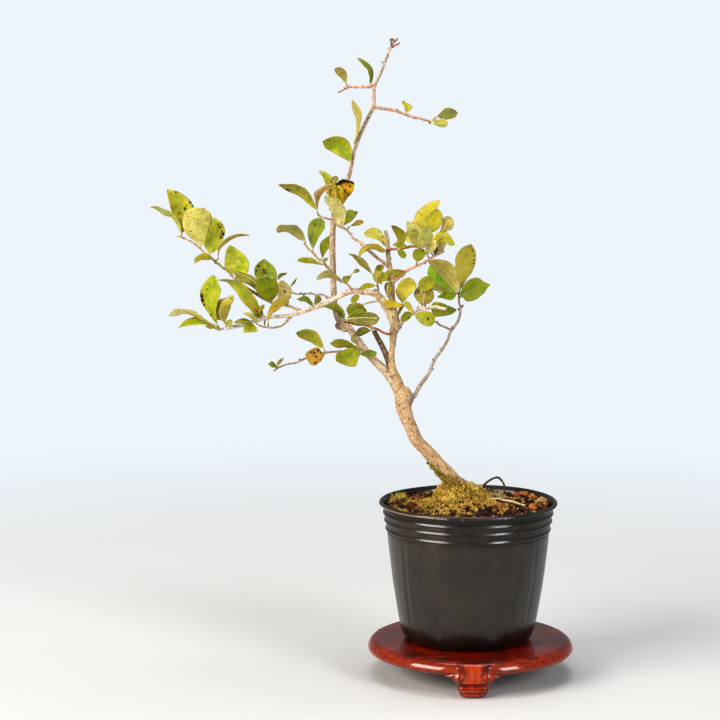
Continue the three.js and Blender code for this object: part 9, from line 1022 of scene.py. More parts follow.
    # the stalk, and the raised rib that it becomes under the leaf
    stalk = m.mix(m.noise(m.pos(), 1.6, 3), lin("#a3803c"), lin("#8c8430"))
    stalk = m.mix(m.step(u, -0.12, 0.04), stalk, m.mix(m.noise(flat, 0.8, 3), m.mix(0.5, b, lin("#d9cf90")), lin("#cfc27a")))
    c = m.mix(m.step(m.f("ABSOLUTE", side), 0.6, 0.3), c, stalk)
    h = m.f("ADD", m.f("MULTIPLY", m.f("ADD", vein, m.f("MULTIPLY", rib, 1.5)), m.step(side, -0.5, 0.5, 0.8, -0.8)), m.f("MULTIPLY", netl, -0.25))
    h = m.f("ADD", h, m.f("MULTIPLY", m.f("ADD", cloud, m.f("MULTIPLY", grain, 0.5)), 1.3))
    return m.done(c, m.step(cloud, 0.3, 0.7, 0.34, 0.56), m.bump(h, 0.6, 0.00014))


def leaf_sheet(st, up, nu, nv, seed=0, fold=0.16, wave=1.0):
    """The middle sheet of a leaf: points (nu, nv, 3), normals, mm along, mm across, share across, share along and half width."""
    st = np.asarray(st, float)
    M, H = catmull(st[:, :3], nu), catmull(st[:, 3:], nu)
    T = unit(np.gradient(M, axis=0))
    k = nu * 3 // 7
    way = 1.0 if np.dot(H[k], np.cross(T[k], up)) >= 0 else -1.0
    h = np.linalg.norm(H, axis=1)
    S = H / np.maximum(h, 1e-6)[:, None]
    S[0], S[-1] = S[1], S[-2]
    for i in range(1, nu):
        if np.dot(S[i], S[i - 1]) < 0:
            S[i] = -S[i]
    if np.dot(S[k], H[k]) < 0:
        S = -S
    n = unit(np.cross(S * way, T))
    hh = np.maximum(h, 0.1)
    v = np.linspace(-1, 1, nv)
    v = np.sign(v) * np.abs(v) ** 0.9
    u = np.linspace(0, 1, nu)
    s = np.r_[0, np.cumsum(np.linalg.norm(np.diff(M, axis=0), axis=1))]
    rs = np.random.default_rng(seed)
    p1, p2, p3 = rs.uniform(0, 6.28, 3)
    f1 = rs.uniform(1.3, 2.2)
    lift = -fold * hh[:, None] * (1 - np.abs(v)[None, :] ** 1.5)
    lift = lift + wave * hh[:, None] * 0.055 * (np.abs(v) ** 2)[None, :] * np.sin(6.28 * f1 * u[:, None] + p1 + (v[None, :] > 0) * p2)
    lift = lift + wave * 0.09 * np.sin(s[:, None] * 1.1 + p3) * (1 - np.abs(v)[None, :]) * (hh[:, None] > 1)
    P = M[:, None, :] + S[:, None, :] * (hh[:, None] * v[None, :])[:, :, None] + n[:, None, :] * lift[:, :, None]
    gu, gv = np.gradient(P, axis=0), np.gradient(P, axis=1)
    N = unit(np.cross(gv * way, gu))
    return P, N, s, hh[:, None] * v[None, :], v, u, hh, M, n


def leaf_piece(L, k, node):
    st = np.array(L["st"])
    st[:, 3:] *= WIDER.get(L["n"], 1.0)
    size = np.linalg.norm(st[-1, :3] - st[0, :3])
    nu = int(np.clip(size * 1.9, 16, 38))
    nv = 15 if np.linalg.norm(st[:, 3:], axis=1).max() > 2.5 else 11
    P, N, s, t, v, u, hh, M, n = leaf_sheet(st, np.array(L["up"]), nu, nv, seed=k)
    rs = np.random.default_rng(500 + k)
    rip = fbm(np.concatenate([P.reshape(-1, 3) / 2.6]) + k * 7.7, 31, 2).reshape(nu, nv) - 0.5
    P = P + N * (rip * 0.5 * np.clip(hh, 0, 3)[:, None] / 3)[:, :, None]
    # an uneven margin
    for sgn in (-1, 1):
        e = fbm(np.stack([u * 9 + 3.3 * sgn, np.full(nu, k * 1.7), np.zeros(nu)], 1), 37, 3) - 0.5
        w = np.clip(v * sgn, 0, 1) ** 2
        P = P + (P - M[:, None, :]) * (0.17 * e[:, None] * w[None, :])[:, :, None]
    th = 0.3 * (1 - 0.55 * np.abs(v)[None, :] ** 3) * np.clip(hh[:, None] / 1.2, 0.4, 1)
    top, bot = P + N * (th / 2)[:, :, None], P - N * (th / 2)[:, :, None]
    V = np.vstack([top.reshape(-1, 3), bot.reshape(-1, 3)])
    g = nu * nv
    F = []
    # which way round the upper face must run to look outwards
    a, b, c = top[nu // 2, nv // 2], top[nu // 2 + 1, nv // 2], top[nu // 2, nv // 2 + 1]
    flip = np.dot(np.cross(b - a, c - a), N[nu // 2, nv // 2]) < 0
    for i in range(nu - 1):
        for j in range(nv - 1):
            q = (i * nv + j, (i + 1) * nv + j, (i + 1) * nv + j + 1, i * nv + j + 1)
            F.append(q[::-1] if flip else q)
            F.append(tuple(x + g for x in (q if flip else q[::-1])))
        for j, w in ((0, flip), (nv - 1, not flip)):
            q = (i * nv + j, (i + 1) * nv + j, (i + 1) * nv + j + g, i * nv + j + g)
            F.append(q if w else q[::-1])
    for i, w in ((0, not flip), (nu - 1, flip)):
        for j in range(nv - 1):
            q = (i * nv + j, i * nv + j + 1, i * nv + j + 1 + g, i * nv + j + g)
            F.append(q if w else q[::-1])
    mm = np.stack([t, s[:, None] * np.ones((1, nv)), np.ones((nu, nv))], -1).reshape(-1, 3)
    share = np.stack([np.ones((nu, 1)) * v[None, :], u[:, None] * np.ones((1, nv)), hh[:, None] * np.ones((1, nv))], -1).reshape(-1, 3)
    mm = np.vstack([mm, mm * [1, 1, -1]])
    share = np.vstack([share, share])
    # stalk, which runs on as the raised rib under the leaf
    A = np.array(L["a"])
    base, nxt = P[0, nv // 2], P[2, nv // 2]
    d = unit(nxt - base)
    gap = np.linalg.norm(base - A)
    rows, place = [], []
    if gap > 0.3:
        mid = (A + base) / 2 - d * min(0.5, gap * 0.12)
        for x in np.linspace(0, 1, 6)[:-1]:
            q = A * (1 - x) ** 2 + 2 * mid * x * (1 - x) + base * x * x
            rows.append([*q, 0.46 - 0.12 * x])
            place.append(-0.3 * (1 - x) - 0.05)
    else:
        rows.append([*(base - d * 0.5), 0.4])
        place.append(-0.1)
    m = int(nu * 0.86)
    for i in range(0, m, 2):
        x = i / m
        rows.append([*(bot[i, nv // 2] + N[i, nv // 2] * (0.02 + 0.02 * x)), 0.27 * (1 - x) ** 0.8 + 0.06])
        place.append(u[i])
    V2, F2, st2, sh2, *_ = stem(rows, 0.55, 7)
    mm2 = np.stack([st2[:, 0] * 0, st2[:, 2], np.zeros(len(V2))], 1)
    at = np.r_[0, np.cumsum(np.linalg.norm(np.diff(np.array(rows)[:, :3], axis=0), axis=1))]
    share2 = np.stack([np.zeros(len(V2)), np.interp(sh2, at / at[-1], place), np.full(len(V2), 0.3)], 1)
    V, F, mm, share = gather([(V, F, mm, share), (V2, F2, mm2, share2)])
    mat = leaf_material("leaf_" + L["n"], LEAF_COLOURS[LEAF_TURN_AND_PAINTED_LIGHT.get(L["n"], L["col"])], L["f"], 900 + k, SPOTS.get(L["n"], ()), float(s[-1]))
    return make("leaf." + L["n"], V, F, [mat], {"leafmm": mm, "leafshare": share}, node=(node,))


def fuse(V, F, voxel, rounds=8):
    """One closed surface over overlapping solids, smoothed. Points in table millimetres."""
    rough = make("rough_shape", V, F, [], node=None)
    mod = rough.modifiers.new("remesh", "REMESH")
    mod.mode = "VOXEL"
    mod.voxel_size = voxel / 1000
    bpy.context.view_layer.update()
    me = bpy.data.meshes.new_from_object(rough.evaluated_get(bpy.context.evaluated_depsgraph_get()))
    old = rough.data
    bpy.data.objects.remove(rough)
    bpy.data.meshes.remove(old)
    n = len(me.vertices)
    P = np.zeros(n * 3)
    me.vertices.foreach_get("co", P)
    P = P.reshape(-1, 3) * 1000
    P[:, 0] -= OFF
    E = np.zeros(len(me.edges) * 2, np.int64)
    me.edges.foreach_get("vertices", E)
    E = E.reshape(-1, 2)
    deg = np.maximum(np.bincount(E.ravel(), minlength=n), 1)[:, None]
    for k in range(rounds):
        acc = np.zeros_like(P)
        for c in range(3):
            acc[:, c] = np.bincount(E[:, 0], P[E[:, 1], c], n) + np.bincount(E[:, 1], P[E[:, 0], c], n)
        P = P + (0.55 if k % 2 == 0 else -0.565) * (acc / deg - P)
    F = [tuple(p.vertices) for p in me.polygons]
    bpy.data.meshes.remove(me)
    return P, F


def normals(V, F):
    N = np.zeros_like(V)
    A = np.array([(f[0], f[1], f[2]) for f in F])
    B = np.array([(f[0], f[2], f[3]) for f in F if len(f) == 4])
    for T in ([A, B] if len(B) else [A]):
        c = np.cross(V[T[:, 1]] - V[T[:, 0]], V[T[:, 2]] - V[T[:, 0]])
        for k in range(3):
            for j in range(3):
                N[:, j] += np.bincount(T[:, k], c[:, j], len(V))
    return unit(N)


def turned(profile, sides, cx=0.0, wobble=None):
    """A solid of revolution about the table's Z through (cx, 0). The profile runs from the axis round to the axis."""
    prof = np.array(profile, float)
    th = np.linspace(0, 2 * np.pi, sides, endpoint=False)
    rows = []
    inner = [i for i in range(len(prof)) if prof[i, 0] > 1e-6]
    for i in inner:
        r, z = prof[i]
        rr = r * np.ones(sides)
        zz = z * np.ones(sides)
        if wobble is not None:
            rr, zz = wobble(rr, zz, th, i)
        rows.append(np.stack([cx + rr * np.cos(th), rr * np.sin(th), zz], 1))
    V = np.vstack(rows)
    F = []
    m = len(inner)
    for i in range(m - 1):
        for j in range(sides):
            k = (j + 1) % sides
            F.append((i * sides + j, i * sides + k, (i + 1) * sides + k, (i + 1) * sides + j))
    a, b = len(V), len(V) + 1
    V = np.vstack([V, [cx, 0, prof[0, 1]], [cx, 0, prof[-1, 1]]])
    for j in range(sides):
        k = (j + 1) % sides
        F.append((a, k, j))
        F.append((b, (m - 1) * sides + j, (m - 1) * sides + k))
    return V, F


def arc(cx, cz, r, a0, a1, n):
    a = np.radians(np.linspace(a0, a1, n))
    return [(cx + r * math.cos(x), cz + r * math.sin(x)) for x in a]


# ---- stand ----
def lacquer(name, grain_way):
    m = Mat(name, rough=0.45, spec=0.1, coat=0.7, coat_rough=0.08 if grain_way == "board" else 0.13)
    w = m.pos()
    x, y, z = m.xyz(w)
    if grain_way == "board":
        g = m.join(m.f("MULTIPLY", x, 0.12), m.f("MULTIPLY", y, 1.0), m.f("MULTIPLY", z, 1.0))
    else:
        g = m.join(m.f("MULTIPLY", x, 1.0), m.f("MULTIPLY", y, 1.0), m.f("MULTIPLY", z, 0.16))
    grain = m.noise(g, 0.55, 5, 0.62, 0.6)
    fibre = m.noise(m.scale(g, (1, 4, 4)), 1.1, 4, 0.6)
    cloud = m.noise(w, 0.05, 3, 0.5)
    c = m.ramp(grain, [(0.3, lin("#220301")), (0.45, lin("#420901")), (0.56, lin("#6a1602")), (0.72, lin("#9c2f05"))])
    c = m.mix(m.step(fibre, 0.55, 0.75, 0, 0.55), c, lin("#2a0502"))
    c = m.mix(m.step(cloud, 0.4, 0.65, 0, 0.3), c, lin("#a82c04"))
    # stain sits thin on the edges and rolls, where the wood shows through orange
    if grain_way == "board":
        r = m.away(m.join(x, y, 0.0), ((OFF + 2.0), 0.0, 0.0))
        c = m.mix(m.step(r, 52.0, 54.4, 0, 0.9), c, m.mix(m.step(fibre, 0.4, 0.6), m.mix(m.step(grain, 0.38, 0.6), lin("#5c1002"), lin("#963604")), lin("#802403")))
        # below the fullest point of the edge, and on the underside, the board is darkened: painted shade under the
        # board
        c = m.mix(m.step(z, 14.2, 12.2, 0, 0.75), c, lin("#4a0f05"))
    else:
        # on the foot, ridge values above zero give a lighter orange (rubbed lacquer and painted highlight) and values
        # below zero a dark red (painted shade)
        c = m.mix(m.step(m.attr("ridge", "Fac"), 0.25, 0.9, 0, 0.85), c, m.mix(m.step(grain, 0.38, 0.62), lin("#9c2c04"), lin("#c44a0a")))
        # the last millimetre of the foot's bottom is darkened: painted shade where it meets the floor
        c = m.mix(m.step(z, 1.0, 0.1, 0, 0.6), c, lin("#2a0401"))
        c = m.mix(m.step(m.attr("ridge", "Fac"), -0.15, -1.0, 0, 0.75), c, lin("#380601"))
    dust = m.noise(w, 0.7, 4, 0.7)
    c = m.mix(m.step(dust, 0.66, 0.76, 0, 0.12), c, lin("#7c4430"))
    return m.done(c, m.step(dust, 0.4, 0.75, 0.28, 0.5), m.bump(m.f("ADD", m.f("MULTIPLY", grain, 0.7), m.f("MULTIPLY", fibre, 0.4)), 0.25, 0.0001))


def stand():
    z0, z1, R = 11.9, 19.0, 55.2
    prof = [(0, z0), (20, z0), (38, z0), (48, z0), (51.0, z0 + 0.1), (51.9, z0 + 0.35)]
    # a rolled edge that is fullest low down and slopes in towards the top
    prof += [(52.9, 12.08), (53.6, 12.3), (54.2, 12.65), (54.7, 13.1), (55.05, 13.65), (55.18, 14.1), (55.2, 14.5), (55.1, 14.95), (54.94, 15.4), (54.76, 15.85)]
    prof += [(54.56, 16.3), (54.3, 16.75), (53.98, 17.2), (53.6, 17.65), (53.1, 18.08), (52.5, 18.45), (51.85, 18.74), (51.2, 18.92), (50.4, z1), (44, z1), (34, z1), (18, z1), (0, z1)]
    V, F = turned(prof, 224, 2.0)
    make("stand_round_top", V, F, [lacquer("lacquer_board", "board")], node=("stand_top",))
    rows = np.array([  # z, half width, inner reach, outer reach
        (0.0, 5.2, -4.0, 4.6), (0.35, 6.0, -4.7, 5.6), (1.0, 6.7, -5.2, 6.35), (1.8, 7.15, -5.5, 6.65), (2.5, 7.45, -5.6, 6.6),
        (3.0, 7.6, -5.5, 6.35), (3.4, 7.75, -5.5, 6.5), (3.8, 7.9, -5.2, 6.9), (4.1, 7.85, -5.0, 6.8), (4.45, 7.75, -4.7, 6.2), (5.3, 7.95, -4.6, 5.5),
        (6.2, 8.3, -4.6, 5.2), (6.9, 8.7, -4.6, 5.5), (7.5, 9.1, -4.7, 6.4), (8.2, 9.6, -4.8, 7.0), (9.0, 10.5, -4.9, 7.35), (9.8, 11.7, -5.2, 7.6),
        (10.6, 13.4, -5.5, 7.85), (11.3, 15.6, -5.9, 7.95), (11.8, 17.4, -6.0, 7.98), (12.3, 15.6, -4.0, 8.03), (13.0, 13.4, -2.0, 8.15), (13.8, 12.4, 0.0, 8.3),
        (14.8, 12.0, 1.0, 8.33), (15.8, 11.7, 2.0, 8.15), (16.5, 11.3, 3.0, 7.85), (17.1, 10.8, 4.0, 7.45), (17.6, 10.2, 5.0, 6.95), (18.0, 9.4, 5.5, 6.4)])
    zs = np.r_[np.linspace(0, 18.0, 79)]
    front, back = 133, 40
    C = np.stack([np.interp(zs, rows[:, 0], rows[:, k]) for k in range(4)], 1)
    C[:, 0] = zs
    q, n = len(zs), front + back
    for node, ang in (("stand_foot_front", -91), ("stand_foot_back_left", 150), ("stand_foot_back_right", 30)):
        V, ridge = [], []
        for z, w, a, b in C:
            k = float(np.interp(z, [0, 10.5, 13.0], [0.5, 0.5, 0.62]))
            mid, half = (a + b) / 2, (b - a) / 2
            up = float(np.interp(z, [6.8, 8.6, 12, 16.6, 17.9], [0, 0.6, 1, 1, 0]))
            # on each side a roof-shaped ridge, broad at the top and running out at the ankle
            xm = 7.6
            wide = float(np.interp(z, [6.8, 8, 9.5, 11, 13, 15.5, 17, 17.9], [0.5, 0.8, 1.7, 2.6, 3.2, 3.2, 2.6, 2.0]))
            # its top runs down and outwards in one straight slope, then back in under the board
            top = float(np.interp(z, [6.8, 8, 9.5, 10.6, 11.4, 16.4, 17.5], [b - 0.1, b + 0.35, b + 1.1, 9.45, 9.65, 8.1, 6.7]))
            high = max(0.0, top - b)
            for i in range(n):
                wear_and_painted_light = 0.0
                if i < front:
                    g = -1 + 2 * i / (front - 1)
                    s = abs(g) ** (1 / k)
                    c = math.sqrt(max(0.0, 1 - s * s))
                    x, y = g * w, mid + c ** k * half
                    f = min(1, c * 3)
                    ax = abs(x)
                    u = abs(ax - xm) / wide
                    roof = max(0.0, min(high - 0.4 * (math.sqrt(ax * ax - 2 * ax * xm + xm * xm + 0.03) - 0.17), 1.1 * (wide - abs(ax - xm))))
                    crest = math.exp(-(((ax - xm) / 0.3) ** 2))
                    pan = math.exp(-((ax / max(1.0, xm - wide)) ** 8))
                    out = min(1, max(0, (ax - xm - wide) / 1.2))
                    y += f * (roof - 0.12 * crest * up)
                    # the ridge value colours the foot: the raised lobes and outer shoulders lighter, partly rubbed
                    # lacquer and partly painted highlight; the crest line between the lobes dark, painted shade; a
                    # lighter centre panel; and across the toe, bands of painted highlight and painted shade
                    wear_and_painted_light = f * up * (0.75 * min(1, 2.5 * roof) - 1.3 * crest) + f * pan * float(np.interp(z, [6.6, 8.2], [0, 0.75]))
                    wear_and_painted_light += f * (0.8 * math.exp(-(((z - 3.95) / 0.4) ** 2)) - 0.55 * math.exp(-(((z - 6.6) / 0.5) ** 2)) - 0.2 * math.exp(-(((z - 3.05) / 0.3) ** 2))
                               + 0.6 * math.exp(-(((z - 1.7) / 0.8) ** 2)) + 0.55 * math.exp(-(((z - 5.2) / 0.7) ** 2)))
                    wear_and_painted_light += 0.5 * f * up * out
                else:
                    t = math.pi * (i - front + 1) / (back + 1)
                    c, s = -math.sin(t), math.cos(t)
                    x = math.copysign(abs(s) ** k, s) * w
                    y = mid - abs(c) ** k * half
                V.append((x, y, z))
                ridge.append(wear_and_painted_light)
        V = np.array(V)
        a = math.radians(ang)
        rad, tan = 47.0 + V[:, 1], V[:, 0]
        # the shoulders follow the round of the board
        bend = np.clip((V[:, 2] - 6) / 5, 0, 1)
        rad = rad - bend * (V[:, 0] ** 2) / (2 * 55.0)
        P = np.stack([2.0 + rad * math.cos(a) - tan * math.sin(a), rad * math.sin(a) + tan * math.cos(a), V[:, 2]], 1)
        F = []
        for i in range(q - 1):
            for j in range(n):
                k = (j + 1) % n
                F.append((i * n + j, (i + 1) * n + j, (i + 1) * n + k, i * n + k))
        e = len(P)
        P = np.vstack([P, P[:n].mean(0), P[-n:].mean(0)])
        ridge += [0.0, 0.0]
        for j in range(n):
            k = (j + 1) % n
            F.append((e, j, k))
            F.append((e + 1, (q - 1) * n + k, (q - 1) * n + j))
        make(node.replace("stand_foot", "carved_foot"), P, F, [lacquer("lacquer_" + node[6:], "foot")], {"ridge": ridge}, node=(node,))


# ---- pot ----
def pot():
    B = 19.1
    outer = [(30.6, B), (31.6, B + 0.02), (32.6, B + 0.25), (33.5, B + 0.9), (34.1, B + 1.8), (34.75, B + 3.2), (35.2, B + 4.0), (35.45, B + 4.35), (35.6, B + 4.9)]
    zs = np.linspace(25, 76.8, 27)
    outer += [(float(np.interp(z, [24, 27.3, 33.9, 42.1, 50.4, 58.6, 65.7, 72.3, 77.2], [35.65, 36.5, 37.7, 38.95, 40.25, 41.25, 42.1, 42.85, 43.3])), z) for z in zs]
    for z, r in ((78.4, 43.25), (82.9, 43.95), (87.0, 44.6)):  # three bands that step out under the rim
        outer += [(r - 0.02, z - 0.6), (r - 0.16, z - 0.2), (r + 0.2, z + 0.1), (r + 0.78, z + 0.35), (r + 1.0, z + 0.6), (r + 0.98, z + 0.84), (r + 0.9, z + 1.08), (r + 0.78, z + 1.34), (r + 0.56, z + 1.8), (r + 0.62, z + 2.9)]
    outer += [(45.1, 91.2), (45.15, 91.9), (45.8, 92.1), (46.6, 92.0), (47.2, 92.1), (47.5, 92.35), (47.6, 92.65), (47.55, 93.0), (47.35, 93.4), (47.05, 93.75), (46.7, 93.95), (46.35, 94.0), (46.1, 93.9)]
    inner = [(45.95, 93.6), (45.6, 93.0), (45.1, 92.2), (44.7, 91.4), (44.45, 90.4), (44.1, 88.8), (43.65, 86.5), (42.8, 81.5), (42.2, 77.6), (41.2, 66), (40.2, 58), (39.4, 50.0), (38.0, 41.5), (36.6, 33.6), (34.9, 27), (33.9, B + 4.2), (32.9, B + 2.8), (31.6, B + 2.2), (22, B + 2.2), (12, B + 2.2), (0, B + 2.2)]
    base = [(0, B + 0.9), (12, B + 0.9), (24, B + 0.9), (29.4, B + 0.85), (30.0, B + 0.4), (30.2, B + 0.05)]
    prof = base + outer + inner
    nb = len(base)
    no = nb + len(outer)
    creases = [(-0.98, 0.16, 0.02), (-0.82, 0.26, 0.03), (-0.46, 0.24, 0.028), (-0.08, 0.16, 0.02), (0.3, 0.2, 0.026), (0.57, 0.28, 0.045), (0.81, 0.2, 0.03)]
    rs = np.random.default_rng(4)
    more = [(a, rs.uniform(0.1, 0.24), rs.uniform(0.02, 0.05)) for a in rs.uniform(0, 3.14, 9)]

    def wobble(rr, zz, th, i):
        z = zz[0]
        if nb + 4 < i < no - 12 or i > no + 4:
            low = np.clip((z - 22) / 10, 0, 1)
            high = np.clip((82 - z) / 14, 0.12, 1)
            d = 0.10 * np.sin(3 * th + 0.7 + z * 0.02) + 0.07 * np.sin(7 * th + z * 0.05) + 0.05 * np.sin(11 * th - z * 0.04)
            for s, depth, w in creases:
                a = -math.acos(s) + 0.012 * math.sin(z * 0.13 + s * 9)
                dd = np.abs((th - a + math.pi) % (2 * math.pi) - math.pi)
                d = d - depth * np.exp(-((dd / w) ** 2)) + 0.5 * depth * np.exp(-(((dd - 2.2 * w) / w) ** 2))
            for a, depth, w in more:
                a = a + 0.02 * math.sin(z * 0.11 + a * 5)
                dd = np.abs((th - a + math.pi) % (2 * math.pi) - math.pi)
                d = d - depth * np.exp(-((dd / w) ** 2))
            rr = rr + d * low * high
        if no - 10 <= i <= no + 3:
            rr = rr + 0.09 * np.sin(2 * th + 1.0) + 0.05 * np.sin(5 * th)
            zz = zz + 0.10 * np.sin(2 * th + 0.4) + 0.05 * np.sin(7 * th + 2)
        return rr, zz

    V, F = turned(prof, 240, 0.4, wobble)
    o = make("nursery_pot_shell", V, F, [], node=None)
    bm = bmesh.new()
    for k in range(7):
        r, x, y = (4.4, 0, 0) if k == 0 else (3.2, 17 * math.cos((k - 1) * math.pi / 3), 17 * math.sin((k - 1) * math.pi / 3))
        q = metres(np.array([0.4 + x, y, B + 1.5]))
        bmesh.ops.create_cone(bm, cap_ends=True, segments=36, radius1=r / 1000, radius2=r / 1000, depth=0.008, matrix=Matrix.Translation(q.tolist()))
    me = bpy.data.meshes.new("holes")
    bm.to_mesh(me)
    bm.free()
    h = bpy.data.objects.new("holes", me)
    bpy.context.scene.collection.objects.link(h)
    mod = o.modifiers.new("holes", "BOOLEAN")
    mod.operation, mod.solver, mod.object = "DIFFERENCE", "EXACT", h
    bpy.context.view_layer.update()
    done = bpy.data.meshes.new_from_object(o.evaluated_get(bpy.context.evaluated_depsgraph_get()))
    o.modifiers.clear()
    o.data = done
    bpy.data.objects.remove(h)
    bpy.data.meshes.remove(me)
    m = Mat("pot_plastic", rough=0.28, spec=0.5)
    w = m.pos()
    x, y, z = m.xyz(w)
    down = m.noise(m.scale(w, (1, 1, 0.05)), 0.36, 4, 0.62)
    cloud = m.noise(w, 0.06, 4, 0.6)
    dust = m.noise(w, 1.6, 5, 0.75)
    fine = m.noise(w, 5.0, 2, 0.6)
    c = m.mix(m.step(cloud, 0.35, 0.65), lin("#201b17"), lin("#2c251e"))
    c = m.mix(m.step(down, 0.5, 0.75, 0, 0.3), c, lin("#383026"))
    c = m.mix(m.step(down, 0.45, 0.3, 0, 0.4), c, lin("#1a1714"))
    c = m.mix(m.step(dust, 0.6, 0.76, 0, 0.22), c, lin("#554a3f"))
    # a little soil dust under the rim and in the grooves, more of it on one side
    for zc, wd, amt in ((91.9, 0.2, 0.0), (77.9, 0.3, 0.12), (82.4, 0.3, 0.12), (86.5, 0.3, 0.15)):
        near = m.f("ABSOLUTE", m.f("SUBTRACT", z, zc))
        part = m.noise(m.scale(w, (1, 1, 0.3)), 0.09, 4, 0.65)
        k = m.f("MULTIPLY", m.step(near, wd * 2, wd * 0.5, 0, amt), m.step(part, 0.48, 0.64))
        c = m.mix(k, c, lin("#8a7350"))
    # the lowest part of the wall is darkened towards the base: painted shade low on the pot
    c = m.mix(m.step(z, 32, 22, 0, 0.75), c, lin("#060505"))
    near = m.f("ABSOLUTE", m.f("SUBTRACT", z, 92.45))
    part = m.f("ADD", m.noise(m.scale(w, (1, 1, 0.4)), 0.16, 4, 0.65), m.step(x, OFF + 12, OFF - 30, -0.1, 0.12))
    c = m.mix(m.f("MULTIPLY", m.step(near, 0.75, 0.3, 0, 0.8), m.step(part, 0.46, 0.58)), c, lin("#9a7c52"))
    spk = m.voronoi(w, 0.33)
    c = m.mix(m.f("MULTIPLY", m.step(spk, 0.12, 0.06), m.step(m.noise(w, 0.11, 2), 0.58, 0.68, 0, 0.3)), c, lin("#8c7a5e"))
    # inside the rim the wall is darkened: painted shade, broken by patches of dust
    r = m.away(m.join(x, y, 0.0), (OFF + 0.4, 0.0, 0.0))
    inner_painted_shade = m.f("MULTIPLY", m.step(r, 46.2, 45.6), m.step(z, 88.0, 89.0))
    c = m.mix(inner_painted_shade, c, m.mix(m.step(dust, 0.5, 0.66, 0, 0.5), lin("#14110f"), lin("#4e4236")))
    h = m.f("ADD", m.f("MULTIPLY", down, 1.6), m.f("MULTIPLY", fine, 0.25))
    mat = m.done(c, m.f("ADD", m.step(cloud, 0.3, 0.7, 0.17, 0.27), m.step(dust, 0.5, 0.78, 0, 0.25)), m.bump(h, 0.22, 0.0002))
    o.data.materials.clear()
    o.data.materials.append(mat)
    o.data.polygons.foreach_set("use_smooth", np.ones(len(o.data.polygons), bool))
    o.data.update()
    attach(o, "root")
    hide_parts("nursery_pot")


# ---- soil ----
def soil_z(x, y):
    return 90.8 + 1.9 * np.exp(-((x + 3) ** 2 + (y - 9) ** 2) / 420) + 0.55 * np.sin(x * 0.42 + 1.3) * np.sin(y * 0.37 + 0.4)


def blob(rs, r, detail, squash=0.8):
    """A small irregular grain: points and triangles."""
    bm = bmesh.new()
    bmesh.ops.create_icosphere(bm, subdivisions=detail, radius=1.0)
    V = np.array([v.co[:] for v in bm.verts])
    F = [tuple(v.index for v in f.verts) for f in bm.faces]
    bm.free()
    k = fbm(V * 1.15 + rs.uniform(-40, 40, 3), 61, 2) - 0.5
    V = V * (1 + 1.25 * k)[:, None]
    if detail > 1:
        V = V * (1 + 0.7 * (fbm(V * 3.1 + rs.uniform(-40, 40, 3), 63, 2) - 0.5))[:, None]
    V = V * (np.array([1.0, rs.uniform(0.72, 1.0), squash]) * r)
    a = rs.uniform(0, 6.28)
    b = rs.normal(0, 0.5)
    R1 = np.array([[math.cos(a), -math.sin(a), 0], [math.sin(a), math.cos(a), 0], [0, 0, 1]])
    R2 = np.array([[1, 0, 0], [0, math.cos(b), -math.sin(b)], [0, math.sin(b), math.cos(b)]])
    return V @ (R1 @ R2).T, F


MOUND = (-5.5, 10.5, 14.5, 12.0)
CUSHIONS = {"moss_cushion_front": (-21.5, -3, 6.2, 6.5, 2.4), "moss_cushion_left": (-36, 13, 3.8, 5.5, 3.4), "moss_cushion_right": (16.5, 20, 6, 6.5, 1.9)}


def soil_material():
    m = Mat("soil_grain", rough=0.9, spec=0.25)
    w = m.pos()
    t = m.attr("tint", "Color")
    a = m.noise(w, 1.9, 5, 0.7)
    b = m.noise(w, 0.5, 3, 0.6)
    c = m.mix(m.step(a, 0.35, 0.68), m.mix(1.0, t, lin("#8a7a70"), "MULTIPLY"), t)
    c = m.mix(m.step(a, 0.6, 0.75, 0, 0.35), c, m.mix(0.5, t, lin("#c9a888")))
    c = m.mix(m.step(b, 0.55, 0.75, 0, 0.4), c, m.mix(1.0, t, lin("#6a5850"), "MULTIPLY"))
    h = m.f("ADD", a, m.f("MULTIPLY", m.noise(w, 6.0, 2), 0.4))
    return m.done(c, m.step(a, 0.3, 0.7, 0.95, 0.7), m.bump(h, 0.8, 0.0003))


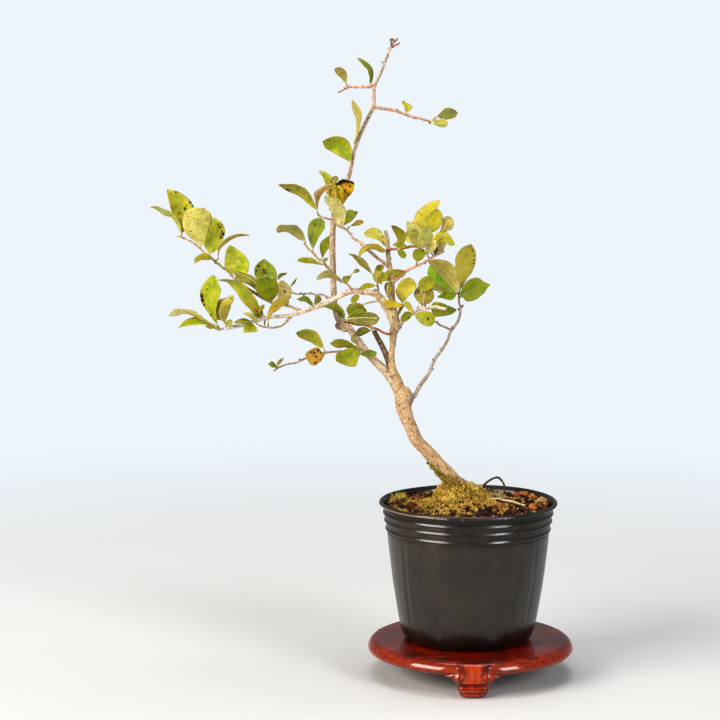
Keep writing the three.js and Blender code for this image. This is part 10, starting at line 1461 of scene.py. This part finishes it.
def soil():
    mat = soil_material()
    B, cx = 19.1, 0.4
    side = [(0, B + 2.9), (15, B + 2.9), (31.0, B + 2.9), (33.5, B + 4.4), (36.2, 33.6), (39.0, 50.0), (41.8, 77.6), (43.3, 86.0), (43.9, 89.6)]
    rr = [44.05, 43.4] + list(np.linspace(42.2, 0.9, 46))
    n = 150
    prof = side + [(r, 90.8) for r in rr] + [(0, 90.8)]
    V, F = turned(prof, n, cx)
    top = V[:, 2] > 90.7
    x, y = V[top, 0], V[top, 1]
    lump = fbm(V[top] * [0.42, 0.42, 0] + 5, 71, 4) - 0.5
    grit = fbm(V[top] * [1.5, 1.5, 0] + 9, 73, 2) - 0.5
    edge = np.clip((44.1 - np.hypot(x - cx, y)) / 3, 0, 1)
    V[top, 2] = soil_z(x, y) + (1.5 * lump + 0.9 * grit) * edge - 0.25 - 0.5 * (1 - edge)
    k = fbm(V * [0.5, 0.5, 0.5], 75, 3)[:, None]
    c = np.array(lin("#2a1a12")) * (1 - k) + np.array(lin("#5a3722")) * k
    make("soil_bed", V, F, [mat], {"tint": c}, node=("soil",))
    rs = np.random.default_rng(21)
    kinds = [("#341c10", 0.24), ("#5e3018", 0.2), ("#180e08", 0.25), ("#804628", 0.13), ("#a8683c", 0.07), ("#cf9658", 0.05), ("#5c4a2e", 0.06)]
    cols = [np.array(lin(c)) for c, _ in kinds]
    prob = np.array([p for _, p in kinds])
    prob /= prob.sum()
    parts = []

    def grain(x, y, r, c, lift=0.3, detail=2, squash=0.8):
        V, F = blob(rs, r, detail, squash)
        if r < 1.6 and 5 < x < 30 and abs(y - np.interp(x, [5, 10, 15, 19, 24, 30.6], [6, 5.2, 3.6, 2.4, -0.6, -5])) < 2.0:
            r = r * 0.7
        z = float(soil_z(x, y)) + r * lift + 0.1
        parts.append((V + [x, y, z], F, np.repeat([c * rs.uniform(0.8, 1.2)], len(V), 0)))

    got = 0
    while got < 1150:
        a, q = rs.uniform(0, 6.283), 43.6 * math.sqrt(rs.uniform(0, 1))
        x, y = cx + q * math.cos(a), q * math.sin(a)
        if ((x - MOUND[0]) / (MOUND[2] * 0.86)) ** 2 + ((y - MOUND[1]) / (MOUND[3] * 0.86)) ** 2 < 1:
            continue
        r = float(rs.choice([0.5, 0.7, 0.95, 1.3, 1.75], p=[0.3, 0.3, 0.22, 0.13, 0.05])) * rs.uniform(0.85, 1.15)
        if q + r > 44.2:
            continue
        grain(x, y, r, cols[rs.choice(len(cols), p=prob)], detail=2 if r > 0.65 else 1)
        got += 1
    # the lighter grains that stand out
    for x, y, r, c in ((32.0, 27.0, 2.6, "#d07a34"), (36.3, 21.5, 2.2, "#d89048"), (28.2, 24.0, 1.8, "#a85628"), (35.0, 30.0, 1.6, "#8a4422"), (37.5, 13.0, 1.7, "#a85c2c"), (34.4, -9.2, 2.2, "#cc7c3c"), (38.0, -6.0, 1.3, "#9d5a30"),
                       (17.6, -7.2, 2.1, "#c06c34"), (13.8, -5.0, 1.2, "#c08a58"), (-30.5, -4.5, 2.3, "#6c3820"), (-27.0, -14.0, 1.9, "#945430"), (-34.0, 4.0, 2.2, "#5c301c"), (-26.5, 13.0, 2.4, "#7a4024"), (-21.0, 20.0, 2.0, "#5a2e1c"),
                       (-38.5, 2.0, 1.6, "#a0623a"), (-12.0, -13.0, 1.7, "#7a3a1e"), (-3.0, -12.0, 1.4, "#b07a4c"), (5.0, -16.0, 1.8, "#50301e"), (24.0, -14.5, 1.9, "#6f3d24"),
                       (27.5, 3.0, 2.1, "#3a2216"), (22.5, 7.5, 1.8, "#5a3420"), (30.0, 10.0, 1.6, "#8a5230"), (-15.0, 28.0, 1.9, "#7d4526"), (4.0, 33.0, 2.0, "#94562e"), (-26.0, 22.0, 1.8, "#5c3320")):
        grain(x, y, r, np.array(lin(c)), 0.45, 3, 0.85)
    V, F, c = gather(parts)
    make("soil_granules", V, F, [mat], {"tint": c}, node=("soil",))
    # the large clay granule beside the wall
    V, F = blob(np.random.default_rng(5), 2.6, 4, 0.82)
    V = V + [40.0, 2.5, 93.0]
    r = np.hypot(V[:, 0] - cx, V[:, 1])
    k = np.minimum(1, 43.6 / r)
    V[:, 0], V[:, 1] = cx + (V[:, 0] - cx) * k, V[:, 1] * k
    c = np.array(lin("#e6ae72")) * np.ones((len(V), 1))
    make("clay_granule_large", V, F, [mat], {"tint": c}, node=("soil_granule_large",))


# ---- moss ----
def moss_material(name):
    m = Mat(name, rough=0.85, spec=0.2)
    t = m.attr("tint", "Color")
    w = m.pos()
    a = m.noise(w, 1.3, 5, 0.7)
    b = m.noise(w, 5.0, 2, 0.6)
    c = m.mix(m.step(a, 0.35, 0.65, 0, 0.6), t, m.mix(1.0, t, lin("#c4b088"), "MULTIPLY"))
    c = m.mix(m.step(b, 0.55, 0.75, 0, 0.35), c, m.mix(0.6, t, lin("#f0dc80")))
    return m.done(c, 0.9, m.bump(m.f("ADD", a, m.f("MULTIPLY", b, 0.5)), 1.0, 0.0004))


def tufts(V, N, tint, count, rs, tall, wide=0.17):
    """Thin leaning blades standing on the surface points V."""
    i = rs.integers(0, len(V), count)
    p = V[i] + rs.normal(0, 0.22, (count, 3))
    d = unit(N[i] + rs.normal(0, 0.55, (count, 3)) + [0, 0, 0.25])
    L = tall * rs.uniform(0.45, 1.0, count)
    a = unit(np.cross(d, rs.normal(0, 1, (count, 3))))
    b = np.cross(d, a)
    w = wide * rs.uniform(0.7, 1.3, count)
    bend = rs.normal(0, 0.3, (count, 3)) * L[:, None]
    P = np.zeros((count, 7, 3))
    for k in range(3):
        t = 2 * math.pi * k / 3
        e = a * math.cos(t) + b * math.sin(t)
        P[:, k] = p - d * 0.3 + e * w[:, None]
        P[:, 3 + k] = p + d * (L * 0.55)[:, None] + bend * 0.3 + e * (w * 0.75)[:, None]
    P[:, 6] = p + d * L[:, None] + bend
    tri = [(0, 2, 1), (0, 1, 4, 3), (1, 2, 5, 4), (2, 0, 3, 5), (3, 4, 6), (4, 5, 6), (5, 3, 6)]
    F = [tuple(7 * j + x for x in f) for j in range(count) for f in tri]
    own = rs.uniform(0, 1, (count, 1))
    hue = np.where(own < 0.12, 1.0, 0.0) * np.array([[0.5, 0.2, 0.06, 1.0]]) + np.where((own >= 0.12) & (own < 0.3), 1.0, 0.0) * np.array([[0.95, 0.74, 0.3, 1.0]])
    c = tint[i] * rs.uniform(0.45, 1.3, (count, 1))
    c = np.repeat(np.where(own < 0.3, 0.55 * c + 0.45 * hue, c), 7, 0)
    # each blade is darkest at its foot and lightest at its tip: partly the paler young tips that moss has, partly
    # painted shade down among the blades
    k = np.tile(np.array([0.3, 0.3, 0.3, 0.95, 0.95, 0.95, 1.5])[:, None], (count, 1))
    return P.reshape(-1, 3), F, np.clip(c * k, 0, 1)


def cushion_shape(cx, cy, rx, ry, h, seed, n=40, m=12):
    rs = np.random.default_rng(seed)
    ph = rs.uniform(0, 6.28, 4)
    V, F = [], []
    fs = [(1.0, -2.2), (1.02, -0.4)] + [(f, math.sqrt(max(0, 1 - f * f)) ** 1.1) for f in np.linspace(1.0, 0.08, m)]
    for f, z in fs:
        for i in range(n):
            a = 2 * math.pi * i / n
            w = 1 + 0.07 * math.sin(2 * a + ph[0]) + 0.06 * math.sin(3 * a + ph[1]) + 0.04 * math.sin(5 * a + ph[2])
            x, y = cx + rx * f * w * math.cos(a), cy + ry * f * w * math.sin(a)
            zz = float(soil_z(x, y)) + (h * z if z >= 0 else z)
            V.append((x, y, zz))
    q = len(fs)
    for i in range(q - 1):
        for j in range(n):
            k = (j + 1) % n
            F.append((i * n + j, i * n + k, (i + 1) * n + k, (i + 1) * n + j))
    V = np.array(V)
    e = len(V)
    V = np.vstack([V, V[:n].mean(0), V[-n:].mean(0)])
    for j in range(n):
        k = (j + 1) % n
        F.append((e, k, j))
        F.append((e + 1, (q - 1) * n + j, (q - 1) * n + k))
    return V, F


def moss_colour(V, seed):
    k = fbm(V / 4.5, seed, 3)[:, None]
    gold = np.array(lin("#ffdc6c")) * (1 - k) + np.array(lin("#e0a034")) * k
    green = np.array(lin("#dcd05a")) * (1 - k) + np.array(lin("#9c9c2c")) * k
    up = np.clip((V[:, 2] - 99) / 6, 0, 1)
    left = np.clip((-12 - V[:, 0]) / 8, 0, 1)
    g = np.clip(up + 0.8 * left + 1.6 * (fbm(V / 6, seed + 1, 2) - 0.6), 0, 1)[:, None]
    c = gold * (1 - g) + green * g
    d = np.clip(4.0 * (fbm(V / 1.5, seed + 2, 2) - 0.52), 0, 0.75)[:, None]
    return c * (1 - d) + np.array(lin("#6e4e1c")) * d


def moss():
    mat = moss_material("moss")
    A = cushion_shape(-5.2, 9.0, 11.6, 10.6, 8.4, 3, 56, 16)
    B = cushion_shape(-0.5, 7.0, 9.0, 8.5, 7.8, 8, 44, 12)
    C = cushion_shape(3.6, 10.5, 7.0, 7.0, 6.0, 9, 40, 12)
    D = cushion_shape(-8.0, 1.0, 8.5, 7.5, 3.0, 14, 44, 12)
    V, F = gather([A, B, C, D])
    V, F = fuse(V, F, 0.55, 10)
    N = normals(V, F)
    lump = fbm(V / 3.0, 81, 3) - 0.5
    grit = fbm(V / 1.1, 83, 2) - 0.5
    V = V + N * (4.4 * lump + 1.8 * grit)[:, None]
    N = normals(V, F)
    rs = np.random.default_rng(31)
    # the mound's colour follows its lumps, darker in the hollows and lighter on the bumps: painted shade and painted
    # light
    c = moss_colour(V, 85) * np.clip(1.0 + 2.6 * lump + 1.2 * grit, 0.3, 1.35)[:, None]
    up = V[:, 2] > 90.8
    T = tufts(V[up], N[up], c[up], 6000, rs, 2.7, 0.4)
    # moss that climbs the trunk's lower side, thinning out to single shoots at its edge
    W, M = WOOD_SKIN
    edge = np.interp(W[:, 0], [-25, -19.1, -14.3, -6.2, -1.9, 6.2, 12], [116, 112.5, 109.0, 105.6, 101.2, 100.2, 99])
    edge = edge + 3.0 * (fbm(W / 2.4, 87, 3) - 0.5)
    on = (W[:, 2] < edge) & (W[:, 2] > 91)
    cw = moss_colour(W[on], 88)
    T2 = tufts(W[on] - M[on] * 0.1, unit(M[on] + np.array([0.15, 0, -0.5])), cw, 3400, rs, 1.5, 0.3)
    crust = (W[:, 2] < edge - 1.2) & (W[:, 2] > 92)
    i = np.flatnonzero(crust)[rs.integers(0, int(crust.sum()), 420)]
    bits = []
    for j in i:
        P, Q = blob(rs, float(rs.uniform(0.35, 0.75)), 1, 0.8)
        # the crust bits are darkened: painted shade among the tufts
        bits.append((P + W[j] + M[j] * 0.1, Q, moss_colour(W[j:j + 1], 88) * np.ones((len(P), 1)) * 0.55))
    # the mound's own surface under the tufts is darkened to half: painted shade under the tufts
    V, F, c = gather([(V, F, c * 0.5), T, T2] + bits)
    make("moss_mound_and_sleeve", V, F, [mat], {"tint": c}, node=("moss_mound",))
    # a thin broken carpet between the grains, thickest in front of the trunk and on the left
    G = np.stack([rs.uniform(-44, 44, 60000), rs.uniform(-44, 44, 60000)], 1)
    G = G[np.hypot(G[:, 0] - 0.4, G[:, 1]) < 42.6]
    near = np.exp(-(((G[:, 0] + 9) / 17) ** 2 + ((G[:, 1] + 12) / 13) ** 2)) + 0.7 * np.exp(-(((G[:, 0] + 33) / 9) ** 2 + ((G[:, 1] - 6) / 14) ** 2))
    near = near + 0.45 * np.exp(-(((G[:, 0] - 24) / 14) ** 2 + ((G[:, 1] - 10) / 18) ** 2))
    k = fbm(np.c_[G / 4.2, np.zeros(len(G))], 89, 3) + 0.26 * near
    G = G[k > 0.69]
    P = np.c_[G, soil_z(G[:, 0], G[:, 1]) + 0.2]
    cg = moss_colour(P, 91)
    i = rs.permutation(len(P))[:5200]
    V, F, c = tufts(P[i], np.tile([0.0, 0.0, 1.0], (len(i), 1)), cg[i], 4200, rs, 1.9, 0.32)
    make("moss_scattered", V, F, [mat], {"tint": c}, node=())
    for k, (name, q) in enumerate(CUSHIONS.items()):
        q = (*q[:4], q[4] * (0.8, 0.25, 0.45)[k])
        V, F = cushion_shape(*q, 40 + k, 36, 10)
        N = normals(V, F)
        V = V + N * (0.9 * (fbm(V / 2.2, 90 + k, 3) - 0.5))[:, None]
        c = moss_colour(V, 95 + 3 * k)
        if k == 1:
            c = c * 0.45 + np.array(lin("#c0b850")) * 0.55
        if k == 2:
            c = c * 0.45 + np.array(lin("#b4b488")) * 0.55
        if k == 0:
            c = c * 0.5 + np.array(lin("#d8a840")) * 0.5
        up = V[:, 2] > 91
        T = tufts(V[up], N[up], c[up], (800, 170, 520)[k], rs, 1.9 if k != 1 else 3.6, 0.3)
        # each cushion's own surface under its tufts is darkened (the left one nearly to dark brown): painted shade
        # under the tufts
        V, F, c = gather([(V, F, c * 0.4 if k != 1 else c * 0.06 + np.array(lin("#4a2a18")) * 0.5), T])
        make(name + "_tufts", V, F, [mat], {"tint": c}, node=(name,))
    # dry rootlet on the soil
    m = Mat("dry_root", rough=0.7, spec=0.3)
    w = m.pos()
    a = m.noise(m.scale(w, (1, 1, 1)), 1.5, 4, 0.65)
    mat2 = m.done(m.mix(m.step(a, 0.35, 0.65), lin("#a8835a"), lin("#dcc4a0")), 0.75, m.bump(a, 0.6, 0.0002))
    run = [(5.0, 6.0, 0.3), (10, 5.2, 0.36), (15, 3.6, 0.42), (19, 2.4, 0.55), (24, -0.6, 0.6), (30.6, -5.0, 0.42)]
    rows = [[x, y, float(soil_z(x, y)) + 1.15 + r + (0.5 if 10 < x < 26 else 0), r] for x, y, r in run]
    V, F, st, *_ = stem(rows, 0.4, 10, 0.35, 7)
    make("dry_rootlet_on_soil", V, F, [mat2], node=("dry_rootlet",))


# ---- floor, light and camera ----
SKY = "#dce2e7"


def seen_or_lit(tree, shown, lit):
    """A strength that is the shown one for what the picture shows of the studio and the lit one for its light."""
    lp = tree.nodes.new("ShaderNodeLightPath")
    n = tree.nodes.new("ShaderNodeMapRange")
    n.inputs["To Min"].default_value, n.inputs["To Max"].default_value = lit, shown
    tree.links.new(lp.outputs["Is Camera Ray"], n.inputs["Value"])
    return n.outputs["Result"]


def studio():
    w = bpy.context.scene.world or bpy.data.worlds.new("studio")
    bpy.context.scene.world = w
    w.use_nodes = True
    bg = w.node_tree.nodes["Background"]
    bg.inputs[0].default_value = lin(SKY)
    w.node_tree.links.new(seen_or_lit(w.node_tree, 1.0, 0.32), bg.inputs[1])
    me = bpy.data.meshes.new("studio_floor")
    bm = bmesh.new()
    bmesh.ops.create_circle(bm, cap_ends=True, segments=96, radius=30.0)
    bm.to_mesh(me)
    bm.free()
    o = bpy.data.objects.new("studio_floor", me)
    bpy.context.scene.collection.objects.link(o)
    o.location = (0, 0, -0.0002)
    m = Mat("studio_floor", rough=0.55, spec=0.1)
    tc = m.t.nodes.new("ShaderNodeTexCoord")
    p = tc.outputs["Object"]
    r = m.away(p, (0.0, 0.0, 0.0))
    a = m.noise(p, 2.2, 3, 0.5)
    m.done(m.mix(m.step(a, 0.3, 0.7), lin("#c9c8c6"), lin("#cfcecc")), 0.6)
    em = m.t.nodes.new("ShaderNodeEmission")
    em.inputs[0].default_value = lin(SKY)
    m.t.links.new(seen_or_lit(m.t, 1.0, 0.4), em.inputs[1])
    mx = m.t.nodes.new("ShaderNodeMixShader")
    m.t.links.new(m.step(r, 0.12, 0.8), mx.inputs[0])
    m.t.links.new(m.b.outputs[0], mx.inputs[1])
    m.t.links.new(em.outputs[0], mx.inputs[2])
    m.t.links.new(mx.outputs[0], m.out.inputs[0])
    me.materials.append(m.m)

    def lamp(name, place, aim, size, power, colour="#ffffff"):
        d = bpy.data.lights.new(name, "AREA")
        d.shape = "RECTANGLE"
        d.size, d.size_y = size
        d.energy = power
        d.color = lin(colour)[:3]
        q = bpy.data.objects.new(name, d)
        bpy.context.scene.collection.objects.link(q)
        q.location = place
        q.rotation_euler = (Vector(aim) - Vector(place)).to_track_quat("-Z", "Y").to_euler()

    lamp("softbox_left", (-1.48, -1.12, 0.95), (0, 0, 0.14), (1.3, 0.75), 48, "#fffaf3")
    lamp("softbox_right", (1.38, -1.42, 0.95), (0, 0, 0.12), (0.68, 0.75), 22, "#fdfcff")
    lamp("softbox_top", (0.0, 0.1, 1.9), (0, 0, 0.1), (1.1, 1.1), 17)
    cam = bpy.data.cameras.new("camera")
    cam.lens, cam.sensor_width = 110.0, 36.0
    cam.clip_start, cam.clip_end = 0.05, 100
    q = bpy.data.objects.new("camera", cam)
    bpy.context.scene.collection.objects.link(q)
    q.location = ((OFF - 57.4) / 1000, -1.157, 0.3177)
    q.rotation_euler = (math.radians(82.7), 0, 0)
    bpy.context.scene.camera = q
    bpy.context.scene.view_settings.view_transform = "Standard"
    bpy.context.scene.view_settings.look = "Medium High Contrast"


studio()
stand()
pot()
soil()
bark = wood_material("bark")
WOOD_SKIN = limbs()
twigs()
root_loop()
moss()
NODE_OF = {leaf: node for node, names in LEAF_GROUPS for leaf in names}
for k, L in enumerate(LEAVES):
    leaf_piece(L, k, NODE_OF[L["n"]])
